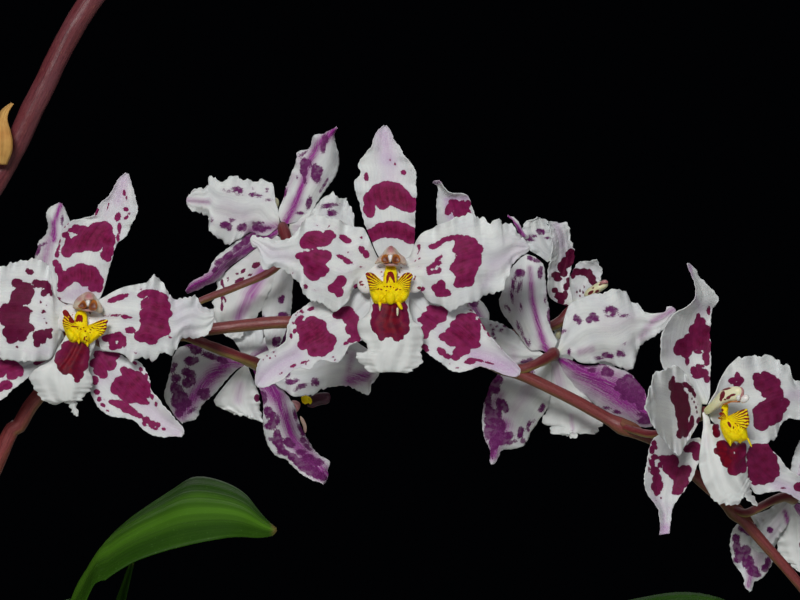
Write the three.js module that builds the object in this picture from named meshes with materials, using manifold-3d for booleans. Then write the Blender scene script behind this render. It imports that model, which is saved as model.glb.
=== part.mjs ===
// Potted oncidium orchid: terracotta pot, potting bark, a row of pseudobulbs on a
// creeping rhizome, strap leaves, and two arching flower spikes.
// Millimetres, +Z up. Origin: centre of the flat underside of the pot.
import * as THREE from 'three';
import { mergeVertices } from 'three/addons/utils/BufferGeometryUtils.js';
import Module from 'manifold-3d';

// ---------------------------------------------------------------- driving dimensions
const POT_H = 110;            // pot height
const POT_RIM_R = 65;         // outer radius at the rim band
const POT_BASE_R = 43;        // outer radius at the foot
const POT_WALL = 6;           // wall thickness
const POT_FLOOR = 9;          // floor thickness
const DRAIN_R = 6.5;          // drain hole radius, four of them, off centre
const DRAIN_AT = 23;          // radius of the ring of drain holes
const BARK_TOP = 97;          // level of the potting bark, 13 mm below the rim
const GAP = 0.35;             // clearance between touching pieces
const TEPAL_T = 0.9;          // thickness of a sepal or petal in its middle
const VIEW_D = 719.8;         // distance of the standpoint from which the spray was laid out
const VIEW_E = THREE.MathUtils.degToRad(3);   // that standpoint looks down by this much
const LAYOUT = new THREE.Vector3(142.5, -20, 430);   // centre of the layout plane
const V = (x, y, z) => new THREE.Vector3(x, y, z);

// Outlines of the sepals, petals and lips. Each row is one station from base to tip:
// left margin (across, height), right margin (across, height) on the layout plane, in mm.
// Then the depth, towards the front, of the left margin, right margin and crown.
const TRACE = {
  f3: { at: [139.4, 439.1, 28], parts: {
    dorsal_sepal: [[[137.9,440.3,141.1,440.3],[134.9,445.8,146.0,443.9],[132.4,451.7,146.8,450.3],[131.0,457.9,147.0,456.8],[129.8,463.9,147.2,463.2],[131.0,469.4,145.5,469.3],[134.6,474.6,141.8,474.3],[138.1,479.6,138.4,479.6]], [-2.5,-1,0,-0.5,-3], [-2.5,-1,0,-0.5,-3], [-0.5,-1,-1.5,-2,-0.6]],
    petal_left: [[[136.8,440.8,136.5,438.0],[133.9,447.0,130.5,433.8],[129.5,450.9,126.1,428.2],[123.2,453.3,119.9,428.9],[116.7,453.6,114.2,433.5],[112.4,448.7,108.6,438.3],[106.0,447.5,102.9,440.5],[99.8,447.7,99.7,447.1]], [-0.5,1.5,2.5,0.5,-2.5], [-0.5,1.5,2.5,0.5,-2.5], [1,2,2,1,0.3]],
    petal_right: [[[142.2,440.8,142.5,438.0],[146.6,445.8,147.5,433.0],[151.6,450.4,152.8,428.6],[158.0,453.2,159.0,427.6],[164.1,453.5,165.4,430.9],[169.5,452.8,171.7,433.3],[174.6,451.2,174.5,439.8],[179.1,445.7,179.5,444.8]], [-0.5,1.5,2.5,0.5,-2.5], [-0.5,1.5,2.5,0.5,-2.5], [1,2,2,1,0.3]],
    lateral_sepal_left: [[[136.8,432.8,137.9,431.7],[129.6,433.2,135.4,424.8],[122.9,430.1,132.5,418.5],[115.9,428.7,126.7,414.7],[110.9,423.6,120.9,412.9],[108.3,417.1,115.0,410.5],[102.6,412.6,108.7,407.4],[101.7,405.6,101.9,405.5]], [-3,-4,-3.6,-2.6,-0.5], [-3,-3.6,-3,-2.4,-0.5], [0,0.8,-0.5,-2,-0.6]],
    lateral_sepal_right: [[[141.9,432.8,140.8,431.7],[148.5,432.7,143.9,425.6],[154.4,429.8,146.5,419.5],[160.6,428.6,150.5,414.7],[165.4,424.5,156.0,410.6],[169.0,419.0,162.5,410.2],[173.5,414.0,169.0,410.2],[176.4,408.7,175.6,408.3]], [-3,-4,-3.6,-2.6,-0.5], [-3,-3.6,-3,-2.4,-0.5], [0,0.8,-0.5,-2,-0.6]],
    lip: [[[137.7,435.7,141.6,435.7],[134.2,431.0,144.8,431.4],[132.6,425.5,145.6,426.2],[130.6,420.8,148.5,421.9],[133.2,415.8,148.8,416.7],[130.1,413.3,148.6,411.7],[134.2,409.3,144.2,409.4],[139.1,411.0,139.2,411.0]], [3,3.4,3.6,3,2], [3,3.4,3.6,3,2], [0.5,3.2,4.2,3,0.3]],
  } },
  f1: { at: [53.0, 426.6, 25], parts: {
    dorsal_sepal: [[[51.3,428.9,55.3,428.9],[44.7,431.2,58.2,433.7],[44.0,438.5,59.7,439.4],[44.9,445.7,61.4,445.0],[48.4,452.2,64.9,449.5],[55.3,454.5,67.4,454.7],[59.9,460.2,66.5,460.3],[64.4,466.2,65.0,465.9]], [-2.5,-1,-0.5,-1.5,-2], [-2.5,-1,0,0,-2], [-0.5,-1.5,-2,-2.2,-0.6]],
    petal_right: [[[56.1,428.9,55.3,423.7],[61.0,432.5,57.0,416.9],[66.9,434.4,62.9,414.7],[72.1,436.9,68.4,413.3],[76.2,433.3,74.4,414.4],[80.9,430.4,79.4,417.4],[85.4,429.0,85.6,419.6],[89.6,425.7,89.6,424.6]], [-0.5,1.5,2,0,-3], [-0.5,1.5,2,0,-3], [1,2,2,1,0.3]],
    petal_left: [[[49.6,428.3,48.4,423.7],[44.1,431.2,45.2,417.8],[43.0,437.5,41.6,412.7],[38.8,441.5,34.8,412.7],[32.8,441.0,28.0,413.6],[26.6,439.3,22.5,417.4],[20.9,436.4,18.5,422.9],[16.8,431.4,16.5,429.4]], [-0.5,1.5,2.5,2,0], [-0.5,1.5,2.5,2,0], [1,2,1,-1,-1]],
    lateral_sepal_right: [[[54.7,418.0,53.0,417.5],[59.7,415.6,53.7,411.1],[64.9,413.3,54.2,404.7],[69.6,410.8,56.8,399.0],[71.4,405.5,62.5,396.4],[74.3,400.8,68.2,394.2],[78.1,396.5,73.8,391.2],[80.7,391.8,80.2,391.2]], [-3,-3.8,-3.4,-2.4,-0.5], [-3,-3.4,-3,-2.4,-0.5], [0,0.8,-0.5,-2,-0.6]],
    lateral_sepal_left: [[[49.0,416.9,50.7,416.3],[42.3,415.2,45.5,412.4],[35.5,413.7,39.0,409.8],[28.5,413.1,33.4,405.5],[22.0,410.8,28.1,401.2],[16.2,406.9,21.5,398.8],[11.5,401.8,15.0,395.9],[8.0,395.8,8.3,395.2]], [-3,-3.8,-3.4,-2.4,-0.5], [-3,-3.4,-3,-2.4,-0.5], [0,0.8,-0.5,-2,-0.6]],
    lip: [[[49.3,422.9,54.4,422.6],[45.9,417.7,55.7,418.1],[42.7,412.6,54.1,413.6],[37.6,409.3,54.3,409.0],[38.7,404.3,54.4,404.5],[42.8,400.4,51.8,401.6],[47.3,400.6,50.8,401.5],[50.4,396.8,50.8,396.9]], [3,3.4,3.6,2,1], [3,3.4,3,2,1], [0.5,3,4,2,0.3]],
  } },
  f7: { at: [229.7, 398.1, 22], parts: {
    dorsal_sepal: [[[227.7,400.4,230.0,400.4],[222.6,405.2,230.9,406.6],[218.0,410.4,230.9,413.0],[216.9,417.2,230.9,419.4],[218.9,423.8,231.0,425.8],[224.2,427.9,233.2,431.1],[226.6,433.9,228.8,435.7],[224.6,440.5,224.9,440.5]], [-3,1,4,3,1], [-3,-7,-8,-4,-1], [0,-2,-3,-1,0]],
    petal_left: [[[228.6,400.4,228.3,396.7],[226.8,404.3,226.5,392.9],[224.4,408.0,224.3,389.4],[221.6,411.1,222.4,385.9],[217.7,410.0,219.5,388.3],[214.6,407.8,216.8,391.5],[213.5,403.7,214.3,394.8],[212.3,399.5,212.9,398.7]], [0,6,14,24,30], [0,6,14,24,30], [0,-2,-4,-2,0]],
    petal_right: [[[230.6,400.4,231.4,395.8],[233.8,407.0,236.4,391.9],[238.0,413.0,242.3,389.9],[243.7,414.3,248.1,389.5],[250.0,413.0,250.9,394.0],[254.0,409.5,256.0,396.2],[260.0,406.9,261.8,398.2],[266.2,403.5,266.5,402.4]], [0,-6,-11,-15,-20], [0,-6,-11,-15,-20], [-1,-1,1,1,0]],
    lateral_sepal_left: [[[227.7,390.7,229.1,389.5],[221.7,390.5,228.4,385.6],[215.9,391.3,226.9,381.8],[213.3,386.1,225.2,378.1],[212.4,380.1,222.7,374.9],[213.6,374.2,220.6,371.5],[216.5,369.0,219.6,367.6],[216.4,363.0,219.3,363.5]], [-2,-1,2,2,0], [-2.5,-3,-2,-1,0], [0,-1.5,-2.5,-1.5,-0.3]],
    lateral_sepal_right: [[[234.3,390.7,231.4,388.4],[240.5,390.9,236.7,384.7],[246.5,389.4,240.7,379.7],[250.7,384.9,244.4,374.8],[255.1,380.5,250.6,375.5],[260.4,377.2,256.4,372.9],[264.8,372.7,261.8,369.5],[267.9,367.3,267.3,366.2]], [-3,-5,-7,-10,-12], [-3,-5,-7,-10,-12], [0,0,-1.5,-1.5,-0.4]],
    lip: [[[229.1,394.7,233.1,394.7],[228.2,389.0,235.7,391.6],[227.7,383.3,239.3,389.6],[229.0,377.8,241.2,387.3],[232.3,373.2,241.0,383.2],[237.4,371.1,241.6,379.2],[239.8,374.3,242.8,375.3],[244.4,371.5,244.6,371.7]], [2,4,6,5,3], [-1,-2,-2,-2,-1], [1,3,4,3,0]],
  } },
  f2: { at: [109.2, 451.1, -10], parts: {
    dorsal_sepal: [[[108.6,452.2,110.3,451.7],[109.7,460.9,117.6,455.5],[112.8,469.4,122.4,462.8],[117.3,475.4,125.1,470.9],[124.5,479.3,124.8,479.0]], [1,-1,-3,-3,-2], [1,-2,-4,-5,-3], [0,1.5,3,3.5,0.5]],
    petal_left: [[[108.0,452.5,107.7,450.8],[106.2,463.0,100.0,449.2],[97.7,464.7,92.4,446.2],[88.1,464.8,88.1,452.5],[81.6,458.8,81.6,457.6]], [1,-2,-4,-5,-4], [1,-2,-4,-5,-4], [0,1.5,2,1,0.3]],
    lateral_sepal_left: [[[107.7,450.5,108.0,448.8],[99.8,448.9,101.4,444.6],[92.7,444.2,95.0,440.0],[87.7,437.8,89.2,434.7],[81.6,432.6,81.9,431.7]], [0,-3,-4,-3,-1], [0,-5,-8,-7,-4], [0,2,3,2,0.4]],
    lip: [[[107.2,448.2,108.9,447.1],[99.2,443.0,107.9,438.9],[91.8,436.8,104.8,431.2],[89.2,428.1,100.6,424.0],[92.9,419.7,94.6,418.9]], [0,-6,-9,-9,-8], [0,-4,-7,-8,-8], [0,1.5,2,2,0]],
    petal_right: [[[111.2,452.2,110.9,450.0],[118.0,456.3,114.7,445.5],[123.9,460.0,120.2,443.1],[128.6,456.1,126.1,443.4],[130.5,448.2,130.8,447.1]], [0,-2,-4,-5,-5], [0,-2,-4,-5,-5], [0,1.5,2,1,0.3]],
    lateral_sepal_right: [[[109.7,447.7,110.9,447.7],[106.1,439.7,112.0,439.1],[103.9,431.3,111.7,430.5],[103.3,422.7,110.3,422.0],[105.7,414.3,106.9,414.0]], [0,-5,-8,-7,-4], [0,-5,-8,-7,-4], [0,1.5,2,1,0]],
  } },
  f4: { at: [98.6, 412.3, -14], parts: {
    lateral_sepal_left: [[[97.8,412.9,98.0,411.2],[87.7,417.2,93.4,407.5],[78.2,414.5,89.3,402.9],[75.5,404.0,85.5,398.3],[80.7,395.1,80.9,395.0]], [0,-3,-5,-4,-2], [0,-4,-7,-7,-4], [0,2,3,2.5,0.5]],
    lip: [[[98.0,411.2,99.2,411.2],[93.4,406.7,101.0,406.6],[89.7,401.6,102.6,402.0],[94.1,397.9,103.0,397.2],[99.7,396.4,100.3,396.4]], [0,-5,-7,-7,-5], [0,-5,-7,-7,-5], [0,2,2.5,2,0]],
    lateral_sepal_right: [[[99.7,411.8,100.6,412.3],[103.3,401.3,108.3,404.8],[104.1,390.3,113.7,395.7],[111.5,383.1,119.1,386.4],[120.7,377.6,121.3,377.8]], [0,-5,-7,-5,-1], [0,-8,-12,-10,-5], [0,3,4,3,0.5]],
    petal_right: [[[100.3,413.5,100.9,411.2],[109.9,416.7,109.9,404.0],[120.0,418.3,120.6,404.2],[130.1,417.7,131.3,403.6],[137.1,411.2,137.3,410.3]], [0,-5,-6,-4,-2], [0,-5,-6,-4,-2], [0,1.5,2,1,0.3]],
    petal_left: [[[97.8,414.0,98.9,414.0],[94.9,418.6,103.6,420.4],[90.8,421.9,97.9,426.2],[85.9,424.3,89.3,427.3],[80.7,424.9,80.9,425.4]], [0,-9,-14,-17,-18], [0,-9,-14,-17,-18], [0,1.5,2,1,0.3]],
    dorsal_sepal: [[[99.5,414.0,100.3,412.9],[103.1,419.0,106.4,414.4],[107.9,422.7,112.0,417.2],[113.3,425.6,116.6,421.4],[119.1,427.7,119.7,426.9]], [0,-8,-13,-16,-17], [0,-8,-13,-16,-17], [0,1.5,2,1.5,0.3]],
  } },
  f5: { at: [186.1, 414.6, -10], parts: {
    dorsal_sepal: [[[184.7,414.9,186.1,415.5],[177.0,418.9,185.6,422.4],[171.6,426.7,184.6,430.1],[172.7,435.7,183.8,437.8],[178.4,443.0,179.0,443.0]], [1,-2,-4,-6,-6], [1,-1,-3,-5,-6], [0,2,3.5,3,0.5]],
    petal_right: [[[187.2,415.8,187.5,414.0],[190.4,428.0,197.6,411.9],[201.5,432.2,207.9,410.7],[210.8,428.5,213.5,419.1],[221.1,427.3,221.0,426.4]], [1,-2,-4,-5,-4], [1,-2,-4,-5,-4], [0,2,2.5,1.5,0.3]],
    lateral_sepal_right: [[[187.5,413.8,186.7,412.6],[196.6,411.3,192.2,404.9],[205.9,410.0,199.7,399.0],[212.4,403.4,208.1,394.5],[217.5,395.6,217.2,395.2]], [0,-4,-5,-3,-1], [0,-7,-11,-10,-3], [0,2,3.5,3,0.5]],
    lip: [[[185.5,412.6,187.5,412.3],[183.0,405.2,193.1,405.1],[184.1,398.1,199.1,398.2],[185.7,393.0,197.5,391.9],[192.4,390.5,192.9,390.7]], [0,-7,-10,-9,-7], [0,-7,-10,-9,-7], [0,2,2.5,2,0]],
    lateral_sepal_left: [[[184.7,412.9,185.5,411.2],[174.3,410.7,185.2,402.0],[167.4,403.6,180.8,394.0],[166.0,393.2,175.4,387.5],[168.3,383.3,169.0,383.0]], [0,-4,-7,-6,-3], [0,-6,-10,-9,-3], [0,2,3,2.5,0.4]],
    petal_left: [[[184.4,414.0,184.7,412.9],[178.0,418.2,177.5,411.7],[172.0,422.8,169.9,410.9],[164.7,424.8,162.7,413.3],[157.9,422.0,157.6,418.9]], [0,-4,-6,-7,-7], [0,-4,-6,-7,-7], [0,2,2.5,1.5,0.3]],
  } },
  f6: { at: [193.2, 430.0, -40], parts: {
    petal_left: [[[190.1,428.3,191.8,428.9],[184.8,432.2,190.7,435.9],[184.8,439.2,192.5,442.7],[186.0,446.0,190.8,449.7],[184.8,452.3,185.2,452.5]], [0,3,5,5,3], [0,-2,-3,-3,-1], [0,-1,-1.5,-1,0]],
    dorsal_sepal: [[[191.2,429.4,193.8,429.4],[190.7,433.8,197.0,431.4],[191.6,438.0,199.1,434.4],[194.4,441.0,200.2,438.0],[198.6,441.4,199.2,440.8]], [-2,-3,-4,-4,-3], [-3,-5,-6,-6,-5], [0,-1,-1,-0.6,0]],
    petal_right: [[[194.4,428.9,193.8,427.2],[198.5,428.3,197.1,423.4],[202.8,428.0,201.1,420.6],[206.6,426.5,205.9,420.1],[209.8,423.7,210.0,422.6]], [-2,-4,-7,-10,-12], [-2,-5,-8,-11,-13], [0,0,-1,-0.6,0]],
    lateral_sepal_left: [[[190.1,427.2,192.1,426.6],[187.5,423.4,193.3,422.1],[186.3,419.0,193.3,417.5],[186.5,414.4,191.9,413.1],[188.1,410.0,189.0,409.5]], [0,2,3,3,2], [0,-1,-2,-2,-1], [0,-1,-1,-0.6,0]],
    lateral_sepal_right: [[[193.2,426.6,191.8,426.0],[197.0,423.1,193.4,421.0],[199.8,418.8,195.9,416.4],[202.2,414.3,199.1,412.2],[204.1,409.5,203.2,408.9]], [-2,-3,-5,-7,-8], [-1,-2,-3,-5,-7], [0,-1,-1,-0.6,0]],
    lip: [[[191.2,426.9,193.5,426.9],[190.4,423.3,196.3,423.8],[190.2,419.6,198.3,420.2],[191.4,416.2,198.4,416.1],[193.8,413.5,195.5,413.2]], [0.5,5,6,5,4], [0.5,3,3,2,1], [0.5,2,2,1,0]],
    petal_back: [[[184.7,440.8,187.5,442.3],[180.7,443.4,187.7,445.8],[177.7,446.9,187.1,449.2],[177.9,451.5,185.3,452.2],[181.8,453.5,182.1,453.5]], [5,7,8,8,6], [1.5,1.5,1.5,1.5,3], [0,0.8,1,0.6,0]],
    tip_left: [[[180.4,446.0,181.8,447.7],[178.0,447.3,179.0,448.3],[176.1,449.2,177.2,450.5],[174.9,451.7,175.6,452.9],[173.1,453.8,173.1,454.2]], [2,8,9,9,9], [2,8,9,9,9], [0,0.5,0.5,0.3,0]],
  } },
  f8: { at: [254.5, 373.6, -10], parts: {
    lateral_sepal_left: [[[252.5,372.4,253.1,370.7],[243.9,369.0,250.9,364.3],[237.0,363.4,249.0,357.8],[238.0,354.5,246.5,351.7],[242.1,347.0,242.8,347.1]], [0,-4,-6,-6,-2], [0,-7,-10,-9,-3], [0,2,3,2,0.4]],
    lip: [[[254.2,372.1,255.6,372.1],[252.0,366.6,259.8,366.8],[250.0,361.1,263.2,361.1],[252.0,355.8,263.5,354.8],[256.5,352.5,257.6,352.3]], [0,-5,-8,-8,-6], [0,-5,-8,-8,-6], [0,2,2.5,2,0]],
    petal_left: [[[253.4,373.9,253.9,372.1],[249.4,371.8,253.4,367.1],[246.2,368.7,250.8,362.7],[243.6,365.1,247.4,359.0],[242.5,360.7,242.8,359.3]], [1,-1,-3,-4,-4], [1,-2,-4,-5,-5], [0,1,1.5,1,0]],
    lateral_sepal_right: [[[255.6,372.1,254.8,371.0],[260.9,369.2,257.4,365.7],[265.1,364.9,260.7,360.8],[268.3,359.8,264.9,356.7],[270.5,354.2,269.9,353.6]], [0,-4,-6,-6,-4], [0,-5,-8,-7,-4], [0,2,2.5,2,0.4]],
    petal_right: [[[255.6,374.1,255.6,372.4],[261.4,378.8,262.3,370.1],[268.1,382.0,269.3,369.6],[275.5,382.4,275.9,371.7],[282.2,379.3,281.6,375.8]], [0,-4,-6,-6,-4], [0,-4,-6,-6,-4], [0,2,2.5,1.5,0.3]],
    dorsal_sepal: [[[254.2,374.1,255.6,374.1],[253.7,380.3,259.4,378.6],[254.7,386.3,262.5,383.4],[257.9,391.5,264.1,388.9],[262.8,395.2,263.6,394.7]], [0,-4,-7,-8,-8], [0,-4,-7,-8,-8], [0,2,3,2.5,0.4]],
  } },
  f0: { at: [46.2, 428.9, -16], parts: {
    dorsal_sepal: [[[44.7,430.0,47.6,430.0],[40.1,436.8,49.1,436.9],[39.0,444.5,48.9,443.9],[42.0,451.4,48.8,450.9],[45.3,457.8,46.3,457.5]], [0,-2,-4,-5,-5], [0,-2,-4,-5,-5], [0,1.5,2.5,2.5,0.4]],
    petal_left: [[[44.5,429.1,44.7,427.2],[41.4,432.4,41.6,422.6],[37.5,434.2,37.0,419.9],[33.4,433.4,32.3,422.0],[30.8,430.0,30.5,427.2]], [0,-5,-8,-10,-11], [0,-5,-8,-10,-11], [0,1.5,2,1,0.3]],
    petal_right: [[[47.9,429.1,47.9,426.9],[52.7,430.7,51.3,422.7],[57.7,429.5,55.9,420.0],[62.2,427.1,61.2,419.4],[66.1,423.7,65.8,421.7]], [0,-5,-8,-10,-11], [0,-5,-8,-10,-11], [0,1.5,2,1,0.3]],
    lateral_sepal_left: [[[44.5,426.6,45.9,425.4],[40.3,423.5,44.5,420.6],[37.2,419.3,42.0,416.3],[35.0,414.6,39.1,412.2],[34.8,409.5,35.9,408.3]], [0,-6,-9,-10,-9], [0,-7,-11,-11,-9], [0,1.5,2,1.5,0.3]],
    lateral_sepal_right: [[[46.7,425.4,47.9,426.6],[49.6,419.6,53.4,422.8],[53.6,414.4,58.0,417.9],[58.1,409.6,61.9,412.4],[62.7,404.9,63.3,406.1]], [0,-7,-11,-11,-9], [0,-6,-9,-10,-9], [0,1.5,2,1.5,0.3]],
    lip: [[[45.3,425.4,47.0,425.4],[44.0,420.8,49.9,420.4],[43.0,416.1,52.7,415.4],[43.2,411.3,52.7,410.0],[45.6,407.2,48.4,406.3]], [0,-8,-13,-14,-12], [0,-8,-13,-14,-12], [0,2,2,1.5,0]],
  } },
  f9: { at: [157.3, 439.1, -24], parts: {
    dorsal_sepal: [[[155.9,440.3,158.7,440.3],[153.9,446.1,163.0,447.2],[153.3,452.2,163.6,454.8],[152.9,458.3,158.9,460.3],[151.7,463.3,152.8,463.7]], [0,-2,-3,-3,-2], [0,-1,-1,0,1], [0,-1,-2,-2,0]],
    petal_left: [[[155.6,439.7,155.9,438.0],[152.7,442.1,152.7,434.3],[149.4,443.8,148.0,433.2],[145.7,444.2,144.0,435.8],[142.5,442.5,141.9,440.3]], [0,-9,-16,-20,-22], [0,-9,-16,-20,-22], [0,1.5,2,1,0.3]],
    petal_right: [[[159.0,439.7,159.0,438.0],[161.7,442.4,161.8,434.3],[165.0,444.4,166.1,433.3],[168.7,444.4,169.9,435.6],[171.6,442.0,172.1,439.7]], [0,-9,-16,-20,-22], [0,-9,-16,-20,-22], [0,1.5,2,1,0.3]],
    lateral_sepal_left: [[[156.2,437.4,157.6,436.8],[153.8,433.8,157.9,432.5],[151.6,430.0,156.9,428.2],[150.6,425.8,155.0,424.2],[151.0,421.4,152.2,420.9]], [0,-10,-17,-21,-22], [0,-10,-17,-21,-22], [0,1.5,2,1.5,0.3]],
    lateral_sepal_right: [[[157.3,436.8,158.7,437.4],[158.7,432.4,162.0,433.9],[160.6,428.1,165.3,430.6],[163.2,424.3,168.0,426.7],[166.4,420.9,167.9,422.0]], [0,-10,-17,-21,-22], [0,-10,-17,-21,-22], [0,1.5,2,1.5,0.3]],
    lip: [[[156.7,436.8,158.5,436.8],[155.7,432.7,160.1,433.0],[154.9,428.6,161.8,429.1],[155.5,424.5,161.8,425.0],[157.6,420.9,159.6,421.4]], [0,-8,-14,-17,-17], [0,-8,-14,-17,-17], [0,1.5,2,1.5,0.3]],
  } },
};

// ---------------------------------------------------------------- solids
const wasm = await Module();
wasm.setup();
const toSolid = (geo) => {
  const g = geo.clone();
  for (const k of Object.keys(g.attributes)) if (k !== 'position') g.deleteAttribute(k);
  const m = mergeVertices(g, 1e-4);
  return new wasm.Manifold(new wasm.Mesh({
    numProp: 3,
    vertProperties: Float32Array.from(m.attributes.position.array),
    triVerts: Uint32Array.from(m.index.array),
  }));
};
const fromSolid = (s) => {
  const m = s.getMesh();
  const g = new THREE.BufferGeometry();
  const n = m.vertProperties.length / m.numProp;
  const p = new Float32Array(n * 3);
  for (let i = 0; i < n; i++) for (let k = 0; k < 3; k++) p[i * 3 + k] = m.vertProperties[i * m.numProp + k];
  g.setAttribute('position', new THREE.BufferAttribute(p, 3));
  g.setIndex(Array.from(m.triVerts));
  return g;
};
const join = (geos) => fromSolid(geos.map(toSolid).reduce((a, b) => a.add(b)));

const shape = (pts, tris) => {
  const g = new THREE.BufferGeometry();
  g.setAttribute('position', new THREE.Float32BufferAttribute(pts.flatMap((p) => [p.x, p.y, p.z]), 3));
  g.setIndex(tris);
  return g;
};

// a thin closed sheet over a grid of points, grid[i][j], thickness th(i, j)
function sheet(grid, th) {
  const n = grid.length, m = grid[0].length, top = [], bot = [];
  for (let i = 0; i < n; i++) for (let j = 0; j < m; j++) {
    const a = grid[Math.min(i + 1, n - 1)][j].clone().sub(grid[Math.max(i - 1, 0)][j]);
    const b = grid[i][Math.min(j + 1, m - 1)].clone().sub(grid[i][Math.max(j - 1, 0)]);
    const nn = a.cross(b).normalize();
    const t = th(i / (n - 1), j / (m - 1)) / 2;
    top.push(grid[i][j].clone().addScaledVector(nn, t));
    bot.push(grid[i][j].clone().addScaledVector(nn, -t));
  }
  const tris = [], N = n * m, id = (i, j) => i * m + j;
  const quad = (a, b, c, d) => tris.push(a, b, c, a, c, d);
  for (let i = 0; i < n - 1; i++) for (let j = 0; j < m - 1; j++) {
    quad(id(i, j), id(i + 1, j), id(i + 1, j + 1), id(i, j + 1));
    quad(N + id(i, j), N + id(i, j + 1), N + id(i + 1, j + 1), N + id(i + 1, j));
  }
  for (let i = 0; i < n - 1; i++) {
    quad(id(i, 0), N + id(i, 0), N + id(i + 1, 0), id(i + 1, 0));
    quad(id(i, m - 1), id(i + 1, m - 1), N + id(i + 1, m - 1), N + id(i, m - 1));
  }
  for (let j = 0; j < m - 1; j++) {
    quad(id(0, j), id(0, j + 1), N + id(0, j + 1), N + id(0, j));
    quad(id(n - 1, j), N + id(n - 1, j), N + id(n - 1, j + 1), id(n - 1, j + 1));
  }
  return shape(top.concat(bot), tris);
}

// a stem: closed tube along a smooth curve, radius given along its length
function stem(points, radii, steps, sides) {
  const curve = new THREE.CatmullRomCurve3(points, false, 'centripetal');
  const fr = curve.computeFrenetFrames(steps, false);
  const pts = [], tris = [];
  for (let i = 0; i <= steps; i++) {
    const t = i / steps, c = curve.getPointAt(t);
    const k = t * (radii.length - 1), k0 = Math.min(Math.floor(k), radii.length - 2);
    const r = radii[k0] + (radii[k0 + 1] - radii[k0]) * (k - k0);
    for (let j = 0; j < sides; j++) {
      const w = (j / sides) * Math.PI * 2;
      pts.push(c.clone().addScaledVector(fr.normals[i], Math.cos(w) * r).addScaledVector(fr.binormals[i], Math.sin(w) * r));
    }
  }
  for (let i = 0; i < steps; i++) for (let j = 0; j < sides; j++) {
    const a = i * sides + j, b = i * sides + (j + 1) % sides;
    tris.push(a, b, b + sides, a, b + sides, a + sides);
  }
  for (let j = 1; j < sides - 1; j++) {
    tris.push(0, j + 1, j);
    const e = steps * sides;
    tris.push(e, e + j, e + j + 1);
  }
  return shape(pts, tris);
}

const lathe = (profile, segs) => new THREE.LatheGeometry(profile.map(([r, z]) => new THREE.Vector2(r, z)), segs).rotateX(Math.PI / 2);
const ball = (c, rx, ry, rz, w = 8, h = 6) => new THREE.SphereGeometry(1, w, h).rotateX(Math.PI / 2).scale(rx, ry, rz).translate(c.x, c.y, c.z);

// ---------------------------------------------------------------- layout
const FWD = V(0, Math.cos(VIEW_E), -Math.sin(VIEW_E)), UPV = V(0, Math.sin(VIEW_E), Math.cos(VIEW_E));
const EYE = LAYOUT.clone().addScaledVector(FWD, -VIEW_D);
// the point seen at (across, height) on the layout plane, but d mm nearer to the front
function place(a, b, d) {
  const ray = LAYOUT.clone().addScaledVector(V(1, 0, 0), a - LAYOUT.x).addScaledVector(UPV, b - LAYOUT.z).sub(EYE);
  return EYE.clone().addScaledVector(ray, (LAYOUT.y - d - EYE.y) / ray.y);
}
const lerp = (arr, t) => {
  const k = t * (arr.length - 1), i = Math.min(Math.floor(k), arr.length - 2), f = k - i;
  return arr[i] + (arr[i + 1] - arr[i]) * f;
};
function tepalGrid(part, depth, cols) {
  const [rows, hL, hR, hM] = part, n = rows.length;
  return rows.map(([la, lb, ra, rb], i) => {
    const s = i / (n - 1), out = [];
    for (let j = 0; j < cols; j++) {
      const t = j / (cols - 1);
      const h = lerp(hL, s) * (1 - t) + lerp(hR, s) * t + lerp(hM, s) * 4 * t * (1 - t);
      out.push(place(la + (ra - la) * t, lb + (rb - lb) * t, depth + h));
    }
    return out;
  });
}
// carry the base of a sepal, petal or lip in to the middle of its flower
function rooted(grid, c) {
  const inner = grid[0][1].clone().sub(c).setLength(1.7).add(c);
  const side = grid[0][2].clone().sub(grid[0][0]).setLength(1.1);
  return [[inner.clone().sub(side), inner, inner.clone().add(side)], ...grid];
}
const tepalT = (s, t) => (0.55 + 0.45 * 4 * t * (1 - t)) * TEPAL_T;

// columns: from, to, as (across, height, depth from the flower's centre)
const at = (fl, [a, b, h]) => place(a, b, TRACE[fl].at[2] + h);
const column = (fl, p, q, hero) => {
  const A = at(fl, p), B = at(fl, q);
  const mid = A.clone().lerp(B, 0.6);
  return stem([A, mid, B], [1.9, 1.6, 2.2, 3.0, 2.4], 4, hero ? 7 : 5);
};

// ---------------------------------------------------------------- materials
const mat = (color, roughness) => new THREE.MeshStandardMaterial({ color, roughness, metalness: 0 });
const M = {
  pot: mat(0xb5643c, 0.85), bark: mat(0x5a3d28, 0.95), bulb: mat(0x6f8a35, 0.5), rhizome: mat(0x8a7a55, 0.8),
  leaf: mat(0x3f7a1e, 0.4), stem: mat(0x7a3a3c, 0.5), tepal: mat(0xd9d3dd, 0.55), lip: mat(0xe6e8e4, 0.5), column: mat(0xe0a487, 0.4),
};
const plant = new THREE.Group();
const add = (name, geo, m) => { const o = new THREE.Mesh(geo, m); o.name = name; plant.add(o); return o; };

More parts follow.
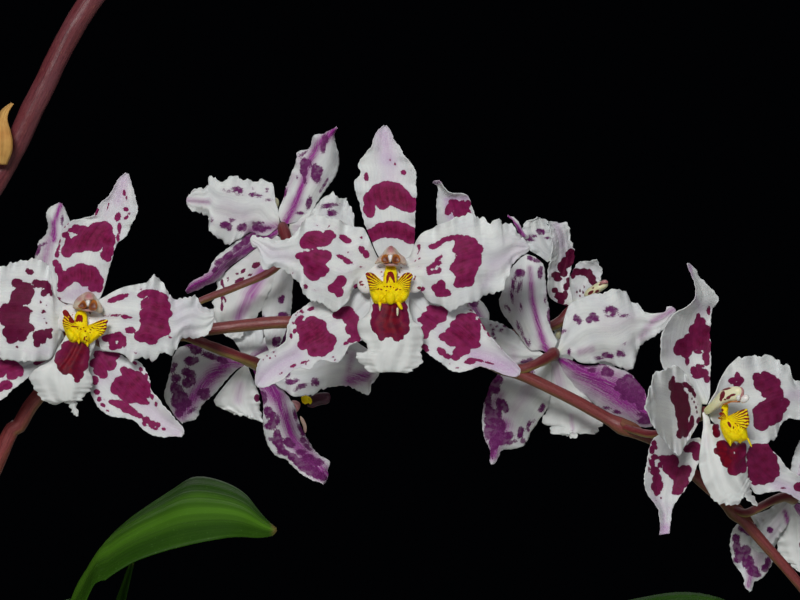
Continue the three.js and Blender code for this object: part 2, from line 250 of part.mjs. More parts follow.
// ---------------------------------------------------------------- pot
{
  const R = POT_RIM_R, B = POT_BASE_R, body = lathe([
    [0, 0], [B - 1.5, 0], [B, 1.5], [R - 5.5, 85], [R - 4, 86], [R, 88], [R, POT_H - 1.5], [R - 1.5, POT_H],
    [R - POT_WALL + 1, POT_H], [R - POT_WALL, POT_H - 1.5], [R - POT_WALL - 1.2, 88], [B - POT_WALL + 0.4, POT_FLOOR], [0, POT_FLOOR]], 28);
  let pot = toSolid(body);
  for (let k = 0; k < 4; k++) {
    const w = (k + 0.5) * Math.PI / 2;
    pot = pot.subtract(toSolid(new THREE.CylinderGeometry(DRAIN_R, DRAIN_R, 40, 10).rotateX(Math.PI / 2)
      .translate(Math.cos(w) * DRAIN_AT, Math.sin(w) * DRAIN_AT, 5)));
  }
  add('pot', fromSolid(pot), M.pot);
  // potting bark, with a hollow over each drain hole where the coarse pieces bridge it
  const inner = (z) => z < 88 ? B - POT_WALL + 0.4 + (R - POT_WALL - 1.2 - B + POT_WALL - 0.4) * (z - POT_FLOOR) / (88 - POT_FLOOR) : R - POT_WALL - 1.2 + 1.2 * (z - 88) / (POT_H - 1.5 - 88);
  const z0 = POT_FLOOR + GAP;
  let bark = toSolid(lathe([[0, z0], [inner(z0) - 0.6, z0], [inner(88) - 0.6, 88], [inner(BARK_TOP) - 0.6, BARK_TOP - 1], [inner(BARK_TOP) - 2.5, BARK_TOP], [0, BARK_TOP]], 24));
  for (let k = 0; k < 4; k++) {
    const w = (k + 0.5) * Math.PI / 2;
    bark = bark.subtract(toSolid(new THREE.CylinderGeometry(8.5, 8.5, 14, 8).rotateX(Math.PI / 2)
      .translate(Math.cos(w) * DRAIN_AT, Math.sin(w) * DRAIN_AT, POT_FLOOR)));
  }
  add('potting_bark', fromSolid(bark), M.bark);
}

// ---------------------------------------------------------------- pseudobulbs and rhizome
const BULBS = [   // x, y, height, half width, half thickness, turn
  [-35, 12, 54, 13, 6.5, -0.12], [-16.5, 8, 66, 15, 7.5, 0.05], [3, 4, 74, 16, 8, -0.04], [23, 0, 70, 15, 8, 0.08], [41, -5, 34, 9, 5.5, 0.1]];
const RHIZ_Z = BARK_TOP + GAP + 2.9, BULB_Z = RHIZ_Z + 3.3;
{
  const main = stem([V(-43, 14, RHIZ_Z), V(-30, 11, RHIZ_Z), V(-6, 6, RHIZ_Z), V(18, 1, RHIZ_Z), V(36, -3, RHIZ_Z), V(46, -6, RHIZ_Z)], [2, 2.6, 2.8, 2.8, 2.6, 1.8], 9, 7);
  const roots = [
    [[-24, 10], [-26, 26], [-34, 38], [-40, 42]], [[-4, 6], [-2, 24], [6, 38], [4, 48]], [[20, 1], [24, 18], [36, 30], [42, 38]],
    [[10, 3], [8, -14], [14, -28], [10, -38]], [[32, -3], [38, -18], [34, -30], [40, -36]], [[-36, 12], [-46, 2], [-50, -10], [-46, -22]]]
    .map((r) => stem(r.map(([x, y], i) => V(x, y, i === 0 ? RHIZ_Z : RHIZ_Z - 0.7)), [1.3, 1.5, 1.5, 0.9], 4, 5));
  add('rhizome_and_roots', join([main, ...roots]), M.rhizome);
  BULBS.forEach(([x, y, h, w, t, turn], i) => {
    const g = lathe([[0, 0], [0.62, 0.02], [0.9, 0.16], [1, 0.38], [0.86, 0.66], [0.52, 0.9], [0.24, 1], [0, 1]].map(([r, z]) => [r, z * h]), 10);
    g.scale(t, w, 1).rotateZ(turn).translate(x, y, BULB_Z);
    add(`pseudobulb_${i + 1}`, fromSolid(toSolid(g)), M.bulb);
  });
}

// ---------------------------------------------------------------- leaves
function leafFrom(margins, sag, cols = 3) {      // margins: list of [left, right] points
  const rows = margins.map(([l, r]) => [l, l.clone().lerp(r, 0.5), r]);
  const grid = rows.map((row, i) => {
    const a = rows[Math.min(i + 1, rows.length - 1)][1].clone().sub(rows[Math.max(i - 1, 0)][1]);
    const nn = a.cross(row[2].clone().sub(row[0])).normalize();
    const w = row[2].distanceTo(row[0]);
    return [row[0], row[1].clone().addScaledVector(nn, -sag * w), row[2]];
  });
  return sheet(grid, (s, t) => 0.8 + 0.5 * 4 * t * (1 - t));
}
const LEAF_W = [0.34, 0.62, 0.86, 0.98, 1, 0.95, 0.8, 0.5, 0.1];
// arching leaf: base, heading in degrees, reach, rise, where its top is, width, tilt of the blade
function archLeaf([x, y, z], heading, reach, rise, top, width, tilt) {
  const w = THREE.MathUtils.degToRad(heading), dir = V(Math.cos(w), Math.sin(w), 0), side = V(-Math.sin(w), Math.cos(w), 0);
  const rows = LEAF_W.map((k, i) => {
    const t = i / (LEAF_W.length - 1);
    const c = V(x, y, z).addScaledVector(dir, reach * Math.pow(t, 1.55)).add(V(0, 0, rise * (1 - Math.pow(1 - t / top, 2))));
    const a = THREE.MathUtils.degToRad(tilt * t), s = side.clone().multiplyScalar(Math.cos(a)).add(V(0, 0, Math.sin(a)));
    return [c.clone().addScaledVector(s, -width * k / 2), c.clone().addScaledVector(s, width * k / 2)];
  });
  return leafFrom(rows, 0.1);
}
const bulbTop = (i) => [BULBS[i][0], BULBS[i][1], BULB_Z + BULBS[i][2] + 0.6];
{
  const pair = (u, l) => [u, l];
  const [bx, by, bz] = bulbTop(2);
  // the leaf whose tip arches under the spray
  const up = [V(bx + 3, by + 4, bz + 1), V(20, 14, 240), V(36, 12, 298), place(53.3, 349.6, -24), place(58.7, 359.3, -22), place(64.4, 366.7, -20), place(70.1, 371, -18), place(77.8, 375.9, -17), place(84.1, 379.3, -15), place(91.5, 378.1, -12), place(98, 374.7, -8), place(102.6, 369.3, -3), place(106.9, 364.8, -0.4)];
  const lo = [V(bx + 2, by - 5, bz + 1), V(19, -16, 240), V(35, -22, 298), place(53, 344.5, 8), place(58.7, 350.2, 10), place(65.6, 354.5, 10), place(71.8, 357, 10), place(80.4, 359.6, 10), place(89.2, 361.6, 10), place(95.8, 362.5, 8), place(102.3, 362.2, 4), place(106.3, 362.8, 1), place(107.4, 364, 0.2)];
  add('leaf_1', leafFrom(up.map((u, i) => pair(u, lo[i])), 0.1), M.leaf);
}
const B = bulbTop;
add('leaf_2', archLeaf([B(1)[0] - 5, B(1)[1] + 2, B(1)[2]], 176, 165, 175, 0.86, 33, -18), M.leaf);
add('leaf_3', archLeaf([B(1)[0] + 2, B(1)[1] + 4, B(1)[2]], 118, 120, 235, 0.95, 32, 12), M.leaf);
add('leaf_4', archLeaf([B(2)[0] - 3.5, B(2)[1] + 9, B(2)[2] - 4], 72, 105, 150, 0.85, 31, -10), M.leaf);
{
  // the long leaf on the right whose back just shows at the lower edge of the spray
  const sp = [V(B(3)[0] + 2, B(3)[1], B(3)[2] + 0.6), V(44, -5, 222), V(80, -8, 268), V(122, -11, 304), V(170, -13, 328), V(204, -14, 336.5), V(228, -15, 339.6), V(246, -13, 335), V(260, -9, 320)];
  const W = [10, 22, 29, 32, 33, 33, 30, 22, 3], tl = [0, 4, 8, 12, 14, 14, 12, 8, 4];
  add('leaf_5', leafFrom(sp.map((c, i) => {
    const a = THREE.MathUtils.degToRad(tl[i]), s = V(0, Math.cos(a), Math.sin(a));
    return [c.clone().addScaledVector(s, -W[i] / 2), c.clone().addScaledVector(s, W[i] / 2)];
  }), 0.12), M.leaf);
}
add('leaf_6', archLeaf([25, -23, BARK_TOP + 1.2], -62, 135, 165, 0.74, 30, 10), M.leaf);
add('leaf_7', archLeaf([B(4)[0] + 1, B(4)[1] + 1, B(4)[2]], 24, 135, 165, 0.88, 28, 10), M.leaf);
add('leaf_8', archLeaf([51, -17, BARK_TOP + 1.2], -34, 120, 130, 0.8, 26, -8), M.leaf);
add('leaf_9', archLeaf([-36, 31, BARK_TOP + 1.2], 140, 120, 130, 0.74, 26, 8), M.leaf);
{
  // an upright leaf behind the first; only its tip reaches the spray
  const sp = [V(12, 24, BARK_TOP + 1.2), V(17, 30, 150), V(25, 30, 205), V(36, 27, 255), V(48, 23, 300), V(57, 17, 332), V(63.5, 12, 352)];
  const W = [12, 22, 27, 28, 24, 15, 1.6];
  add('leaf_10', leafFrom(sp.map((c, i) => [c.clone().add(V(-W[i] * 0.12, W[i] / 2, 0)), c.clone().add(V(W[i] * 0.12, -W[i] / 2, 0))]), 0.1), M.leaf);
}

// ---------------------------------------------------------------- flowers laid out one by one
const COLUMNS = {
  f0: [[46.2, 428.3, -2], [46.8, 430.6, -10]], f1: [[52.8, 427.7, 1.8], [52.4, 430.6, 9]], f2: [[108.6, 451.7, -2], [106.9, 457.6, -10]],
  f3: [[139.4, 441.4, 1.8], [139.4, 442, 9]], f4: [[98.9, 412.3, -2], [100.3, 414, -11]], f5: [[186.1, 415.2, -2], [187.5, 420.3, -10]],
  f6: [[195, 430.3, 0], [200.8, 434.3, 8]], f7: [[229.8, 398.6, 1], [240.5, 404.1, 9]], f8: [[254.8, 373, -2], [256.5, 374.7, -10]],
  f9: [[157.3, 439.1, -2], [157.3, 440.8, -12]] };
const HERO = { f1: 'flower_1', f3: 'flower_3', f7: 'flower_7' };
for (const [fl, { at: [ca, cb, cd], parts }] of Object.entries(TRACE)) {
  const [p, q] = COLUMNS[fl];
  if (HERO[fl]) {
    for (const [part, data] of Object.entries(parts)) {
      let g = sheet(tepalGrid(data, cd, 5), tepalT);
      if (part === 'lip') {
        const base = { f1: [50.9, 423.6, 5.8], f3: [139.4, 432.6, 5.8], f7: [232.6, 391.5, 4.5] }[fl];
        g = join([g, ball(at(fl, base), 4.6, 2.2, fl === 'f1' ? 2.2 : 3.6, 8, 6)]);
      }
      add(`${HERO[fl]}_${part}`, g, part === 'lip' ? M.lip : M.tepal);
    }
    add(`${HERO[fl]}_column`, column(fl, p, q, true), M.column);
  } else {
    const geos = Object.values(parts).map((d, i) => sheet(i < 6 ? rooted(tepalGrid(d, cd, 3), place(ca, cb, cd - 0.5)) : tepalGrid(d, cd, 3), tepalT));
    add(fl.replace('f', 'flower_'), join([ball(place(ca, cb, cd - 0.5), 4.2, 3.2, 4.2, 6, 4), column(fl, p, q, false), ...geos]), M.tepal);
  }
}

// ---------------------------------------------------------------- further flowers, same build, turned to their own headings
const MODEL = (() => {
  const { at: [ca, cb, cd], parts } = TRACE.f3, c = place(ca, cb, cd);
  return Object.values(parts).map((d) => {
    const rows = [0, 3, 5, 7].map((i) => d[0][i]);
    const grid = tepalGrid([rows, d[1], d[2], d[3]], cd, 3).map((row) => row.map((p) => V(p.x - c.x, p.z - c.z, -(p.y - c.y))));
    return rooted(grid, V(0, 0, 0));
  });
})();
// centre, heading of the face (0 = front, +90 = to the right), nod (down), roll, size
function wholeFlower([x, y, z], heading, nod, roll, size) {
  const rot = new THREE.Matrix4().makeRotationFromEuler(new THREE.Euler(0, 0, THREE.MathUtils.degToRad(-roll), 'XYZ'));
  const tilt = new THREE.Matrix4().makeRotationX(THREE.MathUtils.degToRad(nod));
  const yaw = new THREE.Matrix4().makeRotationY(THREE.MathUtils.degToRad(heading));
  const local = new THREE.Matrix4().multiplyMatrices(yaw, new THREE.Matrix4().multiplyMatrices(tilt, rot));
  // local x right, y up, z out of the face -> world x, z, -y
  const put = (p) => { const q = p.clone().multiplyScalar(size).applyMatrix4(local); return V(x + q.x, y - q.z, z + q.y); };
  const geos = MODEL.map((g) => sheet(g.map((row) => row.map(put)), tepalT));
  const col = stem([put(V(0, 0.5, -1)), put(V(0, 0.8, 3)), put(V(0, 1.6, 8))], [1.9, 1.6, 2.2, 3, 2.4], 4, 5);
  return { geo: join([ball(V(x, y, z), 3.4, 3.4, 3.4, 6, 4), col, ...geos]), back: put(V(0, 0, -5.4)) };
}
const FAR = {
  flower_10: wholeFlower([297, -38, 333], 35, 8, -8, 0.92), flower_11: wholeFlower([257, 8, 297], 150, -6, 10, 0.84),
  flower_12: wholeFlower([80, -38, 588], -12, 4, -6, 0.98), flower_13: wholeFlower([116, 26, 622], 160, -8, 8, 0.96),
  flower_14: wholeFlower([158, -36, 640], 8, 0, 4, 0.98), flower_15: wholeFlower([203, 26, 640], 175, -4, -8, 0.92),
  flower_16: wholeFlower([246, -34, 624], 26, 6, 10, 0.9) };
for (const [name, f] of Object.entries(FAR)) add(name, f.geo, M.tepal);

// ---------------------------------------------------------------- spikes: axis, flower stalks and buds
const S = (px, py, d) => place(142.5 + (px - 400) * 0.285, 430 - (py - 300) * 0.285, d);   // layout grid of 0.285 mm
const stalk = (pts, r = 1.15, end = 1.7) => stem(pts, [r * 0.9, r, r, r * 1.15, end, end * 0.9], 6, 5);
const bud = (from, to, len, thick) => {
  const d = to.clone().sub(from).normalize(), c = to.clone().addScaledVector(d, len * 0.42);
  const g = new THREE.SphereGeometry(1, 7, 5).scale(thick, len / 2, thick);
  g.applyQuaternion(new THREE.Quaternion().setFromUnitVectors(V(0, 1, 0), d)).translate(c.x, c.y, c.z);
  return [stem([from, from.clone().lerp(to, 0.5).add(V(0, 0, 1.5)), to], [0.9, 0.9, 1.1], 2, 5), g];
};
{
  const axis = [V(-12, -24, BARK_TOP + 1), V(-14, -24, 160), V(-13, -23, 230), V(-3, -21, 310), S(0, 455, 0), S(35, 400, 0), S(60, 376, 0), S(90, 357, 0), S(120, 345, 0), S(150, 338, 0), S(183, 333, 0), S(230, 327, 0), S(290, 322, 0), S(350, 327, 0), S(420, 341, 0), S(515, 372, 0), S(570, 398, 0), S(625, 428, 0), S(655, 440, 0), S(700, 480, 0), S(735, 512, 0), S(800, 585, 0), S(850, 650, 0), S(885, 715, 0), S(905, 780, 0), S(915, 840, 0), S(922, 885, 0)];
  const f10 = FAR.flower_10.back, f11 = FAR.flower_11.back;
  const stalks = [
    [S(75, 366, 0), S(70, 344, -3), S(64, 322, -7), S(62, 305, -11.4)],
    [S(104, 351, 0), S(93, 340, 7), S(88, 326, 14), S(86, 312, 19.4)],
    [S(160, 336, 0), S(176, 318, 2), S(196, 303, 3), S(236, 287, 1), S(268, 273, -0.5), S(284, 257, -2), S(287, 242, -3.4), S(283, 229, -5.4)],
    [S(180, 333, 0), S(208, 344, 2.5), S(232, 354, 0), S(246, 361, -8.6)],
    [S(345, 327, 0), S(364, 316, 8), S(379, 293, 16), S(388, 272, 22.4)],
    [S(425, 342, 0), S(438, 312, -8), S(448, 284, -16), S(452, 269, -19.2)],
    [S(500, 366, 0), S(520, 369, 1.2), S(538, 363, -0.5), S(552, 355, -5.2)],
    [S(436, 345, 0), S(437, 338, -14), S(454, 334, -27), S(520, 333, -32), S(556, 324, -35), S(571, 311, -36)],
    [S(618, 424, 0), S(636, 431, 4), S(656, 434, 9), S(682, 425, 14), S(702, 414, 16.4)],
    [S(730, 507, 0), S(745, 513, 3), S(758, 508, 2.5), S(772, 501, 0), S(784, 497, -2.6), S(792, 498, -5.2)],
    [S(842, 640, 0), S(865, 636, 3), f10.clone().lerp(S(865, 636, 3), 0.4), f10],
    [S(880, 705, 0), S(866, 712, 0), f11.clone().lerp(S(866, 712, 0), 0.4), f11]];
  add('flower_spike_1', join([
    stem(axis, [3, 2.9, 2.7, 2.5, 2.3, 2.1, 2, 1.9, 1.85, 1.85, 1.85, 1.85, 1.85, 1.8, 1.6, 1.3, 0.9], 42, 6),
    ...stalks.map((s, i) => stalk(s, i === 3 || i === 6 ? 1.45 : 1.12, i === 3 ? 1.6 : 1.6)),
    ...bud(S(904, 775, 0), S(935, 790, 8), 17, 4.6), ...bud(S(912, 815, 0), S(890, 838, 4), 14, 3.9), ...bud(S(917, 850, 0), S(944, 868, 3), 12, 3.4), ...bud(S(920, 872, 0), S(926, 905, 0), 9, 2.6)]), M.stem);
  const top = [V(86, -5, 556), V(130, -5, 588), V(175, -4, 603), V(220, -4, 602), V(258, -5, 588), V(286, -6, 564)];
  const axis2 = [V(-32, -22, BARK_TOP + 1), V(-37, -22, 170), V(-36, -20, 250), V(-26, -15, 340), V(-6, -9, 413), S(-2, 178, -15), S(37, 100, -15), S(91, 0, -15), ...top];
  const st2 = [['flower_12', V(72, -5, 536)], ['flower_13', V(112, -5, 575)], ['flower_14', V(150, -5, 597)], ['flower_15', V(200, -4, 604)], ['flower_16', V(240, -5, 597)]]
    .map(([n, p]) => [p, p.clone().lerp(FAR[n].back, 0.35).add(V(3, 0, 2)), p.clone().lerp(FAR[n].back, 0.75).add(V(0, 0, 2)), FAR[n].back]);
  add('flower_spike_2', join([
    stem(axis2, [3.9, 3.8, 3.7, 3.65, 3.6, 3.55, 3.5, 3.3, 2.8, 2.4, 2.1, 1.8, 1.4, 1], 32, 6),
    ...st2.map((s) => stalk(s)),
    ...bud(V(262, -5, 586), V(274, -12, 594), 17, 4.6), ...bud(V(270, -5.5, 579), V(266, 6, 572), 14, 4), ...bud(V(278, -6, 572), V(291, -9, 574), 12, 3.4), ...bud(V(283, -6, 567), V(288, -6, 556), 9, 2.6)]), M.stem);
}

export default plant;
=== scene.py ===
# Potted oncidium orchid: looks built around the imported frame.
import math
import random
import bpy
import bmesh
import numpy as np
from mathutils import Matrix, Vector


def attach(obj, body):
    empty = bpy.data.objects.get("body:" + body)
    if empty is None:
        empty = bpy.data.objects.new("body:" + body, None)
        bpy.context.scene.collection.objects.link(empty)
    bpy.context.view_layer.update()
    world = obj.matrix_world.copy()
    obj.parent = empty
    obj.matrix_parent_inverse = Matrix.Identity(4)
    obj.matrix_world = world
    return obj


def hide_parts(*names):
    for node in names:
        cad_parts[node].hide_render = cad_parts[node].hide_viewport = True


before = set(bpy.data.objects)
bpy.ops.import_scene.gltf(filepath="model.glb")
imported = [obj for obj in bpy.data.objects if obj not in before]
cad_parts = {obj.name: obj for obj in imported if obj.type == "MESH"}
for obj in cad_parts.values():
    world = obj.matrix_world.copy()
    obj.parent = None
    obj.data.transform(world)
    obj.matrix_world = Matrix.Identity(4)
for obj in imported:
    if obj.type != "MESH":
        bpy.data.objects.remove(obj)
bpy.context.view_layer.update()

# ------------------------------------------------------------------ standpoint
# The spray was laid out from one standpoint, looking down 3 degrees, on a grid of 0.285 mm.
ELEV = math.radians(3.0)
FOCAL = 400 / math.tan(math.radians(9))
REACH = .285 * FOCAL
AIM = np.array([142.5, -20.0, 430.0])
FWD = np.array([0, math.cos(ELEV), -math.sin(ELEV)])
UPV = np.array([0, math.sin(ELEV), math.cos(ELEV)])
EYE = AIM - REACH * FWD
NODES = sorted(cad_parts)


def place(u, v, d):
    """Grid position (across, down) and depth towards the front in mm -> point in mm."""
    u, v, d = np.broadcast_arrays(np.asarray(u, float), np.asarray(v, float), np.asarray(d, float))
    ray = FWD + np.stack([(u - 400) / FOCAL, np.zeros_like(u), np.zeros_like(u)], -1) + UPV * ((300 - v) / FOCAL)[..., None]
    t = ((AIM[1] - d) - EYE[1]) / ray[..., 1]
    return EYE + t[..., None] * ray


# Flower centres: grid position (across, down) and depth towards the front in mm.
CEN = {'f3': (389,268,28), 'f1': (86,312,25), 'f7': (706,412,22), 'f2': (283,226,-10), 'f4': (246,362,-14), 'f5': (553,354,-10), 'f6': (578,300,-40), 'f8': (793,498,-10), 'f0': (62,304,-16), 'f9': (452,268,-24)}

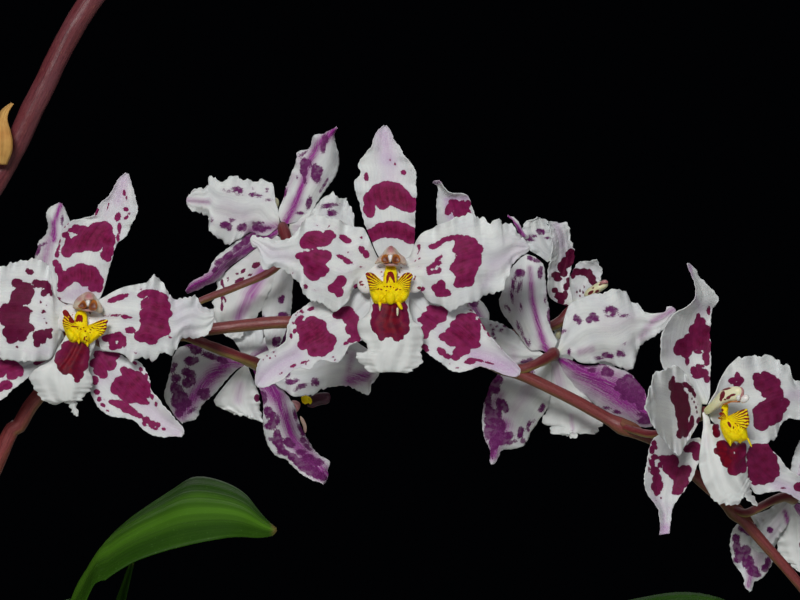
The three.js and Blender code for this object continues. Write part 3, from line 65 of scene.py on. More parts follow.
# Sepals, petals and lips: flower, back in view, kind, ruffle, margin teeth, left margin, right margin (base to tip, grid units),
# depths of left margin, right margin and crown in mm, blotches (x, y, rx, ry, degrees), streaks (x1, y1, x2, y2, width, strength).
SEG = {
'f3_dorsal_sepal': ('f3', 0, 'sepal', 0.8, 0.3,
 [(384,264),(376,252),(372.7,243),(366.5,229),(364,222),(361.5,212),(360.5,204),(357.5,197),(354,187),(354.5,181),(358.5,177.5),(361,171),(357.7,164.6),(362,158),(368,150),(371.5,147),(373,140),(376,133),(381,128),(384.5,126)],
 [(395,264),(406,259),(412,254),(414,243),(415.4,228),(415.4,212),(416,200),(416.5,186),(416.5,176),(414,167),(410,161),(403.5,156),(400,147),(393,139.5),(391.5,134),(388.5,128),(385.5,126)],
 (-2.5,-1,0,-0.5,-3), (-2.5,-1,0,-0.5,-3), (-0.5,-1,-1.5,-2,-0.6),
 [(371,235.5,7.5,7,0),(376,233,7,7,0),(381,230.5,8,8,0),(389,229.5,9,9,0),(396,229.5,9,9,0),(403,231.5,9,9,0),(410,235,9,9,0),(413,238,6,6,0),(370,200,7,9,0),(369,209,6.5,6.5,0),(370,213,5,5,0),(375,195,7,7,0),(380,194,11,11,0),(387,193,12.5,12.5,0),(394,194,12,12,0),(400,198,11,11,0),(406,203,9,9,0),(410,206,7,7,0),(412,203,6,6,0),(383,203,7,7,0),(366.5,177,2.6,4.5,0),(403.5,172.5,3,2.6,0),(395,164,1.2,2,0),(390,160,1,1.5,0)],
 [(384,135,388,160,10,0.65),(388,160,391,178,11,0.4)]),
'f3_petal_left': ('f3', 0, 'petal', 1.6, 0.3,
 [(380,262),(374,250),(366,231),(363,227),(352,227),(345,223),(335,219),(326,216.5),(322,214.5),(313,216),(307,217.5),(303,222),(299,229),(293,236.5),(283,238.5),(270,239),(260,236),(253,234.5),(250.3,238)],
 [(379,272),(372,280),(364,284),(354,288),(351,294),(349.6,299.8),(344.8,304.6),(340,308.5),(334,312.3),(327.5,307.5),(322.7,304.6),(316,301.7),(311,299.8),(306,295),(301.5,289.2),(297.7,283.5),(293,278.7),(285,272.9),(278.5,269),(271.7,268),(265,271),(261,264),(258.3,254.6),(256.3,248.8),(251.5,245),(250,240)],
 (-0.5,1.5,2.5,0.5,-2.5), (-0.5,1.5,2.5,0.5,-2.5), (1,2,2,1,0.3),
 [(312,240,11,9,0),(322,240,10,7,0),(305,243,6,6,0),(327,238,6,5,0),(316,234,7,4,0),(300,256,5,4,0),(307,259,8,8,0),(317,257,11,8,0),(326,256,6,6,0),(312,270,9,9,0),(318,266,8,8,0),(325,270,5,4,0),(314,276,7,5,0),(323,273,4,4,0),(329,233.5,6,4,18),(334,236,3,2.5,0),(345,239,7,3.6,30),(349,241,3,2.5,0),(362,250,3,4,0),(366,254,3.5,4.5,-20),(360,247.5,2,1.5,0),(341,257,5,2.5,25),(347,261,6,3,28),(352,263.5,3,1.5,15),(341,281,6,6,0),(333,288,6,5,0),(339,292,5,5.5,0),(336,286,5,5,0),(305.5,286.5,3,2.3,35),(361,237.5,1.8,1.3,0),(348,252.5,1.8,1.2,30),(351,254,1.2,1,0),(361,267,2.5,1,10),(339,269,1,0.8,0),(344,269,1.6,0.9,0),(350,272,1,0.8,0),(317,225,1.5,0.8,30),(329,226,1,1,0),(336,228,1,0.8,0),(316,290,2.2,1,0),(293,273,1.2,1,0),(357,286,4,2.2,-20),(362,285,3.5,1.2,-15)],
 [(254,246,290,258,7,0.25),(285,262,300,255,5,0.15)]),
'f3_petal_right': ('f3', 0, 'petal', 1.6, 0.3,
 [(399,262),(410,257),(413,248),(415.4,242),(420,234.5),(425,231),(433,228.5),(437,224.5),(443,222.5),(450,221),(456.5,217),(461,218.5),(466,216.5),(470.5,213),(475,218),(480,219),(485.5,218.5),(488,224.5),(493,219.5),(501.5,219.2),(501.5,225),(508,222.9),(514,226),(519,233.5),(524,239),(528.5,245)],
 [(400,272),(404,281),(411,286),(420,290.5),(424,294),(425,299),(432,304),(441,305.6),(446.7,309.4),(450.6,313.3),(459,307.5),(466,303.7),(473.7,299.8),(479.4,298.8),(481.3,295),(487,292.7),(493,294),(498.7,290.2),(503.5,289.2),(504.4,285.4),(506.3,279.6),(510.2,273),(511.2,266.2),(515,261.3),(521.7,255.6),(528,252.7),(530,248)],
 (-0.5,1.5,2.5,0.5,-2.5), (-0.5,1.5,2.5,0.5,-2.5), (1,2,2,1,0.3),
 [(462,243,8,6,0),(470,243,8,6,0),(476,249,8,6,0),(465,250,10,7,0),(457,250,5,4,0),(470,256,8,5,0),(463,261,9,7,0),(474,262,8,6,0),(478,258,4,4,0),(455,268,6,5,0),(461,271,8,8,0),(470,270,8,6,0),(474,267,5,5,0),(462,281,7,7,0),(468,281,7,6,0),(458,284,5,4,0),(469,276,6,6,0),(433,246.5,5,3,0),(438,244,5,3,-20),(444,240,5,3,-30),(451,238,5,3,-25),(457,237.5,4,3,0),(461,236,3,2,0),(467,238,4,3,0),(432,266,5,2.3,-12),(438,264,4,2.3,-15),(428,268,3,1.8,0),(430,273,4,2.2,0),(436,272,5,2.5,0),(440,270,2.5,2,0),(438,259,4,2.2,-25),(441,256,3,1.6,-30),(435,263,3,1.6,0),(441,285,5,5.5,0),(436,288,5,4,0),(440,293,6,4.5,0),(446,293,5,4,0),(449,294,3,2.5,0),(422,289,3,2.6,25),(419,246,2,2.5,0),(419,250,1.2,1.5,0),(419,258,1.8,1,0),(415,261,1.8,1,0),(418,254,1,1,0),(419,267,1.2,0.7,0),(424,288.5,1.5,1,0)],
 [(495,265,520,250,9,0.35),(484,285,492,272,5,0.3),(505,240,522,243,6,0.15)]),
'f3_lateral_sepal_left': ('f3', 0, 'sepal', 0.7, 0.3,
 [(380,290),(368,287),(352,289),(336,298),(325,302),(317,301.5),(311,301.5),(305,305.5),(297.7,310.4),(292,316),(288.5,323),(287.5,331.5),(286,341),(281.3,344.5),(274.6,348.8),(267,354.6),(259.2,360.4),(257.3,368),(255.4,376),(255,381.5),(257,385.5)],
 [(384,294),(376,312),(373,330),(368,340),(363,341),(355.4,343),(347.7,347),(344.8,353.7),(340,362.3),(334.2,362.9),(327.5,360.4),(318.8,359.4),(315,364.2),(311.2,369.6),(305.4,369),(299.6,367),(293.8,370),(286,375.8),(278.5,381.5),(271.7,385.4),(261,387.3),(257.5,386)],
 (-3,-4,-3.6,-2.6,-0.5), (-3,-3.6,-3,-2.4,-0.5), (0,0.8,-0.5,-2,-0.6),
 [(341,313,8,6,-25),(347,312,7,6,0),(350,318,8,7,0),(354,324,6,7,0),(355,318,4,4,0),(350,329,5,6,0),(355,334,5,6,0),(352,340,5,3,-20),(346,343,3,1.8,-20),(358,338,3,4,0),(337,315,5,4,0),(303,328,7,8,0),(312,325,9,9,0),(320,326,7,7,0),(309,338,10,11,0),(320,338,12,10,0),(329,340,8,7,0),(303,345,6,5,0),(314,350,7,7,0),(322,351,7,6,0),(327,347,7,6,0),(318,332,10,10,0),(305,341,6,6,0),(331,342,5,6,0),(311,309,4,2.2,-25),(301,311,2.2,1.5,-30),(303,312,1.2,1.2,0),(296,315,1.2,1.2,0),(298,321,4.5,3,-40),(301,317,3,2,0),(293,323,1.2,1.2,0),(295,331,3,2.2,-50),(291,336,1.8,3,0),(303,306,1,0.8,0),(298,312,1,1,0),(293,366,4,1.6,-25),(304,362.5,4,1.5,-15),(306,364,1.2,1.2,0),(281,373.5,2.2,1.2,-30),(308,361,2,1,-30),(333,357,1.6,1,0),(335,360,1,1,0),(267,356,1,0.8,0),(270,358,1.2,1.2,0),(274,352,1.5,1,0),(263,360,1,1,0),(275,356,0.8,0.8,0)],
 [(262,378,296,354,9,0.55),(300,350,335,322,5,0.15)]),
'f3_lateral_sepal_right': ('f3', 0, 'sepal', 0.7, 0.3,
 [(398,290),(408,288),(424,291),(440,300),(452,306),(459,306),(464,303.7),(468.8,307.5),(475.6,312.3),(479.4,318),(484.2,325.8),(488,333.5),(493.8,339.2),(501.5,348),(509.2,356.5),(517,364.2),(520.4,370),(518.8,374.8)],
 [(394,294),(404,312),(408,330),(414,338),(421,340),(421.7,345),(423.7,350.8),(429.4,354.6),(436,359.4),(443.8,365.2),(449.6,370),(457.3,372),(465,371),(471.7,369),(480.4,365.2),(490,368),(499.6,372),(509.2,375.8),(516,376.3)],
 (-3,-4,-3.6,-2.6,-0.5), (-3,-3.6,-3,-2.4,-0.5), (0,0.8,-0.5,-2,-0.6),
 [(434,311,7,6,0),(441,312,7,6,0),(428,317,7,6,0),(437,318,8,6,0),(424,321,5,4,0),(431,324,6,6,0),(426,329,5,5,0),(425,335,4,4,0),(443,318,4,4,0),(443,309,4,4,0),(421,320,4,3,0),(430,308,4,3,0),(462,319,7,6,0),(470,318,6,6,0),(457,325,7,6,0),(468,327,10,8,0),(476,327,5,7,0),(452,333,7,6,0),(460,335,12,9,0),(471,337,8,8,0),(445,337,7,4.5,0),(453,341,8,6,0),(464,345,9,6,0),(474,344,6,5,0),(459,352,7,5,0),(466,351,5,4,0),(456,357,5,4,0),(449,337,7,6,0),(478,335,3,6,0),(478,345,3,3,0),(424,347.5,4.5,4,30),(427,350,2.5,2,0),(442,352,5,3.6,15),(447,356,4,3,25),(439,349,2.5,2,0),(451,363,1.6,1,0),(457,368,1.8,1.2,0),(450,364,1,1,0),(471,361,5,3.6,0),(478,360,6,1.6,15),(489,363,6,1.2,12),(468,362,4,2.5,0),(485,327,2.5,5,-30),(480,321,2,3,-30),(489,334,2,3.5,-30),(470,310,3,1,30),(476,315,3,1,35),(497,342,3,1.2,45),(503,349,2.5,1,30)],
 [(476,356,512,370,10,0.8),(440,330,450,345,6,0.3)]),
'f3_lip': ('f3', 0, 'lip', 0.9, 0.5,
 [(383,280),(375,288),(370,297),(371,304),(369.5,311),(364.5,317),(358.5,320),(357,326),(358,333),(361.3,338.4),(365.7,342.8),(368.3,347.5),(367.6,352),(362,353.4),(356.5,351.6),(355,354),(356,357.5),(359,363.3),(364.2,369.2),(369.3,372.9),(379.6,373.2),(385.5,372),(387.7,368.8),(387.9,366.5)],
 [(397,280),(404,288),(409.5,297),(408.5,304),(410,311),(413,320.5),(419.2,325.5),(422.9,331),(423.6,336.9),(422.2,342.8),(421.8,349.4),(422.9,356.7),(424,362.6),(417.8,366.2),(413.4,370.6),(409,373.6),(404.6,372),(402.4,370),(396.5,369.5),(391.4,368.4),(388.4,366.5)],
 (3,3.4,3.6,3,2), (3,3.4,3.6,3,2), (0.5,3.2,4.2,3,0.3),
 [(377,307,5,5,0),(376,316,5,8,0),(378,326,7,8,0),(382,334,5,6,0),(386,330,8,8,0),(390,310,14,10,0),(390,322,17,11,0),(397,333,7,7,0),(403,328,7,7,0),(404,316,5,8,0),(403,307,5,5,0),(374,322,4,6,0),(406,322,4,6,0),(381,338,3,3,0),(397,339,4,3,0),(390,300,16,6,0),(401,337,3,3,0)],
 []),
'f1_dorsal_sepal': ('f1', 0, 'sepal', 0.9, 0.3,
 [(80,304),(64,303),(56,297),(56,288),(58,280),(55,272),(52,264),(54,254),(58,243),(62,233),(65,226),(71,220.5),(81,218.5),(92.5,217),(97,210),(98.8,203.6),(108.6,197.3),(111.7,192),(115,184.8),(119.4,178.5),(126,173)],
 [(94,304),(99.7,298.8),(103.2,290.7),(106,281.7),(108.6,271),(111.3,260.2),(114,251.2),(116.7,243),(122,239.5),(126.6,234),(131,224.3),(135.6,217),(137.9,208),(135,200),(132,188.3),(129.5,178),(128,174)],
 (-2.5,-1,-0.5,-1.5,-2), (-2.5,-1,0,0,-2), (-0.5,-1.5,-2,-2.2,-0.6),
 [(67,251,6,7,0),(72,247,6,7,0),(79,244,9,9,0),(88,239,12,12,0),(98,234,12,12,0),(104,230,9,9,0),(107,240,9,9,0),(108,250,6,9,0),(76,229,5,5,0),(83,231,6,6,0),(108,258,4,4,0),(104,255,4,5,0),(95,243,9,9,0),(69,243,5,5,0),(71,230,3,2.5,0),(62,285,5,6,0),(66,279,8,8,0),(73,274,8,8,0),(81,273,10,10,0),(90,275,10,10,0),(97,281,7,7,0),(99,287,4,6,0),(60,272,3,8,0),(60,290,3,2.5,0),(86,278,9,9,0),(93,288,5,4,0),(65.5,235,4,3.5,0),(68,239,3,3,0),(57.5,246,2.8,4,0),(57,254,2.6,4,0),(55.5,263,3.4,4,0),(57,270,2.6,4,0),(59,241,2,2.5,0),(124,193,1.8,3,0),(126.5,198,1.2,2,0),(126,209.4,3,2.5,0),(117.6,217,3.4,4.6,15),(119.4,228,2.3,6,0),(118,238,1.8,4,0),(129.3,213.5,2,1,0),(126,218,3,1.6,-40),(64.6,226.5,1.3,1.3,0),(68,223.7,1.3,1.3,0),(62,222,1,1,0),(58.4,298.8,2.8,1.9,-20),(113,187,2,1.2,0),(103,199,3,0.9,-30),(97,212,1.6,5,20),(108,206,1,4,15)],
 [(124,180,118,200,8,0.6),(118,200,108,215,8,0.25),(70,295,88,290,8,0.5)]),
'f1_petal_right': ('f1', 0, 'petal', 1.6, 0.3,
 [(97,304),(98.8,299.4),(104,297),(111.3,292.5),(118.5,288.9),(125.7,286.2),(136.5,284.4),(145.4,282.6),(150.8,278),(153.6,273.6),(156,279),(162.5,282.6),(168,288.9),(171.5,296),(175,299),(183,299),(190.3,297),(194.8,294.6),(197.2,299),(199.3,304),(204.7,307),(208.3,306),(209.5,309.6),(213.7,311.3),(214.4,315)],
 [(94,322),(97,332),(99,342),(100.6,350.5),(109.5,351.8),(118.5,352.6),(125.7,355.3),(129.3,361.6),(132,362.5),(134,360),(142,358),(149,359),(154.8,361.3),(158,357),(163.4,352.6),(170.6,355.3),(173.3,353.5),(177,348.2),(180.5,340),(190.3,338.3),(199.3,336.5),(206.5,335.6),(210,330.2),(212.8,324.8),(214.4,319)],
 (-0.5,1.5,2,0,-3), (-0.5,1.5,2,0,-3), (1,2,2,1,0.3),
 [(143,294,6,4,-25),(152,293,8,4,0),(162,297,7,4.5,25),(155,298,6,6,0),(147,304,7,6,0),(156,307,9,9,0),(164,306,7,7,0),(167,314,6,4.5,0),(145,314,6,6,0),(155,316,9,7,0),(143,320,4,4,0),(151,325,8,7,0),(161,326,8,9,0),(142,336,8,7,0),(151,337,8,7,0),(147,330,8,8,0),(158,333,8,6,0),(166,330,5,6,0),(152,341,6,4,0),(163,319,6,6,0),(113,299.8,6,3,-18),(120,297.5,6,3.4,-20),(126,295.5,4,2,-25),(107,315.8,6,0.9,0),(117,315.4,6,1.6,0),(125,316.8,5,2.4,10),(130,318,3,1.3,0),(130,330.3,5.5,3.6,0),(107,338.5,5,4,0),(113,337,6,4,0),(118,336,5,5,0),(122,340,4.5,6,0),(113,347,4.5,3.5,0),(119,346,4,3,0),(112,342,4,4,0),(124.5,344,2.5,4,0),(169.7,337.7,2,1,0),(141,289,2,1,0),(135,352.5,2.5,1.2,15)],
 [(172,300,190,335,9,0.22),(178,325,200,310,8,0.18)]),
'f1_petal_left': ('f1', 0, 'petal', 1.8, 0.3,
 [(74,306),(64,304),(54,296),(52,283),(51,272),(48,264),(41,261),(34,259.3),(31.4,256.6),(27,258.4),(18,260.2),(10.8,262.9),(5.4,265.6),(0,266.5),(-10,268),(-20,273),(-30,280),(-37,288),(-41,295)],
 [(70,322),(62,332),(58,345),(54,357),(46,361),(34,362),(24,361),(14,359.5),(5,358.5),(-5,357),(-13,352),(-20,346),(-26,338),(-33,330),(-37,320),(-41,310),(-42,302)],
 (-0.5,1.5,2.5,2,0), (-0.5,1.5,2.5,2,0), (1,2,1,-1,-1),
 [(17,283,6,5,0),(25,289,8,7,0),(18,297,8,8,0),(26,299,6,6,0),(14,309,10,8,0),(24,311,7,5,0),(12,322,9,8,0),(22,320,8,7,0),(28,312,5,3,0),(10,332,8,7,0),(21,331,9,7,0),(30,328,5,4,0),(12,340,6,4,0),(22,338,5,4,0),(5,315,6,12,0),(31,292,4,5,0),(38,284,5,4,0),(44,284,6,4,0),(48,288,3.5,6,0),(44,293,3.5,4,0),(35,281,3,2,0),(51,293,2,4,0),(30,272,4,3,0),(27,270,2,2,0),(40.4,302.4,1.8,1.8,0),(43,311.9,2.8,2.3,0),(39.5,318.5,1.3,1.3,0),(44.4,319.4,1.3,1.3,0),(46.3,323,1.6,1.6,0),(36,336,4,5,0),(41,333,4,4,0),(47,333,4.5,4.5,0),(37,343,4,4.5,0),(43,340,4,4,0),(51,330,2.5,2,0),(50,336,3,3,0),(-8,300,7,9,0),(-6,318,6,6,0),(17,347,1.6,1.6,0),(25,350,1.2,1.2,0),(47,305,1,1,0)],
 [(30,352,48,352,4,0.2)]),
'f1_lateral_sepal_right': ('f1', 0, 'sepal', 0.7, 0.3,
 [(92,342),(98,347),(108,350),(120,354),(130,360),(138.3,360.7),(143.7,366),(148,373.3),(150.5,382.3),(150.3,388.6),(156.2,396.6),(163.4,405.6),(170.6,413.7),(177,421),(182.3,426.3),(183.5,430.8),(183.3,434)],
 [(86,344),(86,354),(88,364.3),(90,372),(90.5,382),(89.8,393),(93.4,400.2),(98,408.3),(106,413.7),(115,417.8),(125.7,418.2),(133,420),(138.3,424.5),(143.7,430),(150.8,434.4),(161.6,436.7),(172.4,436),(181.5,436.3)],
 (-3,-3.8,-3.4,-2.4,-0.5), (-3,-3.4,-3,-2.4,-0.5), (0,0.8,-0.5,-2,-0.6),
 [(99,355,6,5,0),(106,357,8,6,0),(114,356,6,4.5,0),(95,363,6,5,0),(101,366,8,7,0),(110,364,7,7,0),(103,374,5,5,0),(98,371,5,5,0),(117,354,4,2.5,0),(129,374,7,6,0),(137,379,8,8,0),(144,387,6,9,0),(121,383,8,7,0),(131,386,10,8,0),(116,389,6,6,0),(125,394,8,6,0),(137,396,9,7,0),(143,401,5,4,0),(130,400,8,4,0),(147,393,4,6,0),(148,403,2,2,0),(124,370,4,4,0),(116,385,5,4,0),(112,402,4,3,0),(118,404,6,4,20),(126,408,7,5,25),(133,412,5,4,30),(137,415,3,2.5,0),(140,416,3.5,2.5,0),(146,420,4,4,40),(144,424,3,2,40),(152,424,4,4,30),(158,425,3,3,20),(155,428.5,3.5,1.6,0),(163.5,428.8,2.5,1.8,0),(97,392,3.6,3,30),(99,399,2.5,3,0),(95,380,3.6,5,0),(103,405,3,2,30),(108,411,2,1,30),(135,363,3,1.6,40),(141,369,3,2,50),(146,377,2.4,4,0),(149,386,1.6,4,0),(152,397,2,3,0),(156,404,1.6,3,0),(104,400,1.2,1.2,0)],
 [(135,398,176,432,8,0.45),(100,380,118,378,7,0.3)]),
'f1_lateral_sepal_left': ('f1', 0, 'sepal', 0.7, 0.3,
 [(72,346),(60,350),(48,352),(34,356),(20,358),(5,358),(-12,362),(-28,370),(-42,380),(-54,392),(-64,404),(-70,414),(-72,420)],
 [(78,348),(72,358),(60,362),(48,364),(38,370),(28.7,377),(19.8,384),(10.8,391),(5.4,398),(0,401),(-12,404),(-26,410),(-40,417),(-54,422),(-66,424),(-71,422)],
 (-3,-3.8,-3.4,-2.4,-0.5), (-3,-3.4,-3,-2.4,-0.5), (0,0.8,-0.5,-2,-0.6),
 [(4,366,8,7,0),(12,368,9,8,0),(20,371,4,6,0),(12,376,6,4,0),(0,372,7,6,0),(6,385,7,5,0),(0,388,5,4,0),(41,359,5,4,0),(46,355,3,3.5,0),(37,363,4,2.5,0),(-16,378,8,7,0),(-22,386,7,7,0),(-10,392,6,4,0),(50,356,4,3,0)],
 [(-66,418,-35,396,8,0.5)]),
'f1_lip': ('f1', 0, 'lip', 0.8, 0.5,
 [(73,325),(67,333),(62,342),(57,349),(54,356),(51,361),(36,368),(27.8,377),(29.6,381.4),(35,387.7),(37.7,396.6),(44,402),(52,404.7),(56.6,405.3),(60,402),(62,398.4),(62.8,400.2),(68.2,404.7),(72.7,411),(70,413.2),(74.5,415.2),(77,416.5)],
 [(91,326),(96,336),(95,346),(91,354),(88.5,362),(89,371.5),(92,376),(93.4,382.3),(90.7,391),(87,394),(84.4,400.2),(81.7,401.5),(81,397),(80.8,392),(79,399.3),(75.6,405.6),(77.4,411),(78.3,416)],
 (3,3.4,3.6,2,1), (3,3.4,3,2,1), (0.5,3,4,2,0.3),
 [(63,356,8,7,0),(58,360,4,5,0),(67,347,6,5,0),(72,354,9,9,0),(82,352,8,8,0),(85,345,5,4,0),(64,366,7,7,0),(72,366,8,8,0),(81,364,8,8,0),(65,371,4,4,0),(78,374,6,6,0),(77,380,3.5,3,0),(75,343,8,4,0),(72,345,10,5,0),(87,357,3,6,0)],
 []),
'f7_dorsal_sepal': ('f7', 0, 'sepal', 0.8, 0.3,
 [(699,404),(686,392),(670,376),(664,368),(661.5,361.2),(660.8,350),(661.5,339),(663.7,331.3),(667,323.6),(671.5,315.8),(678,311.4),(684.7,309.2),(690.3,304.8),(694.7,299.2),(695.8,292.6),(694.7,283.8),(691.4,275),(688,267),(688,263)],
 [(707,404),(710,396.6),(710.2,387),(710.2,370),(710.2,350),(710.2,328),(710.4,317),(711.3,309.2),(715.7,304.8),(720,299.2),(719,297),(713.5,289.3),(706.9,283.8),(699,277),(696.2,269.4),(691.4,265),(689.2,263)],
 (-3,1,4,3,1), (-3,-7,-8,-4,-1), (0,-2,-3,-1,0),
 [(700,322,6,5,0),(698,316,2.5,3,0),(695,330,7,6,0),(705,333,7,9,0),(700,342,10,8,0),(707,346,5,8,0),(683,345,8,7,0),(678,350,5,6,0),(686,352,6,6,0),(693,346,7,5,0),(687,361,2.5,5,0),(706,357,4,5,0),(707,362,3,4,0),(689,338,5,5,0),(698,352,4,2,0),(695,371,5,5,0),(702,373,7,5,0),(707,379,3.5,4,0),(697,376,5,3,0),(699,366,5,2,0),(708.5,310.5,2.2,4.5,0)],
 [(690,266,694,296,2.2,0.9),(694,296,702,312,3,0.35),(667,345,672,355,6,0.15)]),
'f7_petal_left': ('f7', 0, 'petal', 1.4, 0.3,
 [(702,404),(698,394),(691.4,383.3),(683.6,371),(678,366),(672.6,365.6),(666,368),(663.7,371),(659.3,371.8),(653.8,373.4),(652.7,381),(649.3,387.7),(648.9,395),(646,402),(645,407)],
 [(701,417),(699,422),(693.6,432),(688,440.8),(683.6,448.6),(680.3,456),(675,452),(672.6,449.7),(666,440.8),(658,432),(653.8,427.6),(652,424),(651,420),(649,414),(647,410)],
 (0,6,14,24,30), (0,6,14,24,30), (0,-2,-4,-2,0),
 [(672,386,4,6,0),(678,389,6,7,0),(675,397,5,8,0),(682,399,7,9,0),(681,412,6,10,0),(685,410,6,10,0),(683,423,6,9,0),(685,430,5,8,0),(680,434,4,4.5,0),(679,405,5,9,0),(673,378,2.2,2.6,0),(686,385,4,2.5,25),(691,390,3.5,3,30),(694,394,2,4,-20),(689,387,3,2,0),(691,424,3,8,15),(692,418,2,3,0),(699,421,3,4,0),(702,427,3,5,-20),(700,430,3,3,0),(694,402,1,1.5,0),(696,407,1,1.5,0),(697,412,0.9,1.3,0),(692,399,0.8,1.5,0),(698,404,0.8,1.2,0),(688,394,1,1,0)],
 []),
'f7_petal_right': ('f7', 0, 'petal', 1.5, 0.3,
 [(709,404),(713,397),(717,391),(718.5,385),(721,379),(725.7,370),(731,363.4),(736.7,358),(740,356),(741,359.2),(745.6,356.3),(749,357),(755.8,353.5),(758,358),(766.6,355.2),(773,356.3),(778.8,360),(781,366.7),(785.4,364.5),(788.7,363.4),(791,370),(792,376.7),(795.4,379.3),(802,380),(812,381),(822,383),(831,388),(834,393)],
 [(712,420),(722,430),(738,438),(752,441),(757.7,445.3),(763.3,445.3),(768.8,442),(776.5,442),(777.7,432),(781,424.2),(787.6,419.8),(793,416.5),(796.5,418.7),(804,419),(814,415),(824,408),(832,402),(835,397)],
 (0,-6,-11,-15,-20), (0,-6,-11,-15,-20), (-1,-1,1,1,0),
 [(737,377,3,5,0),(732,381,4,3.5,0),(741,380,3.5,3.5,0),(737,385,4,2.5,0),(737,374,2,2,0),(757,377,5,5,0),(765,376,6,5,0),(761,384,8,7,0),(771,378,5,4,0),(776,383,5,5,0),(769,391,9,8,0),(778,394,6,8,0),(785,403,5,5,0),(773,404,10,8,0),(764,408,8,7,0),(759,417,6,7,0),(767,417,7,7,0),(777,416,6,7,0),(762,426,7,5,0),(757,424,4,5,0),(757,411,5,5,0),(772,423,4,3,0),(781,409,6,5,0)],
 [(790,395,825,395,6,0.4)]),
'f7_lateral_sepal_left': ('f7', 0, 'sepal', 0.6, 0.3,
 [(699,438),(688,440),(672,438),(660,434),(654,438),(650.4,445.3),(648.2,454),(646.7,465.2),(645,476.2),(645.4,487.3),(649.3,496),(655,502.8),(659.3,510.5),(660,518.3),(661.5,527),(659.3,535)],
 [(704,442),(702,449),(701,458.5),(697,467.4),(691.4,480.7),(684.7,489.5),(679.2,496),(674.8,502.8),(671.5,511.6),(670.4,520.5),(670,528),(669.5,533.3)],
 (-2,-1,2,2,0), (-2.5,-3,-2,-1,0), (0,-1.5,-2.5,-1.5,-0.3),
 [(694,447,7,6,0),(688,449,5,4,0),(697,455,5,6,0),(700,452,3,5,0),(667,460,7,5,0),(673,462,6,8,0),(670,468,8,7,0),(677,474,9,7,0),(684,472,7,7,0),(688,470,4,5,0),(681,482,8,7,0),(678,489,6,6,0),(675,492,4,3,0),(663,458,4,3,0),(654,443,3,3,0),(652,450,3,4,0),(655,457,4,3,0),(652,463,3,4,0),(655,471,5,5,0),(657,479,5,6,0),(655,487,4.5,5,0),(657,492,3.5,4,0),(660,465,3,3,0),(661,485,2.5,5,0),(649,460,1,2,0),(649,470,1,3,0),(656,500,1.2,1.2,0),(661,498,1.2,1.2,0),(656,448,2.5,2,0)],
 [(664,537,664.5,528,7,1),(664,528,664,515,3,0.6),(652,500,668,510,6,0.3)]),
'f7_lateral_sepal_right': ('f7', 0, 'sepal', 0.7, 0.3,
 [(722,438),(740,436),(754,440),(766,442),(772,449.7),(780,458.5),(787.6,468.5),(793,473),(800,476),(810,482),(820,491),(830,502),(837,512),(840,520)],
 [(712,446),(730,458),(742,472),(749,485),(752,489.5),(757.7,495),(764.4,492.8),(773.2,490.6),(782,491.3),(791,495),(800,500.6),(812,508),(824,516),(834,522),(838,524)],
 (-3,-5,-7,-10,-12), (-3,-5,-7,-10,-12), (0,0,-1.5,-1.5,-0.4),
 [(757,450,9,7,0),(766,449,8,6,0),(764,458,10,8,0),(773,460,5,7,0),(775,468,5,6,0),(752,456,6,7,0),(756,466,10,7,0),(750,466,5,6,0),(766,470,9,7,0),(757,476,9,7,0),(770,477,6,6,0),(752,475,5,6,0),(762,481,7,4,0),(755,483,4,2.5,0),(783,488,3,1,0),(800,487,7,5,0),(777,473,3,4,0)],
 [(775,483,830,512,7,0.5)]),
'f7_lip': ('f7', 0, 'lip', 0.8, 0.5,
 [(704,424),(702,434),(700,449.7),(699,458),(699,467.4),(702.4,480.7),(707,489.5),(713.5,498.4),(722.3,505),(731,507.2),(739,506),(740.4,501.7),(739.4,494.5),(741,494),(745.6,498.4),(753.3,503.9),(757.6,505.4)],
 [(718,424),(728,436),(740,442),(746.7,443),(746.2,454),(745.6,467.4),(747.8,478.5),(751,489.5),(754.4,498.4),(758.2,504.5)],
 (2,4,6,5,3), (-1,-2,-2,-2,-1), (1,3,4,3,0),
 [(722,445,6,5,0),(719,451,6,4,0),(724,452,7,6,0),(731,447,6,6,0),(728,458,8,7,0),(736,462,8,8,0),(734,470,7,6,0),(741,452,6,9,0),(743,464,4,10,0),(738,470,4,4,0),(745,450,2.5,9,0),(727,464,5,4,0),(715.5,428,3.5,5,0),(716.5,433,4,4.5,0),(742,444,5,3,0)],
 [(707,436,708,446,3,0.35)]),
'f2_dorsal_sepal': ('f2', 1, 'sepal', 0.7, 0.3,
 [(281,222),(278,214),(279,208),(282,201.5),(285.8,189.2),(290.4,177),(295,166),(296.5,158.5),(295.8,152.3),(300.4,150),(308.8,149.2),(311,144.6),(312,137),(315.8,133.8),(324.2,134.2),(328.8,130.8),(337,127)],
 [(287,224),(296,222),(305.8,218),(310,216),(315,206),(322.7,193.8),(332,181.5),(336.5,173.8),(338.8,164.6),(338.8,153.8),(336.5,144.6),(333.5,135.4),(336,130),(338,128)],
 (1,-1,-3,-3,-2), (1,-2,-4,-5,-3), (0,1.5,3,3.5,0.5),
 [(304,164,4,6,0),(308,163,4,4,0),(304,171,4,5,0),(315,170,4,6,0),(319,171,4,5,0),(317,178,4,5,0),(314,175,3,5,0),(297,177,0.9,1.6,0),(303,154,4,1.2,-35),(299,155,1.5,1,0),(323,147,2.6,6,0),(325,139,3,5,0),(284.5,193,2,6,18),(324,185,1.2,3,35),(321,190,1,3,35),(309,203,2.6,6,15),(300,213,4,1.6,0),(327,180,1,2.5,30),(305,180,1.6,4,0)],
 [(285,224,297,200,5,1),(297,200,304,180,3.6,1),(304,180,309,162,4.4,1),(309,162,318,145,4.6,1),(318,145,336,128,5,1),(283,228,290,214,5,0.7),(300,160,318,180,6,0.3),(293,175,288,190,3,0.25)]),
'f2_petal_left': ('f2', 1, 'petal', 1.6, 0.3,
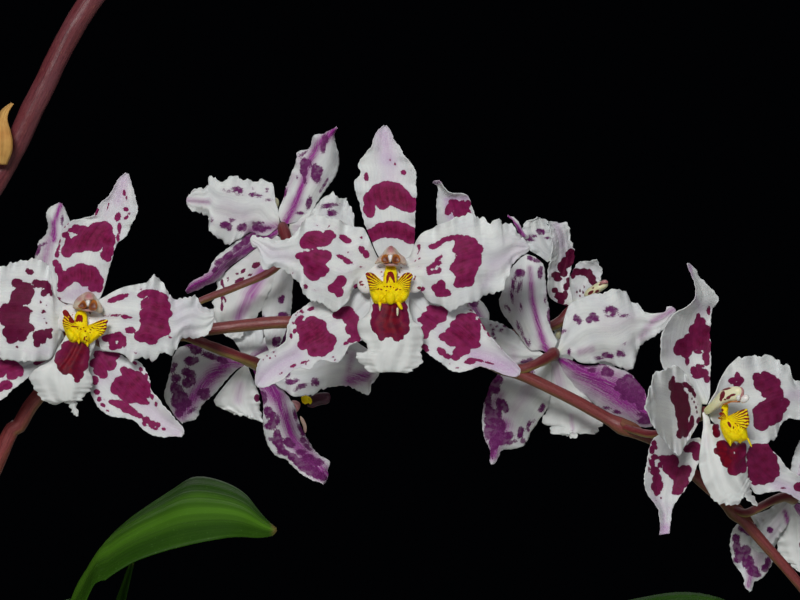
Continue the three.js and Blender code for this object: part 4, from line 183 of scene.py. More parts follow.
 [(279,221),(278,210),(275,201),(274.2,189.2),(272,181.5),(270.4,183),(265.8,180.8),(261,177.2),(258.8,181.5),(253.5,180.8),(249,177),(244.2,178.8),(236.5,177.7),(228.8,177.2),(226.5,180),(217.3,180.8),(214.2,177.7),(208.8,176),(207.8,177.7),(209.6,183),(205.8,187),(195.8,186.5),(191,190),(188,194.6),(186.4,199)],
 [(278,227),(268,236),(261,236),(250.4,232),(247.3,234),(239.6,238.5),(230.4,243.8),(225.8,245.4),(224.2,242.3),(216.5,238.5),(209.6,234.6),(208,229.2),(209,222),(209.6,218.5),(204.2,216),(196.5,212.3),(188.8,207.7),(186.3,203)],
 (1,-2,-4,-5,-4), (1,-2,-4,-5,-4), (0,1.5,2,1,0.3),
 [(236,189,4,2.6,0),(240,190.5,3,2,0),(228,191.5,2.6,1.3,0),(224,190,1.5,1,0),(240,194,3,1,0),(253,194.5,4,2,0),(259,196,3,1.3,0),(253,188,1.2,0.8,0),(267,190,1.6,2,0),(268,200,3,1,0),(225,225,5,3.5,0),(229,227,3,4,0),(232,220,3,1.6,0),(240,228,3.6,3.4,0),(244,227,3,4,0),(212,220,1,2,0),(256,227,4,4,0),(262,229,4,3.5,0),(268,228,4,1.4,0),(258,223,5,1.4,0)],
 [(186,200,208,202,3,0.5),(250,231,278,226,5,0.7),(226,210,250,222,10,0.2)]),
'f2_lateral_sepal_left': ('f2', 1, 'sepal', 0.6, 0.3,
 [(278,228),(268,233),(255,231.5),(247.3,235),(238,241.5),(224.2,250.8),(214.2,258.5),(211,266),(208.8,272.3),(201,277),(192,280.8),(188,286),(186.2,290.8)],
 [(279,234),(270,241),(262.7,245),(253.5,250),(241,259.5),(228.8,268.5),(221,276),(213.5,283.5),(201,288),(193.5,291.4),(187.5,294)],
 (0,-3,-4,-3,-1), (0,-5,-8,-7,-4), (0,2,3,2,0.4),
 [(246,240,4,6,30),(238,247,7,3,-40),(228,256,7,3,-38),(219,262,5,3,-40),(215,270,4,2.4,-50),(252,234,4,3,0),(232,262,8,2,-38),(258,238,4,3,0)],
 [(275,232,240,254,6.5,1),(240,254,210,278,6,1),(210,278,188,290,7,1)]),
'f2_lip': ('f2', 1, 'lip', 0.8, 0.5,
 [(276,236),(268,242),(258,247),(246,256),(234,265),(224,274),(215,283),(213.6,292),(212.6,303),(213.4,312),(215,322),(219,330),(226,336)],
 [(282,240),(281,252),(281,262),(278,270),(274.6,280),(270,291),(264,303),(257,315),(252,323),(247,332),(240,337),(232,339)],
 (0,-6,-9,-9,-8), (0,-4,-7,-8,-8), (0,1.5,2,2,0),
 [(222,283,1.6,4,0),(225,290,2,4,0),(222,298,1.4,4,0),(222,306,1.6,5,0),(225,300,1.3,3,0),(228,278,1,3,0),(243,271,4,2,-35),(237,274,2.6,1.2,0),(256,265,5,3,-25),(240,280,6,2.2,-22),(250,275,3,1.6,-22),(233,284,1,2,0)],
 [(262,272,250,295,7,0.7),(250,295,238,318,5,0.65)]),
'f2_petal_right': ('f2', 1, 'petal', 1.4, 0.3,
 [(290,222),(296,216),(310.4,212),(318,203),(322.7,197),(330.4,193.8),(332.7,191.6),(336.5,197),(339.6,200),(347.3,197.7),(345,200.8),(350.4,206),(354,213.8),(353.5,220.8),(355,227.7),(358,236)],
 [(289,230),(292,238),(300,244),(310,250),(322,254),(334,256),(346,252),(354,246),(359,240)],
 (0,-2,-4,-5,-5), (0,-2,-4,-5,-5), (0,1.5,2,1,0.3),
 [(327,206,6,2.4,-8),(334,204.5,5,1.4,0),(332,213,5,3,0)],
 [(296,228,320,222,5,0.3)]),
'f2_lateral_sepal_right': ('f2', 1, 'sepal', 0.6, 0.3,
 [(285,238),(279,250),(273,264),(268,280),(265,294),(262,308),(262,322),(264,334),(267,346),(271,355)],
 [(289,238),(292,252),(293,266),(293,282),(292,297),(291,310),(289,322),(285,334),(280,346),(275,356)],
 (0,-5,-8,-7,-4), (0,-5,-8,-7,-4), (0,1.5,2,1,0),
 [(281,300,3,3.4,0),(283,297,2,2,0),(283,315,5,3,0),(276,320,4,3,0),(275,342,3,5,0),(278,340,3,3,0),(279,347,2,2.5,0),(264,318,1,2,0)],
 []),
'f4_lateral_sepal_left': ('f4', 1, 'sepal', 0.6, 0.3,
 [(243,360),(226,352),(206,344),(190,343),(178,348),(173,357),(171,366),(168,378),(165.8,386),(164.2,395.4),(166.5,403),(170.4,407.7),(173.5,413.8),(178,420),(183,422.6)],
 [(244,366),(238,368),(230,376),(222.7,385),(216,392),(210.4,398.5),(204,404),(200.5,409),(198.8,415.4),(195,420),(188,421.5),(184,422.8)],
 (0,-3,-5,-4,-2), (0,-4,-7,-7,-4), (0,2,3,2.5,0.5),
 [(190,361,6,4.6,0),(196,360,3,3,0),(176,378,5,4,0),(174,388,4,6,0),(178,391,5,7,0),(176,401,5,7,0),(181,405,6,7,0),(179,413,4,4.5,0),(187,403,5,4,0),(184,397,4,5,0),(186,372,5,4,0),(191,374,5,4,0),(187,383,5,5,0),(193,381,3,4,0),(202,392,6,3.4,-25),(205,396,5,4,-20),(208,391,2,3,0),(196,349,6,5,0),(188,344,5,3,0),(175,365,3,2.5,0),(172,370,3,2.4,0),(210,356,9,3,20),(222,360,7,3,20),(191,411,5,1.6,-35),(203,410,1,2,0)],
 [(228,362,212,376,9,1),(212,376,196,394,9,1),(196,394,180,414,8,1),(243,362,226,362,8,0.9)]),
'f4_lip': ('f4', 1, 'lip', 0.7, 0.4,
 [(244,366),(238,370),(230,379),(221,390),(214.4,398.5),(215,404.6),(221,409),(226,411),(231,413),(235,415),(239.6,412.3),(243,413.5),(247.3,417),(250,418)],
 [(248,366),(250,372),(254,381),(259.6,395.4),(261,405),(261.5,415),(260.4,422.4),(257,419),(252,417.9)],
 (0,-5,-7,-7,-5), (0,-5,-7,-7,-5), (0,2,2.5,2,0),
 [(257,398,3,4,0)],
 [(240,385,238,400,5,0.25)]),
'f4_lateral_sepal_right': ('f4', 1, 'sepal', 0.6, 0.3,
 [(250,364),(254,372),(258,384),(261,394),(263.5,406),(262.7,418.5),(262.7,428),(265.8,441.5),(269.6,449),(276.5,457),(285.8,458.5),(290.4,463),(296.5,471),(302.7,475.4),(312,480.8),(319.6,481.7),(323.5,484)],
 [(253,362),(262,372),(275,384),(285.8,393.8),(295,406),(298,418.5),(302.7,430.8),(308.8,441.5),(318,453.8),(328.8,460),(330.4,463.8),(328,469),(328.8,477),(325.5,483)],
 (0,-5,-7,-5,-1), (0,-8,-12,-10,-5), (0,3,4,3,0.5),
 [(268,411,4.5,4.5,0),(272,415,4,4,0),(268,417,2,1.6,0),(273,422,5,3.6,0),(270,426,6,3.6,0),(278,420,2,5,0),(277,434,3.4,5,0),(279,442,4,7,0),(281,449,4,4,0),(271,439,3,1.4,0),(276,441,4,4,0),(288,442,4,5,0),(291,445,4,3,0),(280,453,3,1.4,0),(286,453,4,3,0),(293,457,5,4,0),(298,462,5,4,0),(305,467,7,5,0),(312,471,7,5,0),(318,475,6,4,0),(323,478,4,3,0),(301,452,5,3,0),(308,458,7,4,0),(316,462,8,4,0),(256,392,3,6,0),(262,398,5,7,0),(300,428,2,4,-25),(303,440,3,3,0),(307,446,3,2.4,30),(303,433,2.4,3,0),(309,441,1.5,3,-35),(295,415,1.6,6,-15),(311,450,2,1,0)],
 [(262,380,278,398,10,1),(278,398,286,418,7,1),(286,418,293,440,7,1),(293,440,306,456,8,1),(306,456,324,474,9,1),(250,366,262,380,6,1)]),
'f4_petal_right': ('f4', 1, 'petal', 1.2, 0.3,
 [(252,358),(268,350),(290,346),(312,342),(334,340),(354,342),(368,348),(378,356),(381,366)],
 [(254,366),(268,378),(280,388),(285.8,391),(290.4,395.4),(296.5,397),(308.8,395.4),(319.6,391.5),(332,387.7),(341,385),(350.4,386),(361,393),(366.5,395.7),(370.4,392.3),(369.6,385),(376.5,381.5),(380,374),(381.6,369)],
 (0,-5,-6,-4,-2), (0,-5,-6,-4,-2), (0,1.5,2,1,0.3),
 [(290,382,5,3,0),(296,380.5,3,2,0),(302,386,5,2.4,-15),(297,389,3,1.4,-20),(315,379.5,3,1.8,0),(313,383,2,3,0),(317,383.5,2.4,2.6,0),(284,374,6,4,0),(340,352,7,3,0)],
 [(350,380,366,376,7,0.9),(366,376,378,360,5,0.4),(352,355,346,385,4,0.45)]),
'f4_petal_left': ('f4', 1, 'petal', 1, 0.3,
 [(243,356),(240,350),(235,342),(228,334),(218,328),(206,322),(196,318),(188,317),(183,318)],
 [(247,356),(256,352),(262,344),(264,334),(262,326),(254,318),(240,312),(222,309),(204,310),(190,313),(184,316)],
 (0,-9,-14,-17,-18), (0,-9,-14,-17,-18), (0,1.5,2,1,0.3),
 [(205,322,6,4,0),(222,320,5,4,0)],
 []),
'f4_dorsal_sepal': ('f4', 1, 'sepal', 0.6, 0.3,
 [(249,356),(254,348),(262,338),(272,330),(284,322),(296,316),(308,311),(318,308)],
 [(252,360),(262,358),(276,354),(290,347),(302,338),(311,328),(317,318),(320,311)],
 (0,-8,-13,-16,-17), (0,-8,-13,-16,-17), (0,1.5,2,1.5,0.3),
 [(280,340,6,5,0),(294,334,5,4,0)],
 [(252,358,300,326,4,0.8)]),
'f5_dorsal_sepal': ('f5', 1, 'sepal', 0.7, 0.3,
 [(548,353),(541,350),(535,350.5),(530,350.7),(523,343),(517.6,333),(510.5,323.4),(503.5,314.6),(500,307.5),(499,300.5),(502.6,291.7),(503.5,284.6),(508,275.8),(511.4,267),(517.6,260.8),(522,257),(526,254.4)],
 [(553,351),(556,345),(558,341),(555,337),(552.8,332),(549.5,321.6),(549.3,309.3),(547.6,298.7),(545.8,284.6),(545,274),(544,265),(539.6,260),(533,256),(528,254.4)],
 (1,-2,-4,-6,-6), (1,-1,-3,-5,-6), (0,2,3.5,3,0.5),
 [(513,285,1.4,6,-8),(518,288,1,5,0),(521,284,1,6,0),(512,297,1.2,6,-10),(521,307,1,4,0),(506,306,1.3,2,0),(509,309,1,2.6,-20),(540,273,2.4,5,0),(541,268,1.6,2,0),(530,258,3,2,20),(537,260.5,4,2,10),(518,325,1.2,4,-10),(522,333,1,5,-15),(526,341,1,4,-25),(529.5,343,0.8,3,0),(549.5,315,2.4,6,0),(551,323,1.6,6,-15),(545,300,0.8,3,0),(515,278,1,3,0),(520,273,5,4,0),(547.5,290,0.8,6,0)],
 [(546,350,541,335,4,1),(541,335,536,316,3.4,1),(536,316,532,298,3.4,1),(532,298,531,283,3.2,0.9),(531,283,530,268,2.6,0.7),(548,353,545,347,5,1),(512,290,520,310,5,0.2)]),
'f5_petal_right': ('f5', 1, 'petal', 1.6, 0.3,
 [(557,350),(559,345),(560.8,337.5),(563.4,323.4),(566,311),(570.5,302),(577.5,300.5),(582.8,296.5),(593.4,294.3),(605.7,293.4),(609.3,290.8),(616.3,289),(626,290),(629.5,298),(631.3,302.2),(637.5,300.5),(640,305.8),(644.5,312.8),(655,315),(663.9,310.2),(669.2,305.8),(674,307.6),(675.8,309.5)],
 [(558,356),(566,354),(572.2,357),(579.3,363),(593.4,364),(604,361.3),(611,364),(619.8,366.6),(629.5,369.2),(634,364),(636.6,355),(640,343),(646.3,339.3),(657,335.7),(662,332.2),(666,328),(670,321),(675.4,312.5)],
 (1,-2,-4,-5,-4), (1,-2,-4,-5,-4), (0,2,2.5,1.5,0.3),
 [(576,318,3,3.4,0),(579,321,3,3.4,0),(589,320,3.4,3.4,0),(593,316,4,3.2,0),(596,319,3.4,3,0),(610,309,5,3.2,0),(615,311,4,2.6,0),(606,311,3,2,0),(612,316,5,1.4,0),(625,316,5,1.6,0),(564,330.5,3,1.5,0),(561,333,1.6,1,0),(606,355,4,2.6,0),(611,356,3,2.4,0),(619,354,3,3,0),(623,354.5,3,2.4,0),(598.7,358,4,1.6,0),(624,345,4,1.2,-30),(569,352,1.6,3,0)],
 [(674,309,652,322,3.6,0.6),(652,322,641,337,4,0.35),(580,352,592,349,3.4,0.5),(605,325,630,320,9,0.15)]),
'f5_lateral_sepal_right': ('f5', 1, 'sepal', 0.6, 0.3,
 [(558,357),(564,358),(572,360),(579.3,365),(593.4,366),(604,363.6),(611,366),(620,369),(629.5,373),(639.2,382.6),(645.4,392),(647,402),(652,411),(659,417),(663,420.6)],
 [(555,361),(560,370),(567,380),(577,391),(589,401),(601,409),(613,417),(623,422),(632,425.5),(639.2,427.8),(648,427.5),(657,425),(662,422.2)],
 (0,-4,-5,-3,-1), (0,-7,-11,-10,-3), (0,2,3.5,3,0.5),
 [(569,356,3,4,0),(575,361,5,2.6,30),(585,365.5,6,1.6,0),(600,363.6,9,1.6,0),(592,370,4,2.4,0),(606,370,4,4,0),(610,373,4,4,0),(604,373,3,3,0),(622,383,6,5,0),(628,378,5,4,0),(633,386,7,8,0),(639,394,6,9,0),(625,390,6,5,0),(618,388,4,3,0),(633,397,7,6,0),(641,404,5,6,0),(624,397,4,3,0),(607,408,4,1.4,12),(617,412,4,1.6,12),(641,414,4,1.6,0),(650,418,8,4,15),(645,421,7,3.4,0),(657,420,4,2,0),(631,372,6,1.6,35),(641,384,4,1.6,60)],
 [(562,361,580,370,7,1),(580,370,600,382,13,1),(600,382,622,397,17,1),(622,397,645,411,16,1),(645,411,660,420,10,1),(590,375,640,400,16,1)]),
'f5_lip': ('f5', 1, 'lip', 0.8, 0.5,
 [(551,361),(546,372),(542,386),(542,398),(548.4,408),(542.3,418),(545.8,426.5),(550.2,424),(551.5,430),(553,434.4),(560,434.6),(565,437),(570.5,438.8),(575,438.5)],
 [(558,362),(566,374),(577,387),(590,400),(599,412),(603,420),(604,426.5),(600,427),(598.7,433.4),(590,433.6),(582.8,433.6),(576,427),(575.2,428.5),(578.6,434),(577,438)],
 (0,-7,-10,-9,-7), (0,-7,-10,-9,-7), (0,2,2.5,2,0),
 [(566,392,1,3,0)],
 [(556,366,560,385,5,0.3),(572,415,573,432,1.6,0.4)]),
'f5_lateral_sepal_left': ('f5', 1, 'sepal', 0.6, 0.3,
 [(548,360),(534,362),(518,366),(503,370),(496.4,375.5),(491,383.3),(487.6,392),(484,402.7),(482.7,415),(482.3,427.4),(484,439.7),(488.5,446.8),(490.3,453.8),(488.8,460),(490.5,464)],
 [(551,366),(551,382),(550,399),(547.6,408),(542.3,416.8),(535,425.6),(530,432.7),(528,441.5),(523,447.5),(512.3,449.6),(501,449.4),(498,457.4),(496.4,462.6),(493,464.8)],
 (0,-4,-7,-6,-3), (0,-6,-10,-9,-3), (0,2,3,2.5,0.4),
 [(496,380,7,6,0),(490,389,4,6,0),(495,389,5,5,0),(488,400,3.4,7,0),(489,412,4,7,0),(496,414,6,5,0),(495,423,9,7,0),(489,431,5,8,0),(497,434,8,7,0),(494,443,5,7,0),(503,441,7,4,-20),(508,436,6,4,-25),(501,426,5,6,0),(486,420,2,4,0),(492,453,1.6,6,0),(499,402,3.6,4,0),(503,404,4,4.6,0),(506,409,3,4,0),(500,408,4,3,0),(521,430,3.2,3.2,0),(520,435,3,3,0),(529,424,2,3.6,30),(528,429,1.4,2.4,0),(534,421,1,2,30),(523,441,2.4,2.4,0),(510,442.6,4,1.8,-15),(515,441,2,1.4,0),(541,410,3,2.4,0),(543,406,2.4,2.4,0),(486,435,1.4,4,0),(510,372,10,4,0),(525,372,9,4,0)],
 [(493,455,496,440,6,1),(496,440,505,425,8,0.9),(505,425,530,385,7,0.25),(500,395,488,410,5,0.6)]),
'f5_petal_left': ('f5', 1, 'petal', 1.2, 0.3,
 [(547,356),(538,350),(528,344),(518,336),(508,327),(497,323),(486,319),(474,318),(462,322),(454,328)],
 [(548,360),(541,357),(532,361),(521,365),(508,367),(494,367),(480,364),(468,357),(458,348),(453,339)],
 (0,-4,-6,-7,-7), (0,-4,-6,-7,-7), (0,2,2.5,1.5,0.3),
 [(525,362,4,2.4,0),(530,360,3,2,0),(493,329,1.4,1,0),(493,334,1.6,2.4,0),(495,338,1.4,1.4,0),(501,330,2,1.4,0),(506,326,2.6,1.4,0),(510,326,2,1.3,0),(491,325,1,0.8,0),(497,326,1,1,0)],
 [(512,350,516,362,4,0.2)]),
'f6_petal_left': ('f6', 0, 'petal', 1, 0.3,
 [(567,306),(556,302),(549,296),(547.6,284.6),(547.6,270.5),(551,258),(553,244),(550,230),(546,224),(548.4,221.6)],
 [(573,304),(572,296),(570,288),(569,276),(572,266),(575.8,258),(574.9,250),(573,243),(570.5,235.3),(568.4,226.4),(566.5,223),(558,221.6),(550,221.2)],
 (0,3,5,5,3), (0,-2,-3,-3,-1), (0,-1,-1.5,-1,0),
 [(571,253,4,5,0),(573,260,3,6,0),(567,262,6,6,0),(562,267,5,6,0),(564,273,4,4,0),(556,275,5,3.6,0),(558,279,4,2.6,0),(571,256,4,5,0),(568,254,3,3,0),(555,290.5,3.2,3,0),(569,282,3,5,0),(566,287,3,4,0),(560,296,6,4,0),(561,301,4,5,0),(565,295,3,5,0),(566,306,2.4,2,0)],
 [(557,226,562,245,5,0.5),(556,240,563,255,5,0.25)]),
'f6_dorsal_sepal': ('f6', 0, 'sepal', 0.8, 0.3,
 [(571,302),(570,294),(569,284),(572,272),(577,263),(583,261),(589,262),(592,260.5),(597,260)],
 [(580,302),(588,298),(596,291),(599,284),(600.5,277),(602.5,273),(602,268),(598,267),(599,262)],
 (-2,-3,-4,-4,-3), (-3,-5,-6,-6,-5), (0,-1,-1,-0.6,0),
 [(577,272,5,3.6,0),(584,272,5,4,0),(589,274,4,5,0),(592,279,4,5,0),(595,285,3,5,0),(573,275,2.6,4,0),(580,290,0.9,2,0),(577,292,0.8,1.6,0),(583,292,0.8,1.6,0),(580,296,0.8,1.4,0),(576,287,0.8,1.4,0),(584,287,0.8,1.5,0)],
 []),
'f6_petal_right': ('f6', 0, 'petal', 0.8, 0.3,
 [(582,304),(594,306),(606,306),(618,308),(628,314),(636,322)],
 [(580,310),(590,322),(602,332),(615,336),(628,334),(637,326)],
 (-2,-4,-7,-10,-12), (-2,-5,-8,-11,-13), (0,0,-1,-0.6,0),
 [(608,320,7,6,0),(618,320,5,5,0)],
 []),
'f6_lateral_sepal_left': ('f6', 0, 'sepal', 0.5, 0.3,
 [(567,310),(560,318),(555,330),(553,344),(555,358),(560,370)],
 [(574,312),(578,324),(579,338),(577,352),(571,364),(563,372)],
 (0,2,3,3,2), (0,-1,-2,-2,-1), (0,-1,-1,-0.6,0),
 [(567,330,6,5,0),(566,345,6,6,0)],
 []),
'f6_lateral_sepal_right': ('f6', 0, 'sepal', 0.5, 0.3,
 [(578,312),(588,320),(597,332),(605,346),(612,360),(616,372)],
 [(573,314),(577,328),(584,342),(592,355),(602,366),(613,374)],
 (-2,-3,-5,-7,-8), (-1,-2,-3,-5,-7), (0,-1,-1,-0.6,0),
 [(590,336,6,6,0),(598,350,6,6,0)],
 []),
'f6_lip': ('f6', 0, 'lip', 0.6, 0.3,
 [(571,311),(568,322),(567,336),(572,350),(580,358)],
 [(579,311),(588,320),(596,334),(597,348),(586,359)],
 (0.5,5,6,5,4), (0.5,3,3,2,1), (0.5,2,2,1,0),
 [(581,326,8,8,0),(581,334,8,6,0)],
 []),
'f6_petal_back': ('f6', 1, 'petal', 0.8, 0.3,
 [(548,262),(540,256),(531,251.6),(524,244),(522.6,234),(523,226.4),(526.4,221),(531.7,221.5),(537.9,217.4)],
 [(558,257),(558.6,247),(558,239),(556,231),(553.3,226.4),(549.5,221),(545,219),(539,217.4)],
 (5,7,8,8,6), (1.5,1.5,1.5,1.5,3), (0,0.8,1,0.6,0),
 [(540,231.5,3,2.8,0),(543,232,2,2.4,0),(538,231,2,2,0),(528,238,4,2.4,0),(534,236,3,1.4,0),(531,240,2.4,1,0),(547,238,2,1,0)],
 []),
'f6_tip_left': ('f6', 1, 'sepal', 0.3, 0.3,
 [(533,244),(526,240),(519,236),(515.5,227),(511.5,219.5),(507.5,216.5)],
 [(538,238),(528,236),(523,231),(519,222.5),(514,217),(507.5,215)],
 (2,8,9,9,9), (2,8,9,9,9), (0,0.5,0.5,0.3,0),
 [(519,232,1.6,4,-20)],
 [(524,236,517,226,2.4,1),(517,226,508,216,2,1)]),
'f8_lateral_sepal_left': ('f8', 1, 'sepal', 0.6, 0.3,
 [(786,502),(772,508),(756,514),(742,520),(734,527),(731,534),(729.8,549),(733,562.5),(742,573.6),(744.6,580),(743,585),(746,589),(749.5,591.4)],
 [(788,508),(783,522),(778,538),(773.5,553),(772,564.7),(766.6,573.6),(758,581),(753.6,581),(752.6,586),(752,591)],
 (0,-4,-6,-6,-2), (0,-7,-10,-9,-3), (0,2,3,2,0.4),
 [(736,538,4,4,0),(737,547,4,6,0),(741,555,6,6,0),(737,560,4,3,0),(748,562,6,7,0),(753,571,6,5,0),(746,550,5,5,0),(757,575,4,2.4,0),(765,568,3.6,4,0),(768,562,3,5,0),(752,530,9,6,0),(744,528,6,4,0),(768,535,5,8,0)],
 [(748,586,752,572,3,0.8),(752,572,760,556,6,0.4)]),
'f8_lip': ('f8', 1, 'lip', 0.7, 0.4,
 [(792,503),(787,514),(783,526),(778,538),(776.5,547),(780,555),(786,562.5),(791,563),(795,569),(800,572)],
 [(797,503),(806,514),(816,528),(824,542),(828,555),(824,566),(814,571),(804,572.6)],
 (0,-5,-8,-8,-6), (0,-5,-8,-8,-6), (0,2,2.5,2,0),
 [(806,545,7,6,0)],
 []),
'f8_petal_left': ('f8', 1, 'petal', 0.9, 0.3,
 [(789,497),(782,500),(774,505),(766.6,512),(760,519),(755.5,526),(752,534),(751,543)],
 [(791,503),(790,512),(789,523),(780,536),(773,545),(766,551),(758,552),(752,548)],
 (1,-1,-3,-4,-4), (1,-2,-4,-5,-5), (0,1,1.5,1,0),
 [(770,530,3,3,0)],
 [(785,512,788,522,3,0.9),(786,508,772,535,5,0.2)]),
'f8_lateral_sepal_right': ('f8', 1, 'sepal', 0.6, 0.3,
 [(797,503),(808,508),(820,517),(831,529),(840,543),(846,556),(849,566)],
 [(794,507),(800,520),(808,534),(818,547),(830,558),(842,565),(847,568)],
 (0,-4,-6,-6,-4), (0,-5,-8,-7,-4), (0,2,2.5,2,0.4),
 [(812,524,6,6,0),(824,538,7,6,0),(833,550,5,4,0)],
 [(797,506,846,566,6,0.9)]),
'f8_petal_right': ('f8', 1, 'petal', 1.3, 0.3,
 [(797,496),(810,484),(826,474),(844,467),(862,466),(878,470),(890,478)],
 [(797,502),(812,508),(828,512),(846,512),(862,508),(876,500),(888,490)],
 (0,-4,-6,-6,-4), (0,-4,-6,-6,-4), (0,2,2.5,1.5,0.3),
 [(842,482,7,5,0),(848,495,7,6,0),(830,492,4,3,0)],
 [(884,484,862,488,5,0.5)]),
'f8_dorsal_sepal': ('f8', 1, 'sepal', 0.6, 0.3,
 [(792,496),(790,484),(790,472),(791,460),(796,447),(804,436),(813,428),(822,422)],
 [(797,496),(804,488),(812,478),(820,466),(825,454),(827,442),(827,432),(825,424)],
 (0,-4,-7,-8,-8), (0,-4,-7,-8,-8), (0,2,3,2.5,0.4),
 [(806,466,6,5,0),(812,454,6,6,0),(800,478,4,3,0)],
 [(795,494,806,468,4,1),(806,468,822,426,4,0.9)]),
'f0_dorsal_sepal': ('f0', 1, 'sepal', 0.6, 0.3,
 [(57,300),(48,288),(40,275),(34,262),(35,254),(37.7,248),(36.8,242.2),(44.9,236),(48,227),(45.8,217),(47,211),(50.3,207.2),(59,202.4)],
 [(67,300),(72,282),(73,262),(71,245),(72,230),(70,219.8),(65.5,209.9),(62.4,203.6)],
 (0,-2,-4,-5,-5), (0,-2,-4,-5,-5), (0,1.5,2.5,2.5,0.4),
 [(38,250,2.4,6,20),(62,220,1.2,4,0),(44,244,3,1.4,-30)],
 [(61,204,54,222,2.6,1),(54,222,54,240,3.4,1),(50,240,44,262,5,0.6),(57,215,52,235,3,0.9)]),
'f0_petal_left': ('f0', 1, 'petal', 0.9, 0.3,
 [(56,303),(46,292),(36,286),(24,284),(14,290),(8,300)],
 [(57,310),(50,322),(40,332),(28,336),(16,332),(9,322),(7,310)],
 (0,-5,-8,-10,-11), (0,-5,-8,-10,-11), (0,1.5,2,1,0.3),
 [(30,300,6,5,0),(34,318,5,4,0)],
 []),
'f0_petal_right': ('f0', 1, 'petal', 0.9, 0.3,
 [(68,303),(82,297),(98,300),(112,306),(124,314),(132,322)],
 [(68,311),(78,324),(92,334),(108,338),(122,336),(131,329)],
 (0,-5,-8,-10,-11), (0,-5,-8,-10,-11), (0,1.5,2,1,0.3),
 [(96,312,6,5,0),(100,326,5,4,0)],
 []),
'f0_lateral_sepal_left': ('f0', 1, 'sepal', 0.5, 0.3,
 [(56,312),(42,322),(30,338),(22,356),(22,372)],
 [(61,316),(56,334),(46,350),(36,364),(26,376)],
 (0,-6,-9,-10,-9), (0,-7,-11,-11,-9), (0,1.5,2,1.5,0.3),
 [(38,338,6,5,0)],
 [(58,314,26,370,4,0.9)]),
'f0_lateral_sepal_right': ('f0', 1, 'sepal', 0.5, 0.3,
 [(64,316),(72,334),(84,350),(98,366),(112,380),(120,388)],
 [(68,312),(84,322),(98,336),(112,352),(122,370),(122,384)],
 (0,-7,-11,-11,-9), (0,-6,-9,-10,-9), (0,1.5,2,1.5,0.3),
 [(92,340,6,5,0)],
 [(66,314,120,384,4,0.9)]),
'f0_lip': ('f0', 1, 'lip', 0.6, 0.3,
 [(59,316),(54,334),(50,352),(52,368),(60,380)],
 [(65,316),(74,332),(84,348),(88,364),(82,376),(70,383)],
 (0,-8,-13,-14,-12), (0,-8,-13,-14,-12), (0,2,2,1.5,0),
 [(68,345,8,8,0)],
 []),
'f9_dorsal_sepal': ('f9', 0, 'sepal', 0.6, 0.3,
 [(447,264),(441,248),(438,232),(438,222),(435.8,206.5),(437,195),(439,187.5),(436,184.6),(432.3,183)],
 [(457,264),(468,248),(477,230),(476.5,219),(471.7,206.5),(469,197.5),(465,194.6),(461,193.6),(450,194),(444,187),(440,180.6),(436,181.6)],
 (0,-2,-3,-3,-2), (0,-1,-1,0,1), (0,-1,-2,-2,0),
 [(449,209,4,7,20),(455,205,5,6,20),(463,208,5,8,0),(459,214,7,5,0),(466,213,5,6,0),(452,202,4,3,0),(468,204,3,5,0)],
 [(434,183,440,182,2,1),(446,200,466,198,3,0.8),(447,204,452,218,4,0.8)]),
'f9_petal_left': ('f9', 1, 'petal', 0.8, 0.3,
 [(446,266),(434,256),(420,250),(408,250),(400,256)],
 [(447,272),(438,284),(424,290),(410,286),(401,274),(398,264)],
 (0,-9,-16,-20,-22), (0,-9,-16,-20,-22), (0,1.5,2,1,0.3),
 [(424,268,6,5,0)],
 []),
'f9_petal_right': ('f9', 1, 'petal', 0.8, 0.3,
 [(458,266),(470,254),(482,248),(494,250),(502,258)],
 [(458,272),(466,284),(478,290),(492,286),(501,274),(504,266)],
 (0,-9,-16,-20,-22), (0,-9,-16,-20,-22), (0,1.5,2,1,0.3),
 [(480,268,6,5,0)],
 []),
'f9_lateral_sepal_left': ('f9', 1, 'sepal', 0.5, 0.3,
 [(448,274),(440,286),(432,300),(428,316),(430,330)],
 [(453,276),(454,292),(450,308),(443,322),(434,332)],
 (0,-10,-17,-21,-22), (0,-10,-17,-21,-22), (0,1.5,2,1.5,0.3),
 [(441,304,5,5,0)],
 [(450,276,432,328,4,0.9)]),
'f9_lateral_sepal_right': ('f9', 1, 'sepal', 0.5, 0.3,
 [(452,276),(457,292),(464,308),(474,322),(484,332)],
 [(457,274),(468,286),(480,298),(490,312),(489,328)],
 (0,-10,-17,-21,-22), (0,-10,-17,-21,-22), (0,1.5,2,1.5,0.3),
 [(474,302,5,5,0)],
 [(455,276,486,328,4,0.9)]),
'f9_lip': ('f9', 1, 'lip', 0.5, 0.3,
 [(450,276),(446,292),(443,308),(446,322),(453,332)],
 [(456,276),(462,290),(468,304),(468,318),(460,330)],
 (0,-8,-14,-17,-17), (0,-8,-14,-17,-17), (0,1.5,2,1.5,0.3),
 [(456,306,6,7,0)],
 []),
}


# ------------------------------------------------------------------ small numeric helpers
def seed_of(text):
    return sum((i + 1) * ord(ch) for i, ch in enumerate(text)) % 99991


def chaikin(P, times, closed=False):
    P = np.asarray(P, float)
    for _ in range(times):
        Q = np.roll(P, -1, 0) if closed else P[1:]
        A = P if closed else P[:-1]
        new = np.empty((len(A) * 2, P.shape[1]))
        new[0::2] = A * .78 + Q * .22
        new[1::2] = A * .22 + Q * .78
        P = new if closed else np.vstack([P[:1], new[1:-1] if len(new) > 2 else new, P[-1:]])
    return P


def along(P, n, closed=False):
    P = np.asarray(P, float)
    if closed:
        P = np.vstack([P, P[:1]])
    d = np.r_[0, np.cumsum(np.sqrt((np.diff(P, axis=0) ** 2).sum(1)))]
    s = np.linspace(0, d[-1], n + 1)[:-1] if closed else np.linspace(0, d[-1], n)
    return np.stack([np.interp(s, d, P[:, k]) for k in range(P.shape[1])], -1)


